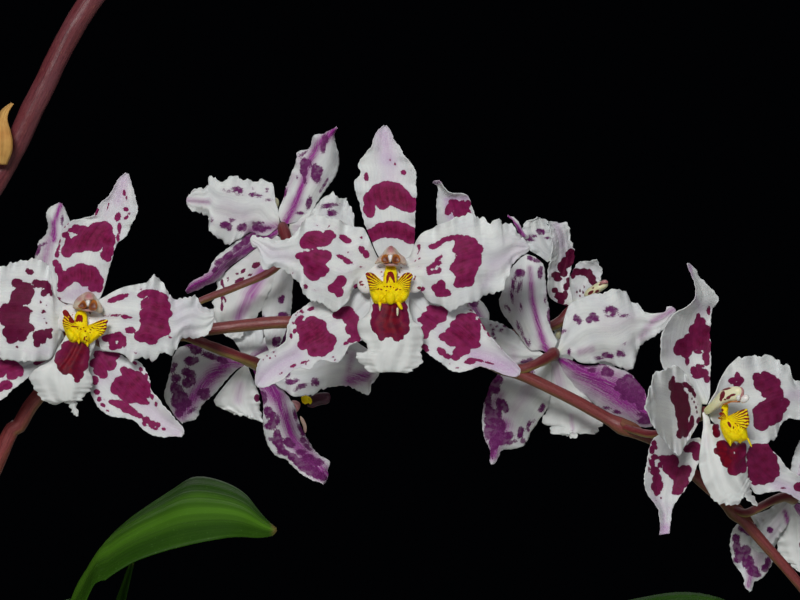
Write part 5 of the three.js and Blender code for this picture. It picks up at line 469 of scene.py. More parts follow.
def soften(P, frac):
    """Low-pass along a line, ends kept."""
    n = len(P)
    k = max(1, int(n * frac))
    w = np.hanning(2 * k + 3)[1:-1]
    w /= w.sum()
    out = np.empty_like(P)
    for c in range(P.shape[1]):
        v = P[:, c]
        idx = np.arange(-k, n + k)
        ext = np.where(idx < 0, 2 * v[0] - v[np.clip(-idx, 0, n - 1)], np.where(idx >= n, 2 * v[-1] - v[np.clip(2 * n - 2 - idx, 0, n - 1)], v[np.clip(idx, 0, n - 1)]))
        out[:, c] = np.convolve(ext, w, 'valid')
    return out


def knots(vals, s):
    """Smooth curve through equally spaced values."""
    v = np.asarray(vals, float)
    n = len(v) - 1
    x = np.clip(np.asarray(s, float), 0, 1) * n
    i = np.minimum(x.astype(int), n - 1)
    f = x - i
    e = np.r_[2 * v[0] - v[1], v, 2 * v[-1] - v[-2]]
    a, b, c, d = e[i], e[i + 1], e[i + 2], e[i + 3]
    return .5 * (2 * b + (c - a) * f + (2 * a - 5 * b + 4 * c - d) * f ** 2 + (3 * b - a - 3 * c + d) * f ** 3)


def through(P, n):
    """Evenly spaced points on a smooth curve through P."""
    P = np.asarray(P, float)
    d = np.r_[0, np.cumsum(np.sqrt((np.diff(P, axis=0) ** 2).sum(1)) ** .5)]
    d /= d[-1]
    e = np.vstack([2 * P[0] - P[1], P, 2 * P[-1] - P[-2]])
    out = []
    for i in range(len(P) - 1):
        for f in np.linspace(0, 1, 13)[:-1]:
            a, b, c, g = e[i], e[i + 1], e[i + 2], e[i + 3]
            out.append(.5 * (2 * b + (c - a) * f + (2 * a - 5 * b + 4 * c - g) * f ** 2 + (3 * b - a - 3 * c + g) * f ** 3))
    out.append(P[-1])
    return along(np.array(out), n)


def blob_field(X, Y, blobs):
    """Depth in mm inside the union of ellipses, negative outside."""
    best = np.full(X.shape, -6.0)
    for x, y, rx, ry, a in blobs:
        a = math.radians(a)
        dx, dy = X - x, Y - y
        ux, uy = dx * math.cos(a) + dy * math.sin(a), -dx * math.sin(a) + dy * math.cos(a)
        r = np.sqrt((ux / rx) ** 2 + (uy / ry) ** 2)
        m = min(rx, ry)
        best = np.maximum(best, np.where(r < 1, (1 - r) * m, (1 - r) * m) * .285)
    return best


def flush_field(X, Y, lines):
    best = np.zeros(X.shape)
    for x1, y1, x2, y2, w, k in lines:
        vx, vy = x2 - x1, y2 - y1
        t = np.clip(((X - x1) * vx + (Y - y1) * vy) / max(vx * vx + vy * vy, 1e-6), 0, 1)
        d = np.hypot(X - x1 - t * vx, Y - y1 - t * vy)
        best = np.maximum(best, k * np.exp(-(d / w) ** 2))
    return best


# ------------------------------------------------------------------ mesh building
COUNT = {}


def piece(name, V, F, mat, attrs=None, smooth=True, replaces=(), uv=None, mats=None, midx=None):
    """V in mm, F = list of arrays of polygons (n, k). Makes the object and rides it on the root body."""
    V = np.asarray(V, float) * .001
    F = [np.asarray(f, int) for f in (F if isinstance(F, list) else [F]) if len(f)]
    me = bpy.data.meshes.new(name)
    me.vertices.add(len(V))
    me.vertices.foreach_set("co", V.ravel())
    loops = np.concatenate([f.ravel() for f in F])
    totals = np.concatenate([np.full(len(f), f.shape[1]) for f in F])
    starts = np.r_[0, np.cumsum(totals)[:-1]]
    me.loops.add(len(loops))
    me.loops.foreach_set("vertex_index", loops)
    me.polygons.add(len(totals))
    me.polygons.foreach_set("loop_start", starts)
    me.polygons.foreach_set("loop_total", totals)
    me.update(calc_edges=True)
    me.validate()
    if smooth:
        me.polygons.foreach_set("use_smooth", np.ones(len(me.polygons), bool))
    for key, val in (attrs or {}).items():
        val = np.asarray(val, float)
        if val.ndim == 1:
            a = me.attributes.new(key, 'FLOAT', 'POINT')
            a.data.foreach_set("value", val)
        else:
            a = me.attributes.new(key, 'FLOAT_VECTOR', 'POINT')
            a.data.foreach_set("vector", val.ravel())
    if uv is not None:
        layer = me.uv_layers.new(name="OFBake")
        layer.data.foreach_set("uv", np.asarray(uv)[loops].ravel())
    for m in (mats or [mat]):
        me.materials.append(m)
    if midx is not None:
        me.polygons.foreach_set("material_index", np.asarray(midx, int))
    o = bpy.data.objects.new(name, me)
    bpy.context.collection.objects.link(o)
    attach(o, "root")
    if replaces:
        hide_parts(*replaces)
    COUNT[name] = sum(len(f) * (f.shape[1] - 2) for f in F)
    return o


def grid_faces(n, m, off=0, flip=False):
    i, j = np.meshgrid(np.arange(n - 1), np.arange(m - 1), indexing='ij')
    a = (i * m + j).ravel() + off
    q = np.stack([a, a + m, a + m + 1, a + 1], -1)
    return q[:, ::-1] if flip else q


def sheet_solid(G, th, view=None):
    """G (n, m, 3) mm: the surface that is looked at; thickness th (n, m) goes behind it. Returns V, F."""
    n, m, _ = G.shape
    a = np.gradient(G, axis=0)
    b = np.gradient(G, axis=1)
    N = np.cross(a, b)
    N /= np.maximum(np.linalg.norm(N, axis=-1, keepdims=True), 1e-9)
    for _ in range(2):
        P = np.pad(N, ((1, 1), (1, 1), (0, 0)), mode='edge')
        N = (P[1:-1, 1:-1] * 2 + P[:-2, 1:-1] + P[2:, 1:-1] + P[1:-1, :-2] + P[1:-1, 2:])
        N /= np.maximum(np.linalg.norm(N, axis=-1, keepdims=True), 1e-9)
    mid = N[n // 2, m // 2]
    sign = 1.0
    if view is not None and np.dot(N.mean((0, 1)), view) < 0:
        sign = -1.0
    B = G - sign * N * th[..., None]
    V = np.concatenate([G.reshape(-1, 3), B.reshape(-1, 3)])
    k = n * m
    front = grid_faces(n, m, 0, flip=sign < 0)
    back = grid_faces(n, m, k, flip=sign > 0)
    rim = []
    top = np.arange(m)
    bot = (n - 1) * m + np.arange(m)
    lef = np.arange(n) * m
    rig = lef + m - 1
    def strip(e, rev):
        q = np.stack([e[:-1], e[1:], e[1:] + k, e[:-1] + k], -1)
        return q[:, ::-1] if rev else q
    s = sign > 0
    rim = [strip(lef, s), strip(rig, not s), strip(top, not s), strip(bot, s)]
    return V, [np.concatenate([front, back] + rim)]


def two_sided_uv(n, m):
    i, j = np.meshgrid(np.linspace(0, 1, n), np.linspace(0, 1, m), indexing='ij')
    f = np.stack([.01 + .48 * j, .01 + .98 * i], -1).reshape(-1, 2)
    b = np.stack([.51 + .48 * j, .01 + .98 * i], -1).reshape(-1, 2)
    return np.concatenate([f, b])


def frames(P):
    T = np.gradient(P, axis=0)
    T /= np.maximum(np.linalg.norm(T, axis=1, keepdims=True), 1e-9)
    n0 = np.cross(T[0], [0, 0, 1.0])
    if np.linalg.norm(n0) < .2:
        n0 = np.cross(T[0], [1.0, 0, 0])
    n0 /= np.linalg.norm(n0)
    Ns = [n0]
    for i in range(1, len(P)):
        v = Ns[-1] - T[i] * np.dot(Ns[-1], T[i])
        Ns.append(v / max(np.linalg.norm(v), 1e-9))
    N = np.array(Ns)
    return T, N, np.cross(T, N)


def tube(P, R, sides=14, wob=0.0, seed=0, squash=None):
    """Closed tube through points P (mm) with radii R. Returns V, F, attrs."""
    P = np.asarray(P, float)
    n = len(P)
    R = np.broadcast_to(np.asarray(R, float), (n,))
    T, N, B = frames(P)
    w = np.arange(sides) / sides * 2 * math.pi
    rng = np.random.RandomState(seed)
    rr = R[:, None] * np.ones((1, sides))
    if wob:
        ph = rng.rand(6) * 6.28
        i = np.arange(n)[:, None]
        rr = rr * (1 + wob * (np.sin(i * .31 + w * 2 + ph[0]) + .6 * np.sin(i * .77 - w * 3 + ph[1]) + .5 * np.sin(i * 1.7 + w + ph[2])))
    D = N[:, None] * np.cos(w)[None, :, None] + B[:, None] * np.sin(w)[None, :, None]
    V = (P[:, None] + D * rr[..., None]).reshape(-1, 3)
    q = []
    i, j = np.meshgrid(np.arange(n - 1), np.arange(sides), indexing='ij')
    a = (i * sides + j).ravel()
    b = (i * sides + (j + 1) % sides).ravel()
    quads = np.stack([a, b, b + sides, a + sides], -1)
    c0, c1 = n * sides, n * sides + 1
    V = np.vstack([V, P[0] - T[0] * R[0] * .35, P[-1] + T[-1] * R[-1] * .35])
    k = np.arange(sides)
    caps = np.concatenate([np.stack([np.full(sides, c0), (k + 1) % sides, k], -1),
                           np.stack([np.full(sides, c1), (n - 1) * sides + k, (n - 1) * sides + (k + 1) % sides], -1)])
    d = np.r_[0, np.cumsum(np.linalg.norm(np.diff(P, axis=0), axis=1))]
    ln = np.concatenate([np.repeat(d, sides), [0, d[-1]]])
    upn = np.concatenate([D[..., 2].ravel(), [0, 0]])
    fr = np.concatenate([np.repeat(np.linspace(0, 1, n), sides), [0, 1]])
    an = np.concatenate([np.tile(w, n), [0, 0]])
    pm = np.stack([ln * .25, np.cos(an) * 2, np.sin(an) * 2 + ln * .01], -1)
    return V, [quads, caps], dict(ln=ln, upn=upn, fr=fr, pm=pm)


def join_parts(parts):
    """parts: list of (V, F, attrs) with the same keys -> one."""
    Vs, Fs, A, off = [], {}, {}, 0
    for V, F, at in parts:
        Vs.append(V)
        for f in F:
            Fs.setdefault(f.shape[1], []).append(f + off)
        for k, v in at.items():
            A.setdefault(k, []).append(v)
        off += len(V)
    return np.vstack(Vs), [np.concatenate(v) for v in Fs.values()], {k: np.concatenate(v) for k, v in A.items()}


# ------------------------------------------------------------------ materials
class Mat:
    def __init__(self, name, rough=.5):
        self.m = bpy.data.materials.new(name)
        self.m.use_nodes = True
        self.nt = self.m.node_tree
        self.nt.nodes.clear()
        out = self.nt.nodes.new("ShaderNodeOutputMaterial")
        self.out = out
        self.b = self.nt.nodes.new("ShaderNodeBsdfPrincipled")
        self.nt.links.new(self.b.outputs[0], out.inputs[0])
        self.b.inputs["Roughness"].default_value = rough

    def put(self, sock, v):
        if isinstance(v, bpy.types.NodeSocket):
            self.nt.links.new(v, sock)
        elif isinstance(v, (tuple, list)):
            sock.default_value = (*v, 1.0) if len(v) == 3 and len(sock.default_value) == 4 else v
        else:
            sock.default_value = v

    def set(self, **kw):
        for k, v in kw.items():
            self.put(self.b.inputs[k.replace("_", " ")], v)

    def attr(self, name, vec=False):
        n = self.nt.nodes.new("ShaderNodeAttribute")
        n.attribute_name = name
        return n.outputs["Vector" if vec else "Fac"]

    def math(self, op, a, b=0.0, c=0.0, clamp=False):
        n = self.nt.nodes.new("ShaderNodeMath")
        n.operation, n.use_clamp = op, clamp
        for s, v in zip(n.inputs, (a, b, c)):
            self.put(s, v)
        return n.outputs[0]

    def add(self, a, b): return self.math('ADD', a, b)
    def sub(self, a, b): return self.math('SUBTRACT', a, b)
    def mul(self, a, b): return self.math('MULTIPLY', a, b)

    def step(self, v, lo, hi, a=0.0, b=1.0):
        n = self.nt.nodes.new("ShaderNodeMapRange")
        n.interpolation_type = 'SMOOTHSTEP'
        for s, x in zip(n.inputs, (v, lo, hi, a, b)):
            self.put(s, x)
        return n.outputs[0]

    def mix(self, f, a, b, kind='MIX'):
        n = self.nt.nodes.new("ShaderNodeMix")
        n.data_type, n.blend_type = 'RGBA', kind
        self.put(n.inputs[0], f)
        self.put(n.inputs[6], a)
        self.put(n.inputs[7], b)
        return n.outputs[2]

    def noise(self, vec, scale, detail=2.0, rough=.5, dist=0.0):
        n = self.nt.nodes.new("ShaderNodeTexNoise")
        self.put(n.inputs["Vector"], vec)
        n.inputs["Scale"].default_value = scale
        n.inputs["Detail"].default_value = detail
        n.inputs["Roughness"].default_value = rough
        n.inputs["Distortion"].default_value = dist
        return n.outputs[0]

    def cells(self, vec, scale, feature='F1', out="Distance", rand=1.0):
        n = self.nt.nodes.new("ShaderNodeTexVoronoi")
        n.feature = feature
        self.put(n.inputs["Vector"], vec)
        n.inputs["Scale"].default_value = scale
        n.inputs["Randomness"].default_value = rand
        return n.outputs[out]

    def scale_vec(self, vec, xyz):
        n = self.nt.nodes.new("ShaderNodeVectorMath")
        n.operation = 'MULTIPLY'
        self.put(n.inputs[0], vec)
        n.inputs[1].default_value = xyz
        return n.outputs[0]

    def objco(self):
        n = self.nt.nodes.new("ShaderNodeTexCoord")
        return n.outputs["Object"]

    def bump(self, h, strength=.3, dist=.0003, prev=None):
        n = self.nt.nodes.new("ShaderNodeBump")
        n.inputs["Strength"].default_value = strength
        n.inputs["Distance"].default_value = dist
        self.put(n.inputs["Height"], h)
        if prev is not None:
            self.put(n.inputs["Normal"], prev)
        return n.outputs[0]


def tepal_material():
    M = Mat("tepal")
    pm, spot, flush, side, edge, vein, base = M.attr("pm", True), M.attr("spot"), M.attr("flush"), M.attr("side"), M.attr("edge"), M.attr("vein", True), M.attr("base")
    fine = M.noise(pm, 2.6, 3, .6)
    mid = M.noise(pm, .75, 2, .5)
    wide = M.noise(pm, .16, 2, .5)
    cell = M.noise(pm, 7.5, 2, .7)
    line = M.noise(vein, 1.0, 2, .5)
    streak = M.noise(vein, 2.2, 3, .65)
    s = M.add(M.add(spot, M.mul(M.sub(fine, .5), .42)), M.mul(M.sub(mid, .5), .55))
    mask = M.step(s, -.035, .085)
    near = M.step(s, -.80, .0)
    # ground colour, finely veined and grained
    white = M.mix(M.step(wide, .3, .7), (.80, .835, .815), (.70, .73, .745))
    white = M.mix(M.mul(M.step(line, .35, .75), .24), white, (.56, .55, .62))
    white = M.mix(M.mul(M.step(cell, .48, .76), .42), white, (.48, .50, .55))
    white = M.mix(M.mul(base, .35), white, (.62, .66, .36))
    # flush: pale lavender in front, violet along the midrib behind
    fl = M.mul(flush, M.add(.80, M.mul(M.sub(fine, .5), 1.3)))
    fs = M.math('MULTIPLY', flush, M.add(M.add(1.0, M.mul(M.sub(streak, .5), 1.7)), M.mul(M.sub(fine, .5), 1.0)), clamp=True)
    front_fl = M.mix(M.math('MULTIPLY', fl, .85, clamp=True), white, (.46, .21, .50))
    back_fl = M.mix(fs, white, M.mix(M.step(line, .35, .7), (.235, .010, .205), (.36, .035, .32)))
    ground = M.mix(side, front_fl, back_fl)
    ground = M.mix(M.mul(near, M.add(.05, M.mul(M.step(cell, .45, .7), .30))), ground, (.44, .17, .44))
    # blotches seen from the front: solid, with a grained rim
    dark = (.110, .003, .028)
    midc = (.270, .010, .088)
    tone = M.math('ADD', M.mul(M.step(mid, .3, .75), .55), M.mul(M.step(cell, .35, .75), .55), clamp=True)
    tone = M.math('ADD', tone, M.mul(M.sub(M.step(line, .3, .7), .5), .35), clamp=True)
    blot = M.mix(tone, dark, midc)
    blot = M.mix(M.mul(M.step(s, 1.9, .5), .30), blot, (.34, .03, .17))
    blot = M.mix(M.mul(M.sub(1.0, M.step(s, .02, .30)), .6), blot, (.20, .010, .085))
    # painted shade: where the 'deep' attribute is set, the blotch colour is pulled darker, to the look of flowers that
    # lie in shade
    blot = M.mix(M.attr("deep"), blot, M.mix(M.step(cell, .35, .75), (.034, .002, .008), (.105, .004, .026)))
    # blotches seen through the back: faded, streaked along the veins
    sb = M.add(M.add(spot, M.mul(M.sub(fine, .5), .9)), M.mul(M.sub(streak, .5), .9))
    keep = M.math('MULTIPLY', M.step(sb, -.22, .10), M.add(.86, M.mul(M.step(mid, .35, .7), .25)), clamp=True)
    faded = M.mix(M.step(cell, .35, .7), (.085, .007, .070), (.215, .030, .185))
    col = M.mix(side, M.mix(mask, ground, blot), M.mix(keep, ground, faded))
    h = M.add(M.mul(cell, .55), M.mul(line, .9))
    M.set(Base_Color=col, Roughness=M.add(.50, M.mul(mask, -.04)), Specular_IOR_Level=.12, Normal=M.bump(h, .55, .00026))
    M.b.inputs["Subsurface Weight"].default_value = .08
    M.b.inputs["Subsurface Radius"].default_value = (.0012, .0008, .0008)
    M.b.inputs["Subsurface Scale"].default_value = 1.0
    return M.m


def lip_material():
    M = Mat("lip")
    pm, spot, flush, side, vein, base = M.attr("pm", True), M.attr("spot"), M.attr("flush"), M.attr("side"), M.attr("vein", True), M.attr("base")
    red = M.attr("redness")
    fine = M.noise(pm, 2.4, 3, .6)
    mid = M.noise(pm, .7, 2, .5)
    wide = M.noise(pm, .16, 2, .5)
    cell = M.noise(pm, 7.0, 2, .7)
    s = M.add(M.add(spot, M.mul(M.sub(fine, .5), .34)), M.mul(M.sub(mid, .5), .5))
    mask = M.step(s, -.03, .07)
    white = M.mix(M.step(wide, .3, .7), (.82, .85, .835), (.74, .77, .765))
    line = M.noise(M.scale_vec(vein, (1, 1, 1)), 1.0, 2, .5)
    white = M.mix(M.mul(M.step(line, .4, .8), .12), white, (.62, .64, .64))
    back_fl = M.mix(M.math('MULTIPLY', flush, M.add(1.2, M.mul(M.sub(line, .5), 2.0)), clamp=True), white, (.42, .07, .40))
    front_fl = M.mix(M.math('MULTIPLY', flush, .5, clamp=True), white, (.55, .35, .55))
    ground = M.mix(side, front_fl, back_fl)
    low = M.mix(M.step(cell, .4, .75), (.17, .006, .055), (.33, .035, .15))
    top = M.mix(M.step(mid, .3, .7), (.20, .004, .016), (.095, .003, .016))
    blot = M.mix(red, low, top)
    blot = M.mix(M.mul(M.sub(1.0, M.step(s, .02, .4)), .4), blot, (.13, .006, .03))
    # painted highlight: pale glints painted into the middle of the lip blotch, standing in for the small specular
    # highlights of its glossy surface
    painted_glint = M.math('MULTIPLY', M.step(cell, .62, .78), M.mul(M.step(wide, .42, .62), M.step(s, .5, 1.6)), clamp=True)
    blot = M.mix(M.mul(painted_glint, .55), blot, (.70, .42, .52))
    col = M.mix(mask, ground, M.mix(M.mul(side, .45), blot, (.16, .03, .11)))
    h = M.add(M.mul(cell, .6), M.mul(line, .5))
    M.set(Base_Color=col, Roughness=M.add(.46, M.mul(mask, -.10)), Specular_IOR_Level=M.add(.24, M.mul(mask, -.10)), Normal=M.bump(h, .5, .00026))
    M.b.inputs["Subsurface Weight"].default_value = .10
    M.b.inputs["Subsurface Radius"].default_value = (.0012, .0008, .0008)
    M.b.inputs["Subsurface Scale"].default_value = 1.0
    return M.m


def crest_material():
    M = Mat("crest")
    pm, ray, rad, spot, wing = M.attr("pm", True), M.attr("ray"), M.attr("rad"), M.attr("spot"), M.attr("wing")
    n = M.noise(pm, 1.3, 3, .6)
    fine = M.noise(pm, 5.0, 2, .6)
    wave = M.math('SINE', M.add(M.mul(ray, 38.0), M.mul(n, 7.0)))
    v = M.add(M.add(M.mul(wave, .85), M.mul(M.sub(rad, .56), 1.8)), M.mul(M.sub(ray, .6), .45))
    rays = M.math('MULTIPLY', M.mul(M.step(v, .0, .30), wing), M.step(rad, .12, .30))
    dots = M.step(M.add(spot, M.mul(M.sub(fine, .5), .12)), -.02, .05)
    yel = M.mix(M.step(n, .3, .7), (1.0, .80, .002), (1.0, .68, .001))
    yel = M.mix(M.mul(M.step(M.noise(pm, .5, 2, .5), .42, .7), .5), yel, (1.0, .90, .02))
    redc = M.mix(M.step(fine, .3, .75), (.15, .006, .006), (.36, .014, .012))
    col = M.mix(M.math('MAXIMUM', rays, dots), yel, redc)
    pale = M.attr("pale")
    col = M.mix(pale, col, (.86, .84, .62))
    M.set(Base_Color=col, Roughness=.42, Specular_IOR_Level=.12, Normal=M.bump(M.add(M.mul(fine, .8), n), .6, .00035))
    M.b.inputs["Subsurface Weight"].default_value = .15
    M.b.inputs["Subsurface Radius"].default_value = (.0014, .0009, .0004)
    M.b.inputs["Subsurface Scale"].default_value = 1.0
    return M.m


def flesh_material(name, light, deep, spots=None, rough=.35):
    """Smooth waxy tissue: light ground, deeper tint by the 'tint' attribute."""
    M = Mat(name)
    pm, tint, spot = M.attr("pm", True), M.attr("tint"), M.attr("spot")
    n = M.noise(pm, 1.1, 3, .6)
    fine = M.noise(pm, 5.5, 2, .6)
    col = M.mix(M.math('ADD', tint, M.mul(M.sub(n, .5), .5), clamp=True), light, deep)
    if spots:
        col = M.mix(M.step(M.add(spot, M.mul(M.sub(fine, .5), .16)), -.02, .05), col, spots)
    M.set(Base_Color=col, Roughness=rough, Specular_IOR_Level=.5, Normal=M.bump(M.add(n, M.mul(fine, .4)), .3, .0003))
    M.b.inputs["Subsurface Weight"].default_value = .15
    M.b.inputs["Subsurface Radius"].default_value = (.0015, .0008, .0005)
    M.b.inputs["Subsurface Scale"].default_value = 1.0
    return M.m


def stem_material(name="spike", green=(.20, .15, .045), red=(.225, .044, .044), dark=(.072, .010, .014), bloom=.0, lean=1.08):
    """Fleshy stem: red-brown, greener underneath, streaked lengthwise."""
    M = Mat(name)
    pm, upn, ln = M.attr("pm", True), M.attr("upn"), M.attr("ln")
    n = M.noise(pm, .35, 3, .6)
    fine = M.noise(pm, 2.4, 3, .65)
    streak = M.noise(M.scale_vec(pm, (.35, 3.0, 3.0)), .9, 2, .5)
    f = M.math('ADD', M.mul(M.add(upn, lean), 1.1), M.mul(M.sub(n, .5), 1.5), clamp=True)
    col = M.mix(f, green, red)
    col = M.mix(M.mul(M.step(streak, .42, .72), .55), col, dark)
    col = M.mix(M.mul(M.step(fine, .54, .70), .26), col, (.34, .13, .09))
    grain = M.noise(pm, 5.5, 2, .6)
    col = M.mix(M.mul(M.step(grain, .50, .66), .42), col, (.040, .006, .010))
    if bloom:
        col = M.mix(M.mul(M.step(n, .35, .7), bloom), col, (.30, .20, .24))
    M.set(Base_Color=col, Roughness=M.add(.30, M.mul(n, .15)), Specular_IOR_Level=.36, Normal=M.bump(M.add(streak, M.mul(fine, .7)), .42, .0003))
    return M.m


def leaf_material():
    M = Mat("leaf")
    vein, side, fr, pm, pos = M.attr("vein", True), M.attr("side"), M.attr("fr"), M.attr("pm", True), M.attr("acr")
    lines = M.noise(vein, 1.0, 2, .6)
    broad = M.noise(pm, .035, 3, .55)
    fine = M.noise(pm, .9, 3, .6)
    g = M.mix(M.step(broad, .3, .7), (.010, .044, .002), (.022, .072, .003))
    # painted highlight: a lighter green band along the middle of each leaf, where light catches the raised ridge
    painted_highlight_band = M.math('MULTIPLY', M.step(M.math('ABSOLUTE', M.add(M.sub(pos, .06), M.mul(M.sub(broad, .5), .5))), .62, .10), M.step(fr, .10, .62), clamp=True)
    g = M.mix(M.mul(painted_highlight_band, M.add(.45, M.mul(broad, .8))), g, (.080, .215, .012))
    specks = M.step(M.noise(pm, 1.6, 2, .5), .66, .72)
    g = M.mix(M.mul(specks, .35), g, (.12, .26, .06))
    g = M.mix(M.mul(M.step(lines, .44, .72), .16), g, (.075, .190, .018))
    dark = M.step(lines, .56, .34)
    g = M.mix(M.mul(dark, .30), g, (.012, .046, .003))
    mid = M.step(M.math('ABSOLUTE', pos), .10, .0)
    g = M.mix(M.mul(mid, .45), g, (.014, .050, .004))
    g = M.mix(M.mul(side, .12), g, (.06, .13, .02))
    tip = M.step(M.add(fr, M.mul(M.sub(fine, .5), .02)), .985, .999)
    g = M.mix(M.mul(tip, .8), g, (.20, .13, .05))
    M.set(Base_Color=g, Roughness=M.add(.38, M.mul(fine, .16)), Specular_IOR_Level=.07, Normal=M.bump(M.add(M.mul(lines, 1.0), M.mul(fine, .35)), .4, .0005))
    M.b.inputs["Subsurface Weight"].default_value = .05
    M.b.inputs["Subsurface Radius"].default_value = (.001, .002, .0005)
    M.b.inputs["Subsurface Scale"].default_value = 1.0
    return M.m


def bulb_material():
    M = Mat("pseudobulb")
    co, upn, rib = M.objco(), M.attr("fr"), M.attr("rib")
    n = M.noise(co, 42, 4, .6)
    fine = M.noise(co, 420, 3, .6)
    g = M.mix(M.step(n, .3, .7), (.17, .26, .045), (.26, .33, .075))
    g = M.mix(M.mul(M.step(rib, .55, 1.0), .5), g, (.11, .185, .03))
    g = M.mix(M.mul(M.step(upn, .75, 1.0), .5), g, (.30, .27, .10))
    g = M.mix(M.mul(M.step(M.noise(co, 130, 3, .6), .60, .68), .7), g, (.085, .055, .022))
    g = M.mix(M.mul(M.step(fine, .62, .8), .18), g, (.36, .38, .18))
    M.set(Base_Color=g, Roughness=.42, Specular_IOR_Level=.45, Normal=M.bump(M.add(n, M.mul(fine, .25)), .3, .0006))
    return M.m


def husk_material(name="husk", a=(.46, .33, .17), b=(.24, .14, .065)):
    M = Mat(name)
    vein, pm = M.attr("vein", True), M.attr("pm", True)
    lines = M.noise(vein, 1.0, 3, .6)
    n = M.noise(pm, .12, 3, .6)
    col = M.mix(M.step(n, .3, .7), a, b)
    col = M.mix(M.mul(M.step(lines, .45, .7), .55), col, tuple(x * .45 for x in b))
    M.set(Base_Color=col, Roughness=.72, Specular_IOR_Level=.25, Normal=M.bump(lines, .5, .0006))
    return M.m


def bark_material():
    M = Mat("bark")
    co, tone = M.objco(), M.attr("tone")
    n = M.noise(co, 160, 4, .65)
    f = M.noise(co, 900, 3, .6)
    streak = M.noise(M.scale_vec(co, (1, 3.2, 1.4)), 210, 3, .6)
    c = M.mix(tone, (.075, .036, .017), (.225, .115, .055))
    c = M.mix(M.mul(M.step(streak, .4, .7), .55), c, (.03, .014, .008))
    c = M.mix(M.mul(M.step(n, .6, .75), .5), c, (.30, .19, .11))
    M.set(Base_Color=c, Roughness=.88, Specular_IOR_Level=.2, Normal=M.bump(M.add(M.mul(streak, 1.2), M.mul(f, .35)), .8, .0011))
    return M.m


def root_material():
    M = Mat("root")
    co, fr = M.objco(), M.attr("fr")
    n = M.noise(co, 120, 4, .6)
    f = M.noise(co, 700, 3, .6)
    c = M.mix(M.step(n, .3, .7), (.50, .48, .38), (.34, .29, .19))
    c = M.mix(M.mul(M.step(f, .55, .75), .5), c, (.22, .17, .10))
    c = M.mix(M.mul(M.step(fr, .93, 1.0), .7), c, (.30, .38, .12))
    M.set(Base_Color=c, Roughness=.8, Specular_IOR_Level=.25, Normal=M.bump(M.add(n, f), .5, .0004))
    return M.m


def terracotta_material():
    M = Mat("terracotta")
    co = M.objco()
    n = M.noise(co, 26, 5, .62)
    f = M.noise(co, 1100, 3, .65)
    s = M.noise(M.scale_vec(co, (1, 1, 5)), 60, 3, .6)
    pores = M.cells(co, 420)
    sep = M.nt.nodes.new("ShaderNodeSeparateXYZ")
    M.put(sep.inputs[0], co)
    z = sep.outputs["Z"]
    c = M.mix(M.step(n, .3, .72), (.52, .205, .095), (.63, .285, .145))
    c = M.mix(M.mul(M.step(f, .5, .8), .3), c, (.70, .40, .24))
    c = M.mix(M.mul(M.step(M.add(M.noise(co, 48, 5, .7), M.mul(M.step(z, .055, .0), .16)), .56, .70), .55), c, (.74, .62, .50))
    c = M.mix(M.mul(M.step(M.add(n, M.mul(M.step(z, .028, .0), .22)), .60, .80), .5), c, (.30, .12, .06))
    c = M.mix(M.mul(M.step(pores, .10, .02), .5), c, (.30, .11, .05))
    M.set(Base_Color=c, Roughness=.86, Specular_IOR_Level=.25, Normal=M.bump(M.add(M.add(M.mul(s, .8), M.mul(f, .35)), M.mul(M.step(pores, .12, .0), -.4)), .35, .0006))
    return M.m

MT = tepal_material()
ML = lip_material()
MC = crest_material()
M_HOOD = flesh_material("column_hood", (.66, .56, .43), (.46, .17, .19), spots=(.22, .015, .02))
M_CREAM = flesh_material("column_cream", (.80, .78, .52), (.66, .66, .30), spots=(.16, .008, .018))
M_PIT = flesh_material("column_cavity", (.52, .17, .02), (.13, .02, .004), rough=.38)
M_SHOULDER = flesh_material("lip_shoulder", (.78, .80, .78), (.55, .34, .40), spots=(.20, .012, .03))
# dark red lip blotch, made darker still as painted shade: it stands for a lip that lies in shadow behind the spray
M_PLUM_SHADED = flesh_material("lip_dark", (.100, .010, .040), (.040, .004, .016), rough=.38)
M_BEAK = flesh_material("column_beak", (.86, .84, .80), (.74, .66, .64), rough=.28)
MS = stem_material()
MS_DARK = stem_material("spike_dark", (.19, .058, .058), (.165, .036, .044), (.065, .010, .018), bloom=.10)
MS_PED = stem_material("flower_stalk", (.30, .25, .06), (.175, .026, .032), (.070, .009, .015), lean=.92)
MLF = leaf_material()
MB = bulb_material()
MHUSK = husk_material()
MDRY = husk_material("bract_dry", (.72, .43, .13), (.50, .22, .055))
MBRACT = husk_material("bract", (.24, .10, .055), (.13, .032, .026))
MBARK = bark_material()
MROOT = root_material()
MPOT = terracotta_material()
MBUD = flesh_material("bud", (.62, .66, .40), (.36, .12, .22), spots=(.16, .012, .07))


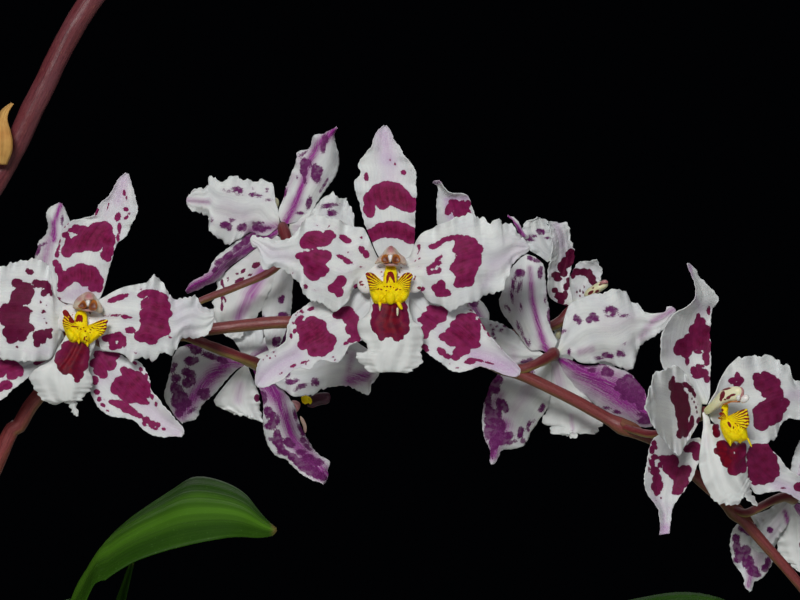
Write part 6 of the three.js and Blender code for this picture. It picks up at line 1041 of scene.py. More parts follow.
# ------------------------------------------------------------------ sepals, petals, lips
def blade_grid(key, n, m, fine=True):
    """Surface grid of one traced sepal, petal or lip, with its fields."""
    fl, back, kind, ruf, teeth, L, R, hL, hR, hM, blobs, lines = SEG[key]
    rng = np.random.RandomState(seed_of(key))
    L = along(chaikin(L, 1), 300)
    R = along(chaikin(R, 1), 300)
    Ls, Rs = soften(L, .09), soften(R, .09)
    s300 = np.linspace(0, 1, 300)
    endk = np.minimum(1, np.minimum(s300, 1 - s300) / .08)[:, None]
    Ls = L + (Ls - L) * endk
    Rs = R + (Rs - R) * endk
    s = np.linspace(0, 1, n)
    if fine:        # toothed margins: irregular points along each one
        nrm = (R - L) / np.maximum(np.linalg.norm(R - L, axis=1, keepdims=True), 1e-6)
        amp = {'petal': 3.1, 'lip': 2.9, 'sepal': 1.2}[kind] * (teeth / .3) ** .5
        for P, sg in ((L, -1), (R, 1)):
            d = np.r_[0, np.cumsum(np.linalg.norm(np.diff(P, axis=0), axis=1))]
            kn = np.cumsum(np.r_[0, 1.5 + 3.0 * rng.rand(int(d[-1] / 1.6) + 4)])
            val = np.where(np.arange(len(kn)) % 2, 1, -1) * (.15 + .85 * rng.rand(len(kn)) ** 1.6)
            big = np.interp(d, np.cumsum(np.r_[0, 5 + 8 * rng.rand(60)]), (rng.rand(61) - .5) * 1.7)
            e = (np.interp(d, kn, val) * .62 + big * .75) * amp
            lo = .30 if kind == 'petal' else (.45 if kind == 'lip' else .12)
            e = e * np.clip((s300 - lo) / .15, 0, 1) * np.clip((1.0 - s300) / .05, 0, 1)
            P += nrm * sg * e[:, None]
    pick = lambda P: np.stack([np.interp(s, s300, P[:, 0]), np.interp(s, s300, P[:, 1])], -1)
    L, R, Ls, Rs = pick(L), pick(R), pick(Ls), pick(Rs)
    t = .5 - .5 * np.cos(np.linspace(0, 1, m) * math.pi)
    t = .45 * t + .55 * np.linspace(0, 1, m)
    S, T = np.meshgrid(s, t, indexing='ij')
    wl, wr = (1 - T) ** 3, T ** 3
    XY = Ls[:, None] * (1 - T)[..., None] + Rs[:, None] * T[..., None] + (L - Ls)[:, None] * wl[..., None] + (R - Rs)[:, None] * wr[..., None]
    width = np.linalg.norm(R - L, axis=1)[:, None] * .285
    a = 2 * T - 1
    h = knots(hL, S) * (1 - T) + knots(hR, S) * T + knots(hM, S) * (1 - a ** 2)
    k = rng.rand(12) * 6.28
    f = 2.2 + rng.rand(4) * 1.6
    grow = np.clip(S / .3, 0, 1) ** 1.2 * (1 - .55 * np.clip((S - .8) / .2, 0, 1))
    wavl = np.sin(S * 6.28 * f[0] + k[0]) * .62 + np.sin(S * 6.28 * f[1] * 2.1 + k[1]) * .42 + np.sin(S * 6.28 * 9.3 + k[2]) * .16
    wavr = np.sin(S * 6.28 * f[2] + k[3]) * .62 + np.sin(S * 6.28 * f[3] * 2.1 + k[4]) * .42 + np.sin(S * 6.28 * 8.7 + k[5]) * .16
    wide_ok = np.clip(width / 9.0, .15, 1)
    h = h + ruf * 1.15 * grow * wide_ok * np.where(a < 0, wavl, wavr) * np.abs(a) ** 2.4
    h = h + ruf * .30 * grow * wide_ok * np.where(a < 0, np.sin(S * 6.28 * 13.1 + k[8]), np.sin(S * 6.28 * 12.3 + k[9])) * np.abs(a) ** 5
    fan = T * 6.28 * (2.3 if kind == 'sepal' else 3.6) + .8 * np.sin(S * 4 + k[10])
    h = h + (.16 if kind == 'sepal' else .26) * wide_ok * np.sin(fan + k[11]) * np.clip(S / .25, 0, 1) * (1 - a ** 4)
    h = h + .35 * ruf * grow * wide_ok * (np.sin(S * 7.5 + T * 3.1 + k[6]) * np.sin(T * 5.2 + k[7]))
    x_mid = a * .5 * width
    sg = -1.0 if not back else 1.0
    groove = np.exp(-(x_mid / .55) ** 2) * np.clip(1.15 - S, 0, 1)
    h = h + sg * (.20 if kind != 'petal' else .10) * groove
    edge = np.minimum(T, 1 - T) * width
    cx, cy, cd = CEN[fl]
    G = place(XY[..., 0], XY[..., 1], cd + h)
    th = (.22 + .38 * (1 - np.abs(a) ** 3)) * (1.25 - .45 * S)
    fields = dict(
        X=XY[..., 0], Y=XY[..., 1], S=S, T=T, edge=edge, x_mid=x_mid,
        spot=blob_field(XY[..., 0], XY[..., 1], blobs),
        flush=flush_field(XY[..., 0], XY[..., 1], lines),
        base=np.clip(1 - S / .10, 0, 1) ** 1.5 * np.exp(-(x_mid / 1.6) ** 2))
    return G, th, fields, (fl, back, kind)


def both(a, b=None):
    a = np.asarray(a, float)
    b = a if b is None else b
    return np.concatenate([a.reshape(-1, *a.shape[2:]), b.reshape(-1, *b.shape[2:])])


def blade(name, key, n, m, xform=None, replaces=(), off=0.0, fine=True, mirror_seed=0):
    G, th, f, (fl, back, kind) = blade_grid(key, n, m, fine)
    view = EYE - G.mean((0, 1))
    if xform is not None:
        G = xform(G)
        cen = place(*CEN[fl])
        view = xform((cen + np.array([0, -60.0, 0]))[None])[0] - xform(cen[None])[0]
    V, F = sheet_solid(G, th, view)
    cx, cy, cd = CEN[fl]
    pm = np.stack([(f['X'] - cx) * .285 + off, (cy - f['Y']) * .285 + off * .37, np.zeros_like(f['X']) + seed_of(name) % 17], -1)
    length = np.linalg.norm(np.diff(G[:, G.shape[1] // 2], axis=0), axis=1).sum()
    vein = np.stack([f['x_mid'] * 1.9 + seed_of(name) % 13, f['S'] * length * .07, np.zeros_like(f['S'])], -1)
    s_front = np.full(f['S'].shape, 1.0 if back else 0.0)
    spot_far = f['spot'] - .05
    attrs = dict(spot=both(f['spot'], spot_far), flush=both(f['flush'], f['flush'] * .6), edge=both(f['edge']), side=both(s_front, 1 - s_front),
                 base=both(f['base']), pm=both(pm), vein=both(vein))
    if kind != 'lip':
        # painted shade: the blotches of f6, f7 and f1's left petal are darkened (the 'deep' attribute) to the look of
        # flowers lying in shade; turned copies get none
        shade_dark = {'f7': .40, 'f6': .75}.get(fl, .0) if xform is None else .0
        if key.startswith('f7_petal_left'):
            shade_dark = .80
        if key.startswith('f1_petal_left'):
            shade_dark = .6
        shade_field = np.full(f['S'].shape, shade_dark)
        attrs['deep'] = both(shade_field)
    if kind == 'lip':
        red = np.clip(1.25 - np.abs(f['T'] - .55) * 2.4, 0, 1) * np.clip((.60 - f['S']) / .18, 0, 1)
        attrs['redness'] = both(red)
    return piece(name, V, F, ML if kind == 'lip' else MT, attrs, replaces=replaces, uv=two_sided_uv(n, m))


# ------------------------------------------------------------------ crest, column and other domed parts
def dome(name, outline, plane, rise, mat, centre=None, back=.5, rings=12, around=72, power=.5, blobs=(), ray=None, wing=0.0, pale=0.0, tint=None,
         xform=None, slot='lip', replaces=(), fl='f3', round_it=2, rough=0.0, make=True):
    """Closed domed part: its outline in grid units, a plane (depth, slope across, slope down) and a rise in mm."""
    O = along(chaikin(outline, round_it, closed=True), around, closed=True)
    c = np.array(centre if centre is not None else O.mean(0), float)
    r = np.sin(np.linspace(0, 1, rings + 1)[1:] * math.pi / 2)
    P = c + (O - c)[None] * r[:, None, None]
    cx, cy, cd = CEN[fl]
    base = lambda X, Y: cd + plane[0] + plane[1] * (X - c[0]) + plane[2] * (Y - c[1])
    rr = r[:, None] * np.ones((1, around))
    rng = np.random.RandomState(seed_of(name))
    k = rng.rand(4) * 6.28
    H = rise * np.maximum(1 - rr ** 2, 0) ** power
    H = H + rough * (1 - rr ** 2) * (np.sin(P[..., 0] * 1.1 + k[0]) * np.sin(P[..., 1] * .9 + k[1]) + .6 * np.sin(P[..., 0] * 2.3 + P[..., 1] * 1.9 + k[2]))
    X = np.concatenate([[c[0]], P[..., 0].ravel()])
    Y = np.concatenate([[c[1]], P[..., 1].ravel()])
    Hf = np.concatenate([[rise], H.ravel()])
    Hb = np.concatenate([[-back], (-back * np.maximum(1 - rr ** 2, 0) ** .5).ravel()])
    A = place(X, Y, base(X, Y) + Hf)
    B = place(X, Y, base(X, Y) + Hb)
    nA = len(X)
    last = 1 + (rings - 1) * around + np.arange(around)
    Bmap = np.arange(nA) + nA
    Bmap[last] = last            # share the rim
    keep = np.ones(2 * nA, bool)
    keep[last + nA] = False
    new = np.cumsum(keep) - 1
    j = np.arange(around)
    j2 = (j + 1) % around
    q, t = [], []
    t.append(np.stack([np.zeros(around, int), 1 + j, 1 + j2], -1))
    for i in range(rings - 1):
        a, b = 1 + i * around, 1 + (i + 1) * around
        q.append(np.stack([a + j, b + j, b + j2, a + j2], -1))
    q, t = np.concatenate(q), np.concatenate(t)
    area = np.sum(O[:, 0] * np.roll(O[:, 1], -1) - np.roll(O[:, 0], -1) * O[:, 1])
    if area < 0:        # outline runs the other way round
        pass
    else:
        q, t = q[:, ::-1], t[:, ::-1]
    qb, tb = Bmap[q][:, ::-1], Bmap[t][:, ::-1]
    V = np.concatenate([A, B])[keep]
    q, t = new[np.concatenate([q, qb])], new[np.concatenate([t, tb])]
    if xform is not None:
        V = xform(V)
    XX, YY = np.concatenate([X, X])[keep], np.concatenate([Y, Y])[keep]
    R2 = np.concatenate([[0], rr.ravel()])
    R2 = np.concatenate([R2, R2])[keep]
    attrs = dict(pm=np.stack([(XX - cx) * .285, (cy - YY) * .285, np.full(XX.shape, float(seed_of(name) % 23))], -1),
                 spot=blob_field(XX, YY, blobs), wing=np.full(XX.shape, float(wing)), pale=np.full(XX.shape, float(pale)) if np.isscalar(pale) else pale(XX, YY, R2),
                 tint=np.zeros(XX.shape) if tint is None else np.clip(tint(XX, YY, R2), 0, 1))
    if ray is not None:
        ox, oy, sx, far = ray
        attrs['ray'] = np.arctan2(-(YY - oy), sx * (XX - ox))
        attrs['rad'] = np.hypot(XX - ox, YY - oy) / far
    else:
        attrs['ray'] = np.zeros(XX.shape)
        attrs['rad'] = np.zeros(XX.shape)
    if not make:
        return V, [q, t], attrs
    return piece(name, V, [q, t], mat, attrs, replaces=replaces)


def crest_and_column(tag, parts, fl, xform=None, light=False, lip_node=None, column_node=None):
    """parts: list of dicts for dome(); grouped by material into one piece each."""
    groups = {}
    for p in parts:
        p = dict(p)
        mat = p.pop('mat')
        if light:
            p['rings'], p['around'] = 4, 18
        else:
            p.setdefault('rings', 8)
            p.setdefault('around', 52)
        nm = p.pop('name')
        groups.setdefault(mat, []).append(dome(tag + nm, p.pop('outline'), p.pop('plane'), p.pop('rise'), None, fl=fl, xform=xform, make=False, **p))
    mats = dict(crest=(MC, 'lip', 'crest'), hood=(M_HOOD, 'column', 'column_hood'), cream=(M_CREAM, 'column', 'column_arm'), pit=(M_PIT, 'column', 'column_cavity'),
                beak=(M_BEAK, 'column', 'column_beak'), white=(M_SHOULDER, 'lip', 'lip_shoulder'), plum_shaded=(M_PLUM_SHADED, 'lip', 'lip_dark'))
    done = []
    for k, lst in groups.items():
        V, F, at = join_parts(lst)
        m, slot, nm = mats[k]
        rep = (column_node,) if column_node and k in ('hood', 'cream') and not any(d == 'col' for d in done) else ()
        if rep:
            done.append('col')
        piece(f"{tag}_{nm}", V, F, m, at, replaces=rep)


F3_PARTS = [
    dict(name='shoulder', mat='white', outline=[(366, 270), (376, 264), (384, 262.6), (391, 262.4), (397, 262.6), (405, 264), (414, 269), (420, 277), (423, 286), (419, 293), (408, 293), (391, 290), (374, 293), (363, 294), (356.5, 287), (359, 278)], plane=(1.2, 0, .06), rise=2.4, back=1.4, rings=14, around=80, tint=lambda X, Y, R: .12 + 0 * X,
         blobs=[(381.6, 272, .9, 2.6, 20), (399.6, 271.6, .9, 2.6, -20), (382.4, 277.4, .8, 1.6, 0), (398.6, 277, .8, 1.6, 0), (380, 267.6, .8, 1.2, 30), (401, 267.4, .8, 1.2, -30), (361.5, 284.5, 3.4, 1.3, 8), (360.5, 282, 2.6, 1.0, -20), (364.5, 287, 1.6, .8, 20), (414.4, 279, 1.0, 2.8, 35), (419.4, 288, 2.6, 1.8, 20), (412, 286.6, .7, 1.0, 0), (415.4, 275.6, .8, 1.6, 40)]),
    dict(name='neck', mat='crest', outline=[(386, 265.2), (389, 264.6), (392, 264.6), (395.6, 265.5), (396.4, 269), (397.6, 274), (397.4, 279), (396.4, 285), (392, 287.6), (387, 287), (384, 285), (383.0, 279), (383.6, 273), (385.4, 269)], plane=(4.6, 0, .15), rise=1.3,
         blobs=[(387.6, 278, 1.5, 4.2, 6), (393.2, 277.6, 1.5, 4.4, -8), (390.4, 273.6, 3.2, 2.2, 0), (391.4, 276.4, 1.2, 2.4, -20), (387.0, 282.4, .9, 1.2, 0), (394.4, 281.8, .9, 1.4, 0), (383.9, 275, .5, 2.6, 0), (397.0, 276, .5, 2.6, 0), (389.4, 281.4, .5, 1.4, 0)]),
    dict(name='body', mat='crest', outline=[(368.6, 284), (372, 281), (378, 280.5), (384, 281), (390, 282), (396, 281), (402, 280.5), (407, 281), (410.4, 284), (410.2, 290), (408.6, 297), (405, 301), (401, 304), (398.5, 304.6), (395.5, 304), (393.5, 305.4), (391, 306.2), (388.8, 304.8),
         (386.5, 303.8), (384, 305), (381.5, 304), (379, 303.8), (376, 304.2), (373, 302.5), (371.2, 297.5), (369.4, 291)], plane=(4.6, 0, .02), rise=3.0, rings=22, around=120, power=.55, rough=.30,
         blobs=[(387.2, 286.6, 1.1, .9, 0), (390.6, 286.6, 1.0, .9, 0), (381.4, 289.6, 1.2, 1.0, 30), (386.2, 290.6, 1.1, .8, 0), (396, 290, 1.2, .9, -40), (384.2, 286.4, .8, .7, 0), (393.6, 287.6, .7, .6, 0), (398.6, 289, .7, 1.6, -40), (378.4, 289, .8, 1.6, 50),
                (377, 289.5, .9, .5, 0), (400.5, 289.5, .9, .6, 0), (403, 287.6, .9, .5, 0), (388.8, 288.6, .5, .4, 0), (375, 286.5, 2.6, .7, 20), (404.5, 285.5, 2.6, .7, -20), (372, 283.5, 2.6, .7, 10), (407.5, 283, 2.4, .7, -10)]),
    dict(name='wingl', mat='crest', outline=[(365.2, 273.6), (367.4, 272.2), (371.4, 272.4), (375, 274.4), (379, 278), (383, 282), (386, 286), (383, 291), (378, 292), (373, 291), (369.8, 289.5), (368.4, 285), (367, 279.4), (366, 276.5)], plane=(6.6, -.10, -.03), rise=.8, back=.9,
         ray=(386, 287, -1, 21), wing=1.0),
    dict(name='wingr', mat='crest', outline=[(413.2, 275.6), (411.4, 273.2), (408, 272.2), (404, 273.4), (400, 277.2), (397, 281.6), (394.6, 286), (397, 291), (402, 292), (406.6, 291), (409.8, 289), (410.6, 284.6), (411.2, 280), (412.6, 278)], plane=(6.6, .10, -.03), rise=.8, back=.9,
         ray=(394.6, 287, 1, 20), wing=1.0),
    dict(name='toothl', mat='crest', outline=[(377.6, 302), (381.6, 302), (381.4, 306), (380.2, 311.4), (379.2, 311), (378.8, 306)], plane=(6.4, 0, .05), rise=.7, pale=lambda X, Y, R: np.clip((Y - 305) / 4, 0, 1)),
    dict(name='toothr', mat='crest', outline=[(396, 302), (400, 301.4), (402, 305.4), (403, 309.4), (401, 309.8), (398, 307)], plane=(6.6, 0, .05), rise=.7),
    dict(name='toothc', mat='crest', outline=[(396.4, 307.6), (398.4, 307.6), (398.8, 311), (398.2, 315.6), (397, 316.2), (396.2, 313)], plane=(7.6, 0, .04), rise=.6, pale=1.0),
    dict(name='knobl', mat='crest', outline=[(371, 293), (376, 292), (380, 295), (380, 300), (376, 303), (372, 300)], plane=(5.6, .05, 0), rise=1.7),
    dict(name='knobr', mat='crest', outline=[(408.6, 293), (404, 292), (400, 295), (400, 300), (404, 302), (407.6, 299)], plane=(5.6, -.05, 0), rise=1.7),
    dict(name='knobm', mat='crest', outline=[(386, 292), (394, 292), (396, 298), (393, 304.6), (388, 304.4), (384.6, 298)], plane=(7.0, 0, 0), rise=1.5),
    dict(name='hood', mat='hood', outline=[(391, 245.4), (394.4, 247), (397.4, 250.4), (400, 254), (404, 256.2), (406.2, 260), (407, 265.2), (404, 265), (401, 263.6), (398.6, 265.6), (391, 266.6), (384, 265.6), (380.6, 263), (377.6, 263.6), (374.2, 264.6), (376, 260.4), (379.6, 256), (382.4, 254),
         (384.6, 250.4), (387.6, 247)], plane=(3.8, 0, .10), rise=3.4, back=2.0, centre=(390.6, 256), tint=lambda X, Y, R: .95 * np.exp(-((X - 391) / 3.6) ** 2 - ((Y - 246) / 4.5) ** 2) + .65 * np.clip((Y - 262.6) / 3, 0, 1) + .35 * (np.abs(X - 391) > 8) * (Y < 262)),
    dict(name='pitl', mat='pit', outline=[(382.4, 255.6), (385.4, 254), (388.2, 255.6), (389.2, 259), (389, 262.6), (386, 263.4), (382.2, 262.4), (380.8, 259)], plane=(8.5, .05, .03), rise=-.5, back=2.2, tint=lambda X, Y, R: np.clip(1.25 * (1 - R ** 2) + .35 * (Y - Y.mean()) / 3.5, 0, 1)),
    dict(name='pitr', mat='pit', outline=[(393, 255.4), (396.4, 253.8), (399.2, 255.6), (400.4, 259), (399.6, 262.4), (396, 263.6), (392.6, 262.8), (392, 259)], plane=(8.5, -.05, .03), rise=-.5, back=2.2, tint=lambda X, Y, R: np.clip(1.25 * (1 - R ** 2) + .35 * (Y - Y.mean()) / 3.5, 0, 1)),
    dict(name='cap', mat='hood', outline=[(384, 255.6), (386.4, 250.6), (389, 247.4), (391.4, 246.8), (394, 248.6), (396.6, 252), (397.2, 254.8), (393.6, 255.8), (392, 257), (388.6, 257), (387, 255.6)], plane=(6.8, 0, .12), rise=1.5, back=1.6, tint=lambda X, Y, R: .9 * np.exp(-((X - 391) / 4) ** 2 - ((Y - 249) / 4) ** 2) + .2),
    dict(name='beak', mat='beak', outline=[(387.6, 255.4), (391, 254.2), (393, 255.6), (392.2, 259.4), (390.8, 262.8), (389.4, 262.4), (388.2, 259)], plane=(8.4, 0, .05), rise=1.0),
    dict(name='sill', mat='hood', outline=[(383.6, 263.2), (387, 262.8), (391, 263.4), (395, 262.8), (398.6, 263.2), (397.6, 265.6), (391, 266.6), (385, 265.8)], plane=(7.2, 0, .0), rise=.8, tint=lambda X, Y, R: .75 + 0 * X),
]
F1_PARTS = [
    dict(name='shoulder', mat='white', outline=[(54, 318), (56, 310), (63, 305), (72, 304), (82, 305), (92, 307), (101, 312), (108, 318), (112, 326), (108, 334), (97, 336), (82, 334), (70, 334), (60, 330), (55, 325)], plane=(1.0, 0, .06), rise=2.2, back=1.4, rings=14, around=80, tint=lambda X, Y, R: .12 + 0 * X,
         blobs=[(72.6, 314, .9, 2.4, 20), (90, 313, .9, 2.4, -20), (89.6, 318, .9, 1.6, -20)]),
    dict(name='neck', mat='crest', outline=[(74.4, 325), (74.2, 319), (75.2, 313.6), (78.2, 310.4), (82, 309.6), (85.4, 311.4), (87.2, 315.4), (87.6, 320), (87.4, 327), (82, 329), (76, 328)], plane=(4.6, 0, .15), rise=1.3,
         blobs=[(77.6, 318.6, 1.5, 3.8, 8), (81.6, 318.6, 1.4, 4.0, -4), (79.6, 315.8, 2.6, 1.2, 0), (79.6, 319.5, 1.3, 2.8, 0), (75.8, 321, .7, 1.2, 0)]),
    dict(name='body', mat='crest', outline=[(62.2, 321), (66, 320), (72, 323), (78, 325), (85, 325.6), (92, 325), (98, 326), (103, 328), (103.6, 332), (101, 335.6), (97.6, 338.6), (94, 341), (91, 343.4), (88.6, 344.6), (85.6, 344.8), (82.8, 342.6), (80.4, 342), (78.6, 343.4), (76.4, 341.4), (73.6, 343), (70.6, 342.2), (67.2, 338), (65, 332), (63, 327)],
         plane=(4.6, 0, .02), rise=3.0, rings=22, around=120, power=.55, rough=.30,
         blobs=[(78.6, 325.4, 1.1, .8, 0), (80.8, 329, 1.0, .8, 20), (85.3, 331.2, 1.0, .9, 0), (83.8, 327, .7, 1.4, 20), (77.6, 328.6, .9, .7, 0), (90, 332.4, .9, .8, 0), (84.4, 338.6, .9, 2.6, 10), (86.4, 340.6, 1.1, 1.0, 0), (86.2, 336.8, 1.2, .7, -30), (79.6, 337.4, .6, 1.4, 10), (81.8, 332.6, .6, .9, 0),
                (74, 326.6, 5.4, .8, 4), (73.4, 323.6, 3.4, 1.6, 10), (90.6, 329.6, 1.8, .6, 40), (92.6, 327.6, 2.4, .7, 35)]),
    dict(name='wingl', mat='crest', outline=[(62.2, 311.4), (64.8, 309.2), (67.8, 310.8), (70.2, 315), (73, 319), (76.6, 323.6), (78, 328), (73, 330.5), (67.6, 330), (63.6, 326), (62, 321), (64, 316.6), (62.8, 313.6)], plane=(6.6, -.10, -.03), rise=.9, back=.9, ray=(78.5, 328, -1, 21), wing=1.0,
         blobs=[(66, 313, 3.2, 4.0, -30), (71.6, 320, 2.6, 3.6, -40)]),
    dict(name='wingr', mat='crest', outline=[(87.4, 325.4), (93, 323.4), (99, 320.4), (104, 319.2), (108.6, 319.8), (107.8, 322), (106.4, 324), (107.2, 326.4), (106, 330), (104, 333.6), (100, 337), (95, 336.4), (90, 332), (87, 329)], plane=(6.2, .09, -.03), rise=.9, back=.9, ray=(86, 328, 1, 22), wing=1.0),
    dict(name='tooth1', mat='crest', outline=[(77, 340), (80.6, 339), (79.8, 343), (78.8, 344.4), (77.8, 343)], plane=(6.6, 0, .05), rise=.7),
    dict(name='tooth2', mat='crest', outline=[(85, 342), (88.8, 341), (89, 344.6), (87.8, 347.4), (86.4, 345.6)], plane=(6.8, 0, .05), rise=.7),
    dict(name='knobl', mat='crest', outline=[(66, 331), (71, 330), (75, 333), (75, 339), (71, 341.4), (68, 338)], plane=(5.8, .05, 0), rise=1.6),
    dict(name='knobr', mat='crest', outline=[(101, 331), (96, 331), (92, 334), (92, 340), (96, 339), (100, 335.4)], plane=(5.8, -.05, 0), rise=1.6),
    dict(name='knobm', mat='crest', outline=[(79, 330), (87, 330), (90, 336), (88, 343.6), (82, 342), (78.6, 337)], plane=(7.0, 0, 0), rise=1.5,
         blobs=[(84.4, 338.6, .9, 2.6, 10), (86.4, 340.6, 1.1, 1.0, 0), (86.2, 336.8, 1.2, .7, -30), (85.3, 331.2, 1.0, .9, 0)]),
    dict(name='hood', mat='hood', outline=[(72.2, 307), (73.6, 302.6), (77, 297.6), (82, 293.8), (87.6, 291.2), (92, 292.2), (95.4, 295.6), (97.4, 299.4), (101, 303.4), (103.2, 308), (102.2, 312.8), (99, 313), (95, 311), (89, 311.6), (83, 310.8), (78, 309), (74.6, 309.6)], plane=(3.8, 0, .10), rise=3.4, back=2.0, centre=(87.6, 302),
         tint=lambda X, Y, R: .9 * np.exp(-((X - 89) / 4.6) ** 2 - ((Y - 295.5) / 4.5) ** 2) + .75 * np.exp(-((X - 79.5) / 4) ** 2 - ((Y - 299) / 3) ** 2) + .6 * np.clip((Y - 307.6) / 3, 0, 1) * (X < 97)),
    dict(name='pitl', mat='pit', outline=[(80, 303), (83.4, 299.6), (85.8, 302.4), (87, 306.4), (84.6, 308.8), (80.6, 308), (77.4, 306.6)], plane=(8.5, .05, .03), rise=-.5, back=2.2, tint=lambda X, Y, R: np.clip(1.25 * (1 - R ** 2) + .35 * (Y - Y.mean()) / 3.5, 0, 1)),
    dict(name='pitr', mat='pit', outline=[(91, 301.6), (93.6, 299.2), (96.4, 301), (97.6, 305), (96.6, 309.4), (92.6, 310), (88.6, 309), (89.4, 305)], plane=(8.5, -.05, .03), rise=-.5, back=2.2, tint=lambda X, Y, R: np.clip(1.25 * (1 - R ** 2) + .35 * (Y - Y.mean()) / 3.5, 0, 1)),
    dict(name='cap', mat='hood', outline=[(83, 299.4), (85, 295), (88, 292.6), (91.4, 293), (94, 296), (95, 299.4), (92, 300.6), (89, 301.6), (86, 301)], plane=(6.8, 0, .12), rise=1.5, back=1.6, tint=lambda X, Y, R: .9 * np.exp(-((X - 89) / 4) ** 2 - ((Y - 296) / 4) ** 2) + .2),
    dict(name='beak', mat='beak', outline=[(85.6, 300.6), (88.4, 299.6), (90.6, 300.8), (90, 304), (88.6, 306.8), (87, 306.4), (85.8, 303.4)], plane=(8.4, 0, .05), rise=1.0),
    dict(name='sill', mat='hood', outline=[(80.4, 308.4), (85, 308.6), (90, 309.4), (95, 309.2), (94.6, 311), (89, 312), (83, 311)], plane=(7.2, 0, .0), rise=.8, tint=lambda X, Y, R: .7 + 0 * X),
]
F7_PARTS = [
    dict(name='neck', mat='crest', outline=[(722.6, 403.6), (726, 403), (728.6, 405), (728.4, 409), (728, 413), (729, 418), (727.6, 423), (724, 424), (721.6, 419), (722, 413), (721, 408)], plane=(4.2, 0, .03), rise=1.2, blobs=[(722.4, 410, 1.3, 1.6, 0)]),
    dict(name='body', mat='crest', outline=[(720.4, 419.4), (726, 417.6), (733, 418.6), (740, 421), (745, 425), (747, 430), (747.6, 434), (748.4, 438.6), (746, 440.6), (742, 441.6), (740.6, 444), (738.4, 442.6), (735.4, 440.8), (732.4, 443), (730.4, 446.4), (728, 443), (724.6, 438.4), (721.2, 430.6), (719.8, 424)],
         plane=(4.4, .03, .0), rise=2.8, rings=22, around=120, power=.55, rough=.28,
         blobs=[(729.4, 424.5, 1.5, 3.6, -28), (733.4, 427.6, .8, 1.6, 10), (737.4, 425.6, .6, 1.2, -30), (740.4, 427.6, .5, 1.0, -30), (738.6, 430.4, .5, .8, 0), (735.6, 423.6, .6, 1.4, -50), (742.6, 425, .6, .9, -30)]),
    dict(name='wingr', mat='crest', outline=[(726.6, 417), (733, 413.4), (739, 410.8), (744, 409), (747.6, 408.4), (748, 413), (749.4, 418), (749.6, 423.6), (747.4, 428), (744, 430.4), (740, 427), (734, 423.4), (729, 421.4)], plane=(6.4, .10, -.02), rise=.9, back=.9, ray=(727, 421, 1, 24), wing=1.0),
    dict(name='wingl', mat='crest', outline=[(727, 416), (723.6, 412.4), (719.4, 412.2), (719, 414.6), (721.6, 416), (717.8, 417.6), (718.6, 419.4), (722.6, 419.8), (726, 421)], plane=(5.4, -.06, 0), rise=.6, ray=(729, 421, -1, 9), wing=1.0, round_it=1),
    dict(name='tooth1', mat='crest', outline=[(746.6, 438.6), (748.6, 437.4), (750.4, 441.6), (752.4, 446.8), (751.2, 447.2), (748.6, 443)], plane=(5.4, .02, .03), rise=.5),
    dict(name='tooth2', mat='crest', outline=[(728.6, 441), (731.6, 440.4), (731.6, 444), (730.6, 447), (729.6, 445)], plane=(5.6, 0, .03), rise=.5),
    dict(name='knobm', mat='crest', outline=[(728, 430), (736, 430), (742, 433), (743, 439), (738, 441.6), (731, 441), (727, 436)], plane=(5.8, .02, 0), rise=1.7),
    dict(name='arm', mat='cream', outline=[(703.4, 409.6), (707, 406), (711, 402.2), (715.6, 397), (719.6, 391.6), (724, 388.4), (730, 386.8), (736, 386.2), (740.8, 387), (743.6, 390.4), (743.6, 395), (741, 399.6), (736, 401.4), (731, 401.8), (726.6, 403.6), (722, 405.4), (719.4, 408), (714.4, 410.6), (708.6, 414.6), (705, 414.2)],
         plane=(5.0, .15, -.05), rise=2.6, back=1.8, centre=(724, 398), rings=20, around=120,
         blobs=[(726, 388.9, 5.6, 1.2, -12), (722.4, 395.2, 2.4, 4.6, 18), (720.8, 399.4, 1.4, 2.4, 0), (728.4, 397.6, 2.6, 1.6, -32), (732.6, 395, 3.4, 1.3, -14), (725, 399.6, 1.4, 1.0, 0)],
         tint=lambda X, Y, R: .8 * np.clip((718 - X) / 10, 0, 1)),
    dict(name='rim', mat='hood', outline=[(738.4, 387), (741.6, 386.8), (744.2, 390), (744.2, 394.4), (742, 398.6), (739.4, 401), (738.8, 397), (741.2, 393), (740.8, 389.4)], plane=(8.2, .1, 0), rise=.9, tint=lambda X, Y, R: .9 + 0 * X),
    dict(name='under', mat='pit', outline=[(722, 404.4), (727, 402.4), (731, 400.6), (735, 399.4), (739, 400), (741, 402.4), (737, 402.6), (732, 402), (727.4, 404), (724, 405.6)], plane=(7.2, .1, 0), rise=.5, tint=lambda X, Y, R: .3 + 0 * X),
    dict(name='beak', mat='beak', outline=[(736, 395.4), (739.4, 394), (740.6, 396.4), (739.4, 400.6), (737.4, 401.2), (735.8, 398.6)], plane=(8.8, .1, 0), rise=.9),
    dict(name='cap', mat='beak', outline=[(741.6, 396.4), (745, 394), (748.4, 395), (749.8, 398.4), (747.6, 401.8), (743.4, 403.4), (740.2, 402.4), (740.4, 399)], plane=(8.8, .1, 0), rise=1.2),
    dict(name='foot', mat='white', outline=[(702, 411.6), (706.4, 412.6), (709.6, 418), (710.8, 425), (711.4, 434), (712, 443), (708.6, 448.6), (703.6, 446), (702.2, 437), (703.2, 428), (703, 419)], plane=(1.2, 0, .03), rise=.5, back=1.0),
]


def hero(fl, tag, parts, n, m):
    for key in [k for k in SEG if SEG[k][0] == fl]:
        nm = key[len(fl) + 1:]
        blade(f"{tag}_{nm}_skin", key, n, m, replaces=(f"{tag}_{nm}",))
    crest_and_column(tag, parts, fl, column_node=f"{tag}_column")


NH, MH = ((100, 35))
hero('f3', 'flower_3', F3_PARTS, NH, MH)
hero('f1', 'flower_1', F1_PARTS, NH, MH)
hero('f7', 'flower_7', F7_PARTS, NH, MH)

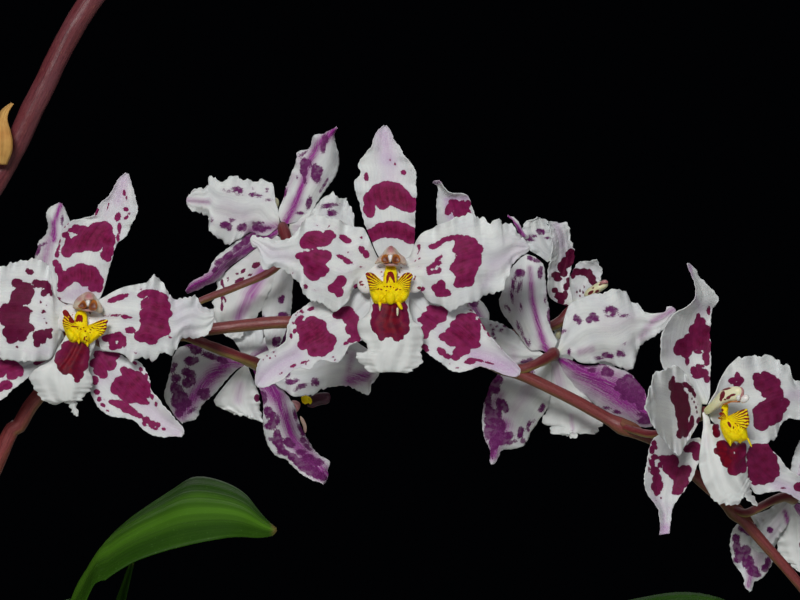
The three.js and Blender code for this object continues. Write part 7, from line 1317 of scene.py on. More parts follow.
# ------------------------------------------------------------------ flowers seen from behind or partly hidden
NB, MB_ = ((70, 24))
for fl in ('f2', 'f4', 'f5', 'f6', 'f8', 'f0', 'f9'):
    first = True
    for key in [k for k in SEG if SEG[k][0] == fl]:
        small = fl in ('f0', 'f9') and 'dorsal' not in key
        blade(key.replace('f', 'flower_', 1), key, NB // (2 if small else 1), MB_ // (2 if small else 1), replaces=(f"flower_{fl[1:]}",) if first else ())
        first = False

# the hidden flowers' own columns, and the bits of them that show between petals
COLUMN_BITS = [
    ('f6', [dict(name='arm', mat='cream', outline=[(583.6, 296.4), (584.6, 292), (588, 288.4), (592, 286), (596, 283.4), (600.6, 280.6), (605.6, 281), (608.4, 283), (608, 286.4), (604, 289.6), (599.4, 292.6), (594, 295.4), (588, 297.6)], plane=(3.0, .1, 0), rise=2.4, back=1.5,
                 blobs=[(590.6, 292.6, 3.6, 1.6, -35), (597, 291.4, 2.6, 1.4, -30), (600.4, 284.4, 2.4, 1.0, -25), (593, 288, 1.4, .9, -30)], tint=lambda X, Y, R: .2 + 0 * X),
            dict(name='tip', mat='hood', outline=[(599, 282.6), (603.6, 279.6), (607.6, 280.4), (608.4, 283.4), (604.4, 284), (601, 284.4)], plane=(5.6, .05, 0), rise=.8, tint=lambda X, Y, R: .9 + 0 * X),
            dict(name='foot', mat='cream', outline=[(555, 331), (559, 329.6), (561.6, 333), (560.6, 338.6), (557, 339.6), (554.6, 336)], plane=(1.0, 0, 0), rise=1.6)]),
    ('f2', [dict(name='tip', mat='cream', outline=[(273.5, 198), (276.6, 197.4), (279, 200), (279.2, 205), (277, 208), (274, 207)], plane=(-7.0, 0, 0), rise=1.2)]),
    ('f4', [dict(name='tip', mat='crest', outline=[(301, 396), (306, 395), (311, 397.5), (312.5, 402), (310, 405), (308.5, 402.5), (305, 405), (301.5, 402)], plane=(-14, 0, 0), rise=1.0, blobs=[(303, 404, 1.4, .8, 0), (309, 399, .7, .5, 0)]),
            # painted shade: a dark red lip blotch of a flower behind, darkened to the shadow it lies in
            dict(name='dark', mat='plum_shaded', outline=[(308, 398), (316, 393), (329, 392), (331, 397), (329, 404), (320, 405), (312, 408), (306, 406)], plane=(-15, 0, 0), rise=.9, tint=lambda X, Y, R: .9 + 0 * X),
            dict(name='mid', mat='hood', outline=[(291, 400), (297, 400.5), (301, 404), (299, 410), (296, 413), (292, 407)], plane=(-14.5, 0, 0), rise=1.0, tint=lambda X, Y, R: .95 + 0 * X),
            dict(name='edge', mat='hood', outline=[(300, 415), (304, 419), (307, 426), (306.5, 433), (304, 433), (303, 426), (300, 420)], plane=(-15, 0, 0), rise=.5, tint=lambda X, Y, R: .35 + 0 * X)]),
]
for fl, parts in COLUMN_BITS:
    for p in parts:
        p['rings'], p['around'] = 8, 36
    crest_and_column('flower_' + fl[1:], parts, fl)


# ------------------------------------------------------------------ flowers beyond the traced part of the spray
def turned(centre, heading, nod, roll, size, cup=0.0):
    c3 = place(*CEN['f3'])
    rz, rx, ry = math.radians(-roll), math.radians(nod), math.radians(heading)
    Rz = np.array([[math.cos(rz), -math.sin(rz), 0], [math.sin(rz), math.cos(rz), 0], [0, 0, 1]])
    Rx = np.array([[1, 0, 0], [0, math.cos(rx), -math.sin(rx)], [0, math.sin(rx), math.cos(rx)]])
    Ry = np.array([[math.cos(ry), 0, math.sin(ry)], [0, 1, 0], [-math.sin(ry), 0, math.cos(ry)]])
    Mx = Ry @ Rx @ Rz
    c = np.array(centre, float)
    def f(P):
        d = np.asarray(P) - c3
        q = np.stack([d[..., 0], d[..., 2], -d[..., 1]], -1)
        q[..., 2] = q[..., 2] + cup * (q[..., 0] ** 2 + q[..., 1] ** 2) / 40
        q = (q * size) @ Mx.T
        return np.stack([c[0] + q[..., 0], c[1] - q[..., 2], c[2] + q[..., 1]], -1)
    back = f(c3 + np.array([0, 5.4, 0]))
    return f, back


FAR = {
    'flower_10': ((297, -38, 333), 35, 8, -8, .92, .05), 'flower_11': ((257, 8, 297), 150, -6, 10, .84, .10),
    'flower_12': ((80, -38, 588), -12, 4, -6, .98, .0), 'flower_13': ((116, 26, 622), 160, -8, 8, .96, .08),
    'flower_14': ((158, -36, 640), 8, 0, 4, .98, -.04), 'flower_15': ((203, 26, 640), 175, -4, -8, .92, .10),
    'flower_16': ((246, -34, 624), 26, 6, 10, .90, .12)}
FARX = {}
NF, MF = ((32, 15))
for tag, args in FAR.items():
    fx, back = turned(*args)
    FARX[tag] = back
    first = True
    for key in [k for k in SEG if SEG[k][0] == 'f3']:
        blade(f"{tag}_{key[3:]}", key, NF, MF, xform=fx, replaces=(tag,) if first else (), off=seed_of(tag) % 29)
        first = False
    crest_and_column(tag, F3_PARTS, 'f3', xform=fx, light=True)


# ------------------------------------------------------------------ spikes, flower stalks, bracts and buds
def SP(px, py, d):
    return place(px, py, d)


def stalk_radii(n, r, end):
    return np.interp(np.linspace(0, 1, n), [0, .04, .12, .55, .80, .93, 1], [r * 1.5, r * 1.15, r * .95, r, r * 1.2, end * 1.05, end * .9])


AXIS1 = [(-12, -24, 96.5), (-14, -24, 160), (-13, -23, 230), (-3, -21, 310)]
RACH = [(0, 455), (18, 427), (35, 400), (60, 376), (90, 357), (120, 345), (150, 338), (183, 333), (230, 327), (290, 322), (350, 327), (420, 341), (470, 357), (515, 372), (570, 398), (625, 428), (655, 441), (678, 460), (700, 480), (735, 512), (768, 548), (800, 585), (850, 650), (885, 715), (905, 780), (915, 840), (922, 885)]
P1 = through([np.array(p, float) for p in AXIS1] + [SP(x, y, 0) for x, y in RACH], 420)
d1 = np.r_[0, np.cumsum(np.linalg.norm(np.diff(P1, axis=0), axis=1))]


def arc_at(P, d, point):
    i = np.argmin(np.linalg.norm(P - point, axis=1))
    return d[i]


R1 = np.interp(d1, [0, 60, arc_at(P1, d1, SP(0, 455, 0)), arc_at(P1, d1, SP(60, 376, 0)), arc_at(P1, d1, SP(183, 333, 0)), arc_at(P1, d1, SP(625, 428, 0)), arc_at(P1, d1, SP(735, 512, 0)), d1[-1]],
               [3.3, 3.0, 2.35, 2.0, 1.78, 1.72, 1.62, .9])
for x, y, k in [(75, 366, .5), (104, 351, .4), (160, 336, .55), (182, 333, .6), (345, 327, .3), (425, 342, .3), (436, 345, .3), (503, 367, .5), (622, 426, .75), (733, 510, .85), (842, 640, .5), (880, 705, .5)]:
    R1 = R1 + k * np.exp(-((d1 - arc_at(P1, d1, SP(x, y, 0))) / 2.6) ** 2)
for z in (150, 215, 290):
    R1 = R1 + .45 * np.exp(-((d1 - (z - 96)) / 3) ** 2)
sp1 = [tube(P1, R1, 18, .02, 3)]
V, F, at = join_parts(sp1)
piece("flower_spike_1_axis", V, F, MS, at, replaces=("flower_spike_1",))

STALKS = [
    ([SP(75, 366, 0), SP(70, 344, -3), SP(64, 322, -7), SP(62, 305, -11.4), SP(62, 304, -13.4)], 1.1, 1.7),
    ([SP(104, 351, 0), SP(93, 340, 7), SP(88, 326, 14), SP(86, 312, 19.4), SP(86, 312, 22)], 1.1, 1.7),
    ([SP(160, 336, 0), SP(176, 318, 2), SP(196, 303, 3), SP(236, 287, 1), SP(268, 273, -.5), SP(284, 257, -2), SP(287, 242, -3.4), SP(283, 229, -5.8), SP(283, 227, -8.4)], 1.05, 1.7),
    ([SP(180, 333, 0), SP(208, 345, 2.5), SP(234, 355, .5), SP(252, 362, -4.5), SP(262, 367, -10.6)], 1.5, 1.8),
    ([SP(345, 327, 0), SP(364, 316, 8), SP(379, 293, 16), SP(388, 272, 22.4), SP(389, 269, 25)], 1.1, 1.7),
    ([SP(425, 342, 0), SP(438, 312, -8), SP(448, 284, -16), SP(452, 269, -19.2), SP(452, 268, -21)], 1.1, 1.7),
    ([SP(500, 366, 0), SP(520, 369, 1.2), SP(538, 363, -.5), SP(552, 355, -5.2), SP(553, 354, -8.4)], 1.4, 1.9),
    ([SP(436, 345, 0), SP(437, 338, -14), SP(454, 334, -27), SP(520, 333, -32), SP(556, 324, -35), SP(571, 311, -36), SP(575, 306, -38)], 1.1, 1.7),
    ([SP(618, 424, 0), SP(636, 431, 4), SP(656, 434, 9), SP(682, 425, 14), SP(702, 414, 16.4), SP(705, 412, 19)], 1.15, 1.7),
    ([SP(730, 507, 0), SP(745, 513, 3), SP(758, 508, 2.5), SP(772, 501, 0), SP(784, 497, -2.6), SP(792, 498, -5.2), SP(793, 498, -8)], 1.25, 1.8),
    ([SP(842, 640, 0), SP(865, 636, 3), FARX['flower_10'] * .4 + SP(865, 636, 3) * .6, FARX['flower_10']], 1.1, 1.7),
    ([SP(880, 705, 0), SP(866, 712, 0), FARX['flower_11'] * .4 + SP(866, 712, 0) * .6, FARX['flower_11']], 1.1, 1.7)]
parts = []
for i, (pts, r, end) in enumerate(STALKS):
    P = through(pts, 60)
    parts.append(tube(P, stalk_radii(len(P), r, end), 14, .03, i))
V, F, at = join_parts(parts)
piece("flower_spike_1_stalks", V, F, MS_PED, at)

AXIS2 = [(-32, -22, 96.5), (-37, -22, 170), (-36, -20, 250), (-26, -15, 340), (-6, -9, 413), SP(-2, 178, -15), SP(37, 100, -15), SP(91, 0, -15), (86, -5, 556), (130, -5, 588), (175, -4, 603), (220, -4, 602), (258, -5, 588), (286, -6, 564)]
P2 = through([np.array(p, float) for p in AXIS2], 380)
d2 = np.r_[0, np.cumsum(np.linalg.norm(np.diff(P2, axis=0), axis=1))]
R2_ = np.interp(d2 / d2[-1], [0, .1, .35, .48, .60, .68, .78, .88, .95, 1], [3.8, 3.55, 3.4, 3.3, 3.25, 3.0, 2.5, 1.9, 1.4, .9])
for z in (140, 205, 285, 372, 447):
    i = int(np.argmin(np.abs(P2[:len(P2) // 2, 2] - z)))
    R2_ = R2_ + .5 * np.exp(-((d2 - d2[i]) / 3) ** 2)
ST2 = [('flower_12', (72, -5, 536)), ('flower_13', (112, -5, 575)), ('flower_14', (150, -5, 597)), ('flower_15', (200, -4, 604)), ('flower_16', (240, -5, 597))]
for n, p in ST2:
    R2_ = R2_ + .5 * np.exp(-((d2 - arc_at(P2, d2, np.array(p, float))) / 2.6) ** 2)
V, F, at = join_parts([tube(P2, R2_, 18, .02, 5)])
piece("flower_spike_2_axis", V, F, MS_DARK, at, replaces=("flower_spike_2",))
parts = []
for i, (n, p) in enumerate(ST2):
    p, b = np.array(p, float), FARX[n]
    P = through([p, p + (b - p) * .35 + [3, 0, 2], p + (b - p) * .75 + [0, 0, 2], b], 40)
    parts.append(tube(P, stalk_radii(len(P), 1.12, 1.7), 12, .03, i + 40))
V, F, at = join_parts(parts)
piece("flower_spike_2_stalks", V, F, MS_PED, at)


def bud(a, b, length, thick, seed):
    """A flower bud: a pointed egg with seams, on its own stalk."""
    a, b = np.array(a, float), np.array(b, float)
    d = (b - a) / np.linalg.norm(b - a)
    P = b + d[None] * (np.linspace(-.08, .92, 22)[:, None] * length)
    u = np.linspace(0, 1, 22)
    R = thick * np.maximum(np.sin(np.clip(u, 0, 1) ** .82 * math.pi), 0) ** .72 * (1 - .28 * u) + .25
    V, F, at = tube(P, R, 24, 0, seed)
    k = np.arange(22 * 24) % 24
    seam = 1 - .085 * np.abs(np.cos(k / 24 * 2 * math.pi * 1.5)) ** 12
    c = np.repeat(P, 24, axis=0)
    V[:22 * 24] = c + (V[:22 * 24] - c) * seam[:, None]
    at['tint'] = np.clip(.25 + .5 * at['fr'], 0, 1)
    rng = np.random.RandomState(seed)
    at['spot'] = np.where(rng.rand(len(V)) > .93, .1, -1.0)
    st = tube(through([a, (a + b) / 2 + [0, 0, 1.5], b], 14), np.linspace(.9, 1.15, 14), 10, 0, seed)
    return (V, F, at), st


BUDS1 = [(SP(904, 775, 0), SP(935, 790, 8), 17, 4.3), (SP(912, 815, 0), SP(890, 838, 4), 14, 3.7), (SP(917, 850, 0), SP(944, 868, 3), 12, 3.2), (SP(920, 872, 0), SP(926, 905, 0), 9, 2.5)]
BUDS2 = [((262, -5, 586), (274, -12, 594), 17, 4.3), ((270, -5.5, 579), (266, 6, 572), 14, 3.7), ((278, -6, 572), (291, -9, 574), 12, 3.2), ((283, -6, 567), (288, -6, 556), 9, 2.5)]
for tag, lst in (("flower_spike_1", BUDS1), ("flower_spike_2", BUDS2)):
    a, b = [], []
    for i, (p, q, ln, th) in enumerate(lst):
        x, y = bud(p, q, ln, th, i + 7)
        a.append(x)
        b.append(y)
    V, F, at = join_parts(a)
    piece(tag + "_buds", V, F, MBUD, at)
    V, F, at = join_parts(b)
    piece(tag + "_bud_stalks", V, F, MS_PED, at)


def scale_leaf(P0, dirn, out, length, width, curl=.5, thick=.35, n=22, m=11, seed=0):
    """A bract that clasps a stem at P0, along dirn, standing off towards out."""
    P0, dirn, out = (np.array(v, float) for v in (P0, dirn, out))
    dirn /= np.linalg.norm(dirn)
    out -= dirn * np.dot(out, dirn)
    out /= np.linalg.norm(out)
    side = np.cross(dirn, out)
    s = np.linspace(0, 1, n)
    w = width * np.sin(np.clip(s * .86 + .14, 0, 1) * math.pi) ** .8 * (1 - .25 * s) + .12
    S, T = np.meshgrid(s, np.linspace(-1, 1, m), indexing='ij')
    W = w[:, None]
    ang = T * (1.25 - .75 * S)
    rad = W / 1.25
    G = P0 + dirn * (S * length)[..., None] + side * (np.sin(ang) * rad * 1.1)[..., None] + out * ((np.cos(ang) - 1) * rad * .8 + W * .35 + curl * S ** 2 * length * .35)[..., None]
    G = G + out * (.10 * np.sin(S * 11 + T * 3 + seed))[..., None]
    th = np.full(S.shape, thick) * (1.1 - .6 * S)
    V, F = sheet_solid(G, th, out)
    pm = np.stack([T * 3 + seed, S * length, S * 0], -1)
    vein = np.stack([T * width * 1.6 + seed, S * length * .08, S * 0], -1)
    return V, F, dict(pm=both(pm), vein=both(vein))


# bracts at the nodes of the spikes
br = []
def on(P, d, dist):
    i = int(np.searchsorted(d, dist))
    i = min(max(i, 1), len(P) - 2)
    t = P[i + 1] - P[i - 1]
    return P[i], t / np.linalg.norm(t), i
for (x, y, ln, w, o) in [(75, 366, 7, 2.2, (0, -1, -.6)), (104, 351, 6, 2.0, (0, -1, .6)), (160, 336, 6.5, 2.1, (0, -1, .9)), (182, 333, 6, 2.0, (0, -1, .3)), (345, 327, 5, 1.8, (0, -.3, 1)), (503, 367, 6, 2.0, (0, -1, .8)), (620, 425, 8, 2.4, (0, -1, .9)), (731, 508, 8.5, 2.5, (.2, -1, .9)), (842, 640, 6, 2, (.5, -1, .6)), (880, 705, 6, 2, (.3, -1, .3))]:
    p, t, i = on(P1, d1, arc_at(P1, d1, SP(x, y, 0)))
    o = np.array(o, float)
    o -= t * np.dot(o, t)
    o /= np.linalg.norm(o)
    br.append(scale_leaf(p + o * (R1[i] - .55) - t * 1.0, t, o, ln, w, .25, seed=x))
V, F, at = join_parts(br)
piece("flower_spike_1_bracts", V, F, MBRACT, at)
br = []
for z, o in ((140, (-1, -.3, 0)), (205, (.6, -1, 0)), (285, (-1, -.3, 0)), (372, (.4, -1, 0))):
    i = int(np.argmin(np.abs(P2[:len(P2) // 2, 2] - z)))
    p, t, i = on(P2, d2, d2[i])
    o = np.array(o, float)
    o -= t * np.dot(o, t)
    o /= np.linalg.norm(o)
    br.append(scale_leaf(p + o * (R2_[i] - .7), t, o, 22, 3.6, .12, seed=z))
for z, o in ((150, (-1, -.3, 0)), (215, (.6, -1, 0)), (290, (-1, -.3, 0))):
    i = int(np.argmin(np.abs(P1[:len(P1) // 2, 2] - z)))
    p, t, i = on(P1, d1, d1[i])
    o = np.array(o, float)
    o -= t * np.dot(o, t)
    o /= np.linalg.norm(o)
    br.append(scale_leaf(p + o * (R1[i] - .7), t, o, 20, 3.2, .12, seed=z))
# the dry bract on the second spike, at the left of the spray
BR_ = [(-13, 164, -13, 7, 165, -8), (-16, 152, -12, 12, 152, -6), (-14, 140, -11, 12.5, 140, -5), (-10, 128, -11, 10, 129, -6), (-5, 118, -12, 7.5, 119, -8), (2, 109, -12, 9.5, 110.5, -9), (11, 102.5, -12.5, 14, 103.8, -11.5)]
lf_ = through([SP(q[0], q[1], q[2]) for q in BR_], 30)
rt_ = through([SP(q[3], q[4], q[5]) for q in BR_], 30)
T_ = np.linspace(0, 1, 13)
G = lf_[:, None] * (1 - T_)[None, :, None] + rt_[:, None] * T_[None, :, None]
wb_ = np.linalg.norm(rt_ - lf_, axis=1)[:, None]
G[..., 1] -= .30 * wb_ * np.sin(T_ * math.pi)[None] + .12 * np.sin(T_ * 17)[None]
V, F = sheet_solid(G, np.full(G.shape[:2], .35), (0, -1, 0))
S_, Q_ = np.meshgrid(np.linspace(0, 1, 30), T_, indexing='ij')
piece("spike_bract_dry", V, F, MDRY, dict(pm=both(np.stack([Q_ * 6, S_ * 20, S_ * 0], -1)), vein=both(np.stack([Q_ * 5, S_ * 1.4, S_ * 0], -1))))
V, F, at = join_parts(br)
piece("spike_bracts", V, F, MHUSK, at)


# ------------------------------------------------------------------ leaves
def leaf_piece(name, rows, sag, seed, n=60, m=15, node=None, thick=.75, keel=.55, wave=1.0):
    """rows: list of (left point, right point) in mm from base to tip."""
    Lp = through([np.array(a, float) for a, b in rows], n)
    Rp = through([np.array(b, float) for a, b in rows], n)
    s = np.linspace(0, 1, n)
    S, T = np.meshgrid(s, np.linspace(0, 1, m), indexing='ij')
    a = 2 * T - 1
    mid = (Lp + Rp) / 2
    tan = np.gradient(mid, axis=0)
    nn = np.cross(tan, Rp - Lp)
    nn /= np.maximum(np.linalg.norm(nn, axis=1, keepdims=True), 1e-9)
    w = np.linalg.norm(Rp - Lp, axis=1)
    G = Lp[:, None] * (1 - T)[..., None] + Rp[:, None] * T[..., None]
    rng = np.random.RandomState(seed)
    k = rng.rand(6) * 6.28
    dz = -sag * w[:, None] * (1 - np.abs(a)) ** 1.0 * (1 - .35 * (1 - np.abs(a)))
    dz = dz + wave * .02 * w[:, None] * np.abs(a) ** 2 * (np.sin(S * 17 + k[0] + (a > 0) * 1.9) + .6 * np.sin(S * 33 + k[1] + (a > 0) * 2.3))
    dz = dz + .10 * np.sin(a * 21) * np.clip(w[:, None] / 25, 0, 1)
    G = G + nn[:, None] * dz[..., None]
    th = thick * (.35 + .65 * (1 - np.abs(a) ** 4)) * np.ones_like(S) + keel * np.exp(-(a / .10) ** 2) * (1 - .6 * S)
    up = -nn[n // 3] * 1.0
    # the upper face is the one on the side away from the keel
    V, F = sheet_solid(G, th, -nn.mean(0) if sag < 0 else nn.mean(0) * 1.0)
    wm = np.interp(s, s, w)[:, None]
    ln = np.r_[0, np.cumsum(np.linalg.norm(np.diff(mid, axis=0), axis=1))][:, None] * np.ones((1, m))
    pm = np.stack([a * 16, ln, S * 0 + seed], -1)
    vein = np.stack([a * 15 + seed, ln * .012, S * 0], -1)
    z = np.zeros_like(S)
    attrs = dict(vein=both(vein), pm=both(pm), side=both(z, z + 1), fr=both(S), acr=both(a))
    return piece(name, V, F, MLF, attrs, replaces=(node,) if node else (), uv=two_sided_uv(n, m))


BARK = 97.0
BULBS = [(-35, 12, 54, 13, 6.5, -.12), (-16.5, 8, 66, 15, 7.5, .05), (3, 4, 74, 16, 8, -.04), (23, 0, 70, 15, 8, .08), (41, -5, 34, 9, 5.5, .1)]
RHZ = BARK + .35 + 2.9
BZ = RHZ + 3.3
LW = [.34, .62, .86, .98, 1, .95, .8, .5, .1]


def arch(base, heading, reach, rise, top, width, tilt):
    w = math.radians(heading)
    d, sd = np.array([math.cos(w), math.sin(w), 0]), np.array([-math.sin(w), math.cos(w), 0])
    rows = []
    for i, k in enumerate(LW):
        t = i / (len(LW) - 1)
        c = np.array(base, float) + d * reach * t ** 1.55 + np.array([0, 0, rise * (1 - (1 - t / top) ** 2)])
        a = math.radians(tilt * t)
        s = sd * math.cos(a) + np.array([0, 0, math.sin(a)])
        rows.append((c - s * width * k / 2, c + s * width * k / 2))
    # the last two rows, unpacked and not used; the tip narrows only through the last width in LW
    (l8, r8), (l7, r7) = rows[-1], rows[-2]
    return rows


def top_of(i):
    return BULBS[i][0], BULBS[i][1], BZ + BULBS[i][2] + .6


bx, by, bz = top_of(2)
U = [(bx + 3, by + 4, bz + 1), (20, 14, 240), (36, 12, 298)] + [SP(400 + (a - 142.5) / .285, 300 - (b - 430) / .285, d) for a, b, d in
     [(53.3, 349.6, -24), (58.7, 359.3, -22), (64.4, 366.7, -20), (70.1, 371, -18), (77.8, 375.9, -17), (84.1, 379.3, -15), (91.5, 378.1, -12), (98, 374.7, -8), (102.6, 369.3, -3), (106.9, 364.8, -.4)]]
D_ = [(bx + 2, by - 5, bz + 1), (19, -16, 240), (35, -22, 298)] + [SP(400 + (a - 142.5) / .285, 300 - (b - 430) / .285, d) for a, b, d in
      [(53, 344.5, 8), (58.7, 350.2, 10), (65.6, 354.5, 10), (71.8, 357, 10), (80.4, 359.6, 10), (89.2, 361.6, 10), (95.8, 362.5, 8), (102.3, 362.2, 4), (106.3, 362.8, 1), (107.4, 364, .2)]]
leaf_piece("leaf_1_blade", list(zip(U, D_)), .10, 11, n=130, m=29, node="leaf_1", wave=.3)
leaf_piece("leaf_2_blade", arch((top_of(1)[0] - 5, top_of(1)[1] + 2, top_of(1)[2]), 176, 165, 175, .86, 33, -18), .1, 12, node="leaf_2")
leaf_piece("leaf_3_blade", arch((top_of(1)[0] + 2, top_of(1)[1] + 4, top_of(1)[2]), 118, 120, 235, .95, 32, 12), .1, 13, node="leaf_3")
leaf_piece("leaf_4_blade", arch((top_of(2)[0] - 3.5, top_of(2)[1] + 9, top_of(2)[2] - 4), 72, 105, 150, .85, 31, -10), .1, 14, node="leaf_4")
sp5 = [(top_of(3)[0] + 2, top_of(3)[1], top_of(3)[2] + .6), (44, -5, 222), (80, -8, 268), (122, -11, 304), (170, -13, 327), (204, -14, 334.6), (228, -15, 339.4), (246, -13, 335), (260, -9, 320)]
W5, T5 = [10, 22, 29, 32, 33, 33, 30, 22, 3], [0, 4, 8, 12, 14, 14, 12, 8, 4]
rows5 = []
for c, w, t in zip(sp5, W5, T5):
    a = math.radians(t)
    s = np.array([0, math.cos(a), math.sin(a)])
    rows5.append((np.array(c) - s * w / 2, np.array(c) + s * w / 2))
leaf_piece("leaf_5_blade", rows5, .12, 15, n=100, m=21, node="leaf_5")
leaf_piece("leaf_6_blade", arch((25, -23, BARK + 1.2), -62, 135, 165, .74, 30, 10), .1, 16, node="leaf_6")
leaf_piece("leaf_7_blade", arch((top_of(4)[0] + 1, top_of(4)[1] + 1, top_of(4)[2]), 24, 135, 165, .88, 28, 10), .1, 17, node="leaf_7")
leaf_piece("leaf_8_blade", arch((51, -17, BARK + 1.2), -34, 120, 130, .8, 26, -8), .1, 18, node="leaf_8")
leaf_piece("leaf_9_blade", arch((-36, 31, BARK + 1.2), 140, 120, 130, .74, 26, 8), .1, 19, node="leaf_9")
sp10 = [(12, 24, BARK + 1.2), (17, 30, 150), (25, 30, 205), (36, 27, 255), (48, 23, 300), (57, 17, 332), (63.5, 12, 352)]
W10 = [12, 22, 27, 28, 24, 15, 1.6]
leaf_piece("leaf_10_blade", [(np.array(c) + [-w * .12, w / 2, 0], np.array(c) + [w * .12, -w / 2, 0]) for c, w in zip(sp10, W10)], .1, 20, node="leaf_10")

# ------------------------------------------------------------------ pseudobulbs with ribs, and their dry husks
for i, (x, y, h, w, t, turn) in enumerate(BULBS):
    n, m = ((36, 84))
    prof_z = np.array([0, .02, .16, .38, .66, .9, 1.0])
    prof_r = np.array([.35, .62, .9, 1.0, .86, .52, .24])
    u = np.linspace(0, 1, n)
    z = u
    r = np.clip(knots(np.interp(np.linspace(0, 1, 15), prof_z, prof_r), u), .05, 1.02)
    ph = np.arange(m) / m * 2 * math.pi
    U_, PH = np.meshgrid(u, ph, indexing='ij')
    rib = .5 + .5 * np.cos(PH * 14 + .4 * np.sin(U_ * 5 + i))
    rr = r[:, None] * (1 - .035 * (1 - rib) ** 2 * np.sin(U_ * math.pi) - .02 * np.sin(U_ * 23 + i) * .3)
    X = rr * np.cos(PH) * t
    Y = rr * np.sin(PH) * w
    ct, st = math.cos(turn), math.sin(turn)
    G = np.stack([x + X * ct - Y * st, y + X * st + Y * ct, BZ - .6 + U_ * (h + .6)], -1)
    V = np.vstack([G.reshape(-1, 3), [[x, y, BZ - 1.0]], [[x, y, BZ + h + .4]]])
    a, b = np.meshgrid(np.arange(n - 1), np.arange(m), indexing='ij')
    q = np.stack([(a * m + b).ravel(), (a * m + (b + 1) % m).ravel(), ((a + 1) * m + (b + 1) % m).ravel(), ((a + 1) * m + b).ravel()], -1)
    j = np.arange(m)
    caps = np.concatenate([np.stack([np.full(m, n * m), (j + 1) % m, j], -1), np.stack([np.full(m, n * m + 1), (n - 1) * m + j, (n - 1) * m + (j + 1) % m], -1)])
    piece(f"pseudobulb_{i+1}_skin", V, [q, caps], MB, dict(fr=np.r_[U_.ravel(), 0, 1], rib=np.r_[1 - rib.ravel(), 0, 0]), replaces=(f"pseudobulb_{i+1}",))
    hk = []
    for k, (ang, hh, ww) in enumerate([(90, .72, w * .95), (-90, .62, w * .9), (60, .40, w * .7), (-120, .46, w * .75)]):
        a_ = math.radians(ang) + turn
        o = np.array([math.cos(a_) * .25, math.sin(a_), 0])
        o /= np.linalg.norm(o)
        sdir = np.array([-o[1], o[0], 0])
        nS, nT = 30, 17
        S, T = np.meshgrid(np.linspace(0, 1, nS), np.linspace(-1, 1, nT), indexing='ij')
        wid = (1 - S ** 1.8) * .98 + .02
        phi = T * wid * 1.25
        ca, sa = math.cos(turn), math.sin(turn)
        lift = 1.05 + .03 * k + .05 * S ** 2 + .015 * np.sin(T * 7 + S * 9 + k)
        base_a = math.pi / 2 * (1 if ang > 0 else -1)
        rr2 = np.interp(S * hh, u, r) * lift
        PX = rr2 * np.cos(base_a + phi) * t
        PY = rr2 * np.sin(base_a + phi) * w
        Gh = np.stack([x + PX * ct - PY * st, y + PX * st + PY * ct, BZ - 1.5 + S * h * hh], -1)
        if k >= 2:
            Gh[..., 2] += np.sin(T * 5 + k) * 1.5 * S
        Vh, Fh = sheet_solid(Gh, np.full(S.shape, .22), o)
        pm = np.stack([T * 10, S * h, S * 0 + k * 7 + i], -1)
        ve = np.stack([T * 11 + k * 5, S * h * .05, S * 0], -1)
        hk.append((Vh, Fh, dict(pm=both(pm), vein=both(ve))))
    V, F, at = join_parts(hk)
    piece(f"pseudobulb_{i+1}_husks", V, F, MHUSK, at)

# ------------------------------------------------------------------ rhizome and roots
parts = [tube(through([(-43, 14, RHZ), (-30, 11, RHZ), (-6, 6, RHZ), (18, 1, RHZ), (36, -3, RHZ), (46, -6, RHZ)], 70), np.interp(np.linspace(0, 1, 70), [0, .2, .5, .8, 1], [2, 2.6, 2.8, 2.6, 1.8]) * (1 + .08 * np.sin(np.arange(70) * .9)), 16, .05, 1)]
ROOTS = [[(-24, 10), (-26, 26), (-34, 38), (-40, 42)], [(-4, 6), (-2, 24), (6, 38), (4, 48)], [(20, 1), (24, 18), (36, 30), (42, 38)], [(10, 3), (8, -14), (14, -28), (10, -38)], [(32, -3), (38, -18), (34, -30), (40, -36)], [(-36, 12), (-46, 2), (-50, -10), (-46, -22)]]
EXTRA = [[(-30, 11), (-34, -6), (-28, -24), (-32, -40)], [(-14, 8), (-18, -12), (-24, -30), (-18, -46)], [(28, -1), (40, 8), (48, 20), (46, 30)], [(-8, 7), (-14, 24), (-12, 40), (-18, 50)], [(14, 2), (14, 22), (20, 36), (24, 48)]]
for k, r in enumerate(ROOTS + EXTRA):
    extra = k >= len(ROOTS)
    pts = [(x_, y_, RHZ if i_ == 0 else RHZ - .9 - (.9 if extra else 0) + (1.1 if i_ == 2 else 0) - (3.0 if i_ == 3 and extra else 0)) for i_, (x_, y_) in enumerate(r)]
    P = through(pts, 60)
    rng = np.random.RandomState(k)
    P = P + np.stack([np.sin(np.arange(60) * .35 + k) * .6, np.cos(np.arange(60) * .28 + k) * .6, np.sin(np.arange(60) * .5 + k) * .25], -1) * np.minimum(1, np.arange(60) / 12)[:, None]
    parts.append(tube(P, np.interp(np.linspace(0, 1, 60), [0, .1, .8, 1], [1.3, 1.5, 1.4, .7]), 10, .05, k))
V, F, at = join_parts(parts)
piece("rhizome_and_roots_skin", V, F, MROOT, at, replaces=("rhizome_and_roots",))

# ------------------------------------------------------------------ potting bark: loose chips on the bed
rng = np.random.RandomState(4)
chipV, chipQ, tone = [], [], []
corner = np.array([[-1, -1, -1], [1, -1, -1], [1, 1, -1], [-1, 1, -1], [-1, -1, 1], [1, -1, 1], [1, 1, 1], [-1, 1, 1]], float)
cf = np.array([[0, 3, 2, 1], [4, 5, 6, 7], [0, 1, 5, 4], [1, 2, 6, 5], [2, 3, 7, 6], [3, 0, 4, 7]])


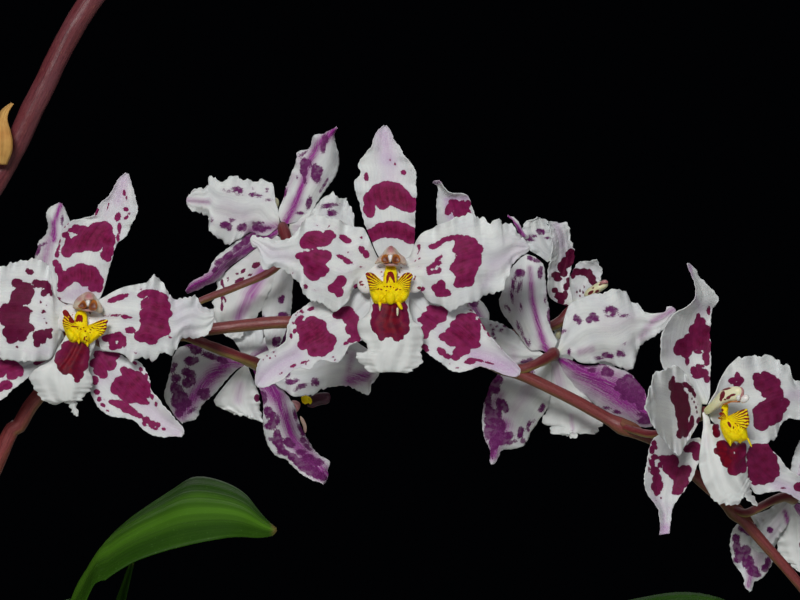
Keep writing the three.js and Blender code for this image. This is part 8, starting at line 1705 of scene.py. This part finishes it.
def chip(c, size, rng):
    """A broken piece of bark: a jittered block, bevelled by one cut of subdivision."""
    bm = bmesh.new()
    vs = [bm.verts.new(tuple(v * (1 + (rng.rand(3) - .5) * .55) * size)) for v in corner]
    for f in cf:
        bm.faces.new([vs[i] for i in f])
    bmesh.ops.bevel(bm, geom=list(bm.edges) + list(bm.verts), offset=min(size) * .32, segments=1, profile=.5, affect='EDGES')
    bmesh.ops.triangulate(bm, faces=bm.faces[:])
    bm.verts.index_update()
    R = np.array(Matrix.Rotation(rng.rand() * 6.28, 3, 'Z') @ Matrix.Rotation((rng.rand() - .5) * .9, 3, 'X') @ Matrix.Rotation((rng.rand() - .5) * .9, 3, 'Y'))
    V = np.array([v.co[:] for v in bm.verts]) @ R.T + c
    T = np.array([[v.index for v in f.verts] for f in bm.faces])
    bm.free()
    return V, T


n_chip = 420
off = 0
placed = 0
for k in range(n_chip):
    a, r = rng.rand() * 6.283, 55.5 * math.sqrt(rng.rand())
    x, y = r * math.cos(a), r * math.sin(a)
    size = np.array([3.2 + 3.4 * rng.rand(), 2.2 + 2.6 * rng.rand(), 1.3 + 1.4 * rng.rand()])
    if r + size[0] > 57.2:
        continue
    V, T = chip(np.array([x, y, BARK - .6 + rng.rand() * 1.6]), size, rng)
    chipV.append(V)
    chipQ.append(T + off)
    tone.append(np.full(len(V), rng.rand()))
    off += len(V)
piece("bark_chips", np.vstack(chipV), np.vstack(chipQ), MBARK, dict(tone=np.concatenate(tone)), smooth=False)
for nm in ("potting_bark",):
    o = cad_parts[nm]
    o.data.materials.clear()
    o.data.materials.append(MBARK)

# ------------------------------------------------------------------ pot
PR, PB, PW, PF, PH_ = 65.0, 43.0, 6.0, 9.0, 110.0
prof = [(0, 0), (PB - 1.5, 0), (PB - .5, .35), (PB, 1.5), (PB + .5, 3.4), (47.6, 20), (53.4, 50), (58.4, 78), (PR - 5.5, 85), (PR - 4, 86), (PR - 1.0, 86.6), (PR, 88), (PR, 96), (PR, PH_ - 2.2), (PR - .5, PH_ - .7), (PR - 1.6, PH_),
        (PR - PW + 1.4, PH_), (PR - PW + .3, PH_ - .5), (PR - PW, PH_ - 1.7), (PR - PW - 1.2, 88), (PB - PW + .4, PF + 1), (PB - PW - 1, PF), (0, PF)]
segs = 128
bm = bmesh.new()
rings = []
rng = np.random.RandomState(9)
kk = rng.rand(4) * 6.28
prof_f = []
for (r0, z0), (r1, z1) in zip(prof[:-1], prof[1:]):
    steps = max(1, int(math.hypot(r1 - r0, z1 - z0) / 6))
    for s_ in range(steps):
        f_ = s_ / steps
        prof_f.append((r0 + (r1 - r0) * f_, z0 + (z1 - z0) * f_))
prof_f.append(prof[-1])
for r, z in prof_f:
    if r < 1e-6:
        rings.append([bm.verts.new((0, 0, z * .001))])
        continue
    ring = []
    for j in range(segs):
        w = 2 * math.pi * j / segs
        rr = r + (.16 * math.sin(3 * w + kk[0] + z * .02) + .10 * math.sin(7 * w + kk[1] + z * .05)) * (1 if r > 30 else 0)
        rr = min(rr, PR)
        ring.append(bm.verts.new((rr * math.cos(w) * .001, rr * math.sin(w) * .001, z * .001)))
    rings.append(ring)
for A_, B_ in zip(rings[:-1], rings[1:]):
    for j in range(segs):
        j2 = (j + 1) % segs
        if len(A_) == 1:
            bm.faces.new((A_[0], B_[j2], B_[j]))
        elif len(B_) == 1:
            bm.faces.new((A_[j], A_[j2], B_[0]))
        else:
            bm.faces.new((A_[j], A_[j2], B_[j2], B_[j]))
bmesh.ops.recalc_face_normals(bm, faces=bm.faces[:])
me = bpy.data.meshes.new("pot_body")
bm.to_mesh(me)
bm.free()
pot = bpy.data.objects.new("pot_body", me)
bpy.context.collection.objects.link(pot)
cutters = []
for k in range(4):
    w = (k + .5) * math.pi / 2
    bpy.ops.mesh.primitive_cylinder_add(vertices=40, radius=.0065, depth=.04, location=(math.cos(w) * .023, math.sin(w) * .023, .005))
    c = bpy.context.object
    mod = pot.modifiers.new(f"hole{k}", 'BOOLEAN')
    mod.operation, mod.object, mod.solver = 'DIFFERENCE', c, 'EXACT'
    cutters.append(c)
dg = bpy.context.evaluated_depsgraph_get()
new = bpy.data.meshes.new_from_object(pot.evaluated_get(dg))
pot.modifiers.clear()
pot.data = new
for c in cutters:
    bpy.data.objects.remove(c)
pot.data.materials.clear()
pot.data.materials.append(MPOT)
for p in pot.data.polygons:
    p.use_smooth = True
    p.material_index = 0
try:
    pot.data.set_sharp_from_angle(angle=math.radians(42))
except Exception:
    pass
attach(pot, "root")
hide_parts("pot")

# ------------------------------------------------------------------ floor, light, camera
MF_ = Mat("floor", .8)
co = MF_.objco()
n_ = MF_.nt.nodes.new("ShaderNodeVectorMath")
n_.operation = 'LENGTH'
MF_.put(n_.inputs[0], co)
fade = MF_.step(n_.outputs["Value"], .80, 1.40, 1.0, 0.0)
MF_.set(Base_Color=(.58, .575, .56), Roughness=.85, Alpha=fade)
bpy.ops.mesh.primitive_circle_add(vertices=96, radius=1.45, fill_type='NGON', location=(.08, 0, -.0004))
floor = bpy.context.object
floor.name = "floor"
floor.data.materials.append(MF_.m)

scene = bpy.context.scene
world = bpy.data.worlds.new("studio")
scene.world = world
world.use_nodes = True
world.node_tree.nodes["Background"].inputs[0].default_value = (.0005, .0006, .0009, 1)
world.node_tree.nodes["Background"].inputs[1].default_value = 1.0


def area(name, loc, target, size, power, color=(1, 1, 1)):
    l = bpy.data.lights.new(name, 'AREA')
    l.shape, l.size, l.size_y, l.energy, l.color = 'RECTANGLE', size[0], size[1], power, color
    o = bpy.data.objects.new(name, l)
    bpy.context.collection.objects.link(o)
    o.location = loc
    o.rotation_euler = (Vector(target) - Vector(loc)).to_track_quat('-Z', 'Y').to_euler()
    return o


AIMM = Vector(AIM * .001)
area("key", (-.04, -1.20, .92), AIMM, (.30, .24), 11.0, (1, .985, .965))
area("fill_right", (.95, -.85, .45), AIMM, (.8, .8), 1.2, (.95, .97, 1))
area("top", (.1, .05, 1.5), (.1, 0, .3), (1.0, 1.0), 3.2)
area("rim", (.10, 1.30, 1.15), AIMM, (1.1, .7), 3.2)

cam = bpy.data.cameras.new("camera")
cam.sensor_fit = 'HORIZONTAL'
cam.sensor_width = 36
cam.lens = 36 / (2 * math.tan(math.radians(9)))
cam.clip_start, cam.clip_end = .01, 50
co_ = bpy.data.objects.new("camera", cam)
bpy.context.collection.objects.link(co_)
co_.location = Vector(EYE * .001)
co_.rotation_euler = (math.radians(90) - ELEV, 0, 0)
scene.camera = co_
scene.view_settings.view_transform = 'Standard'
scene.view_settings.look = 'None'

GR = {}
for k_, v_ in COUNT.items():
    g_ = "_".join(k_.split("_")[:2])
    GR[g_] = GR.get(g_, 0) + v_
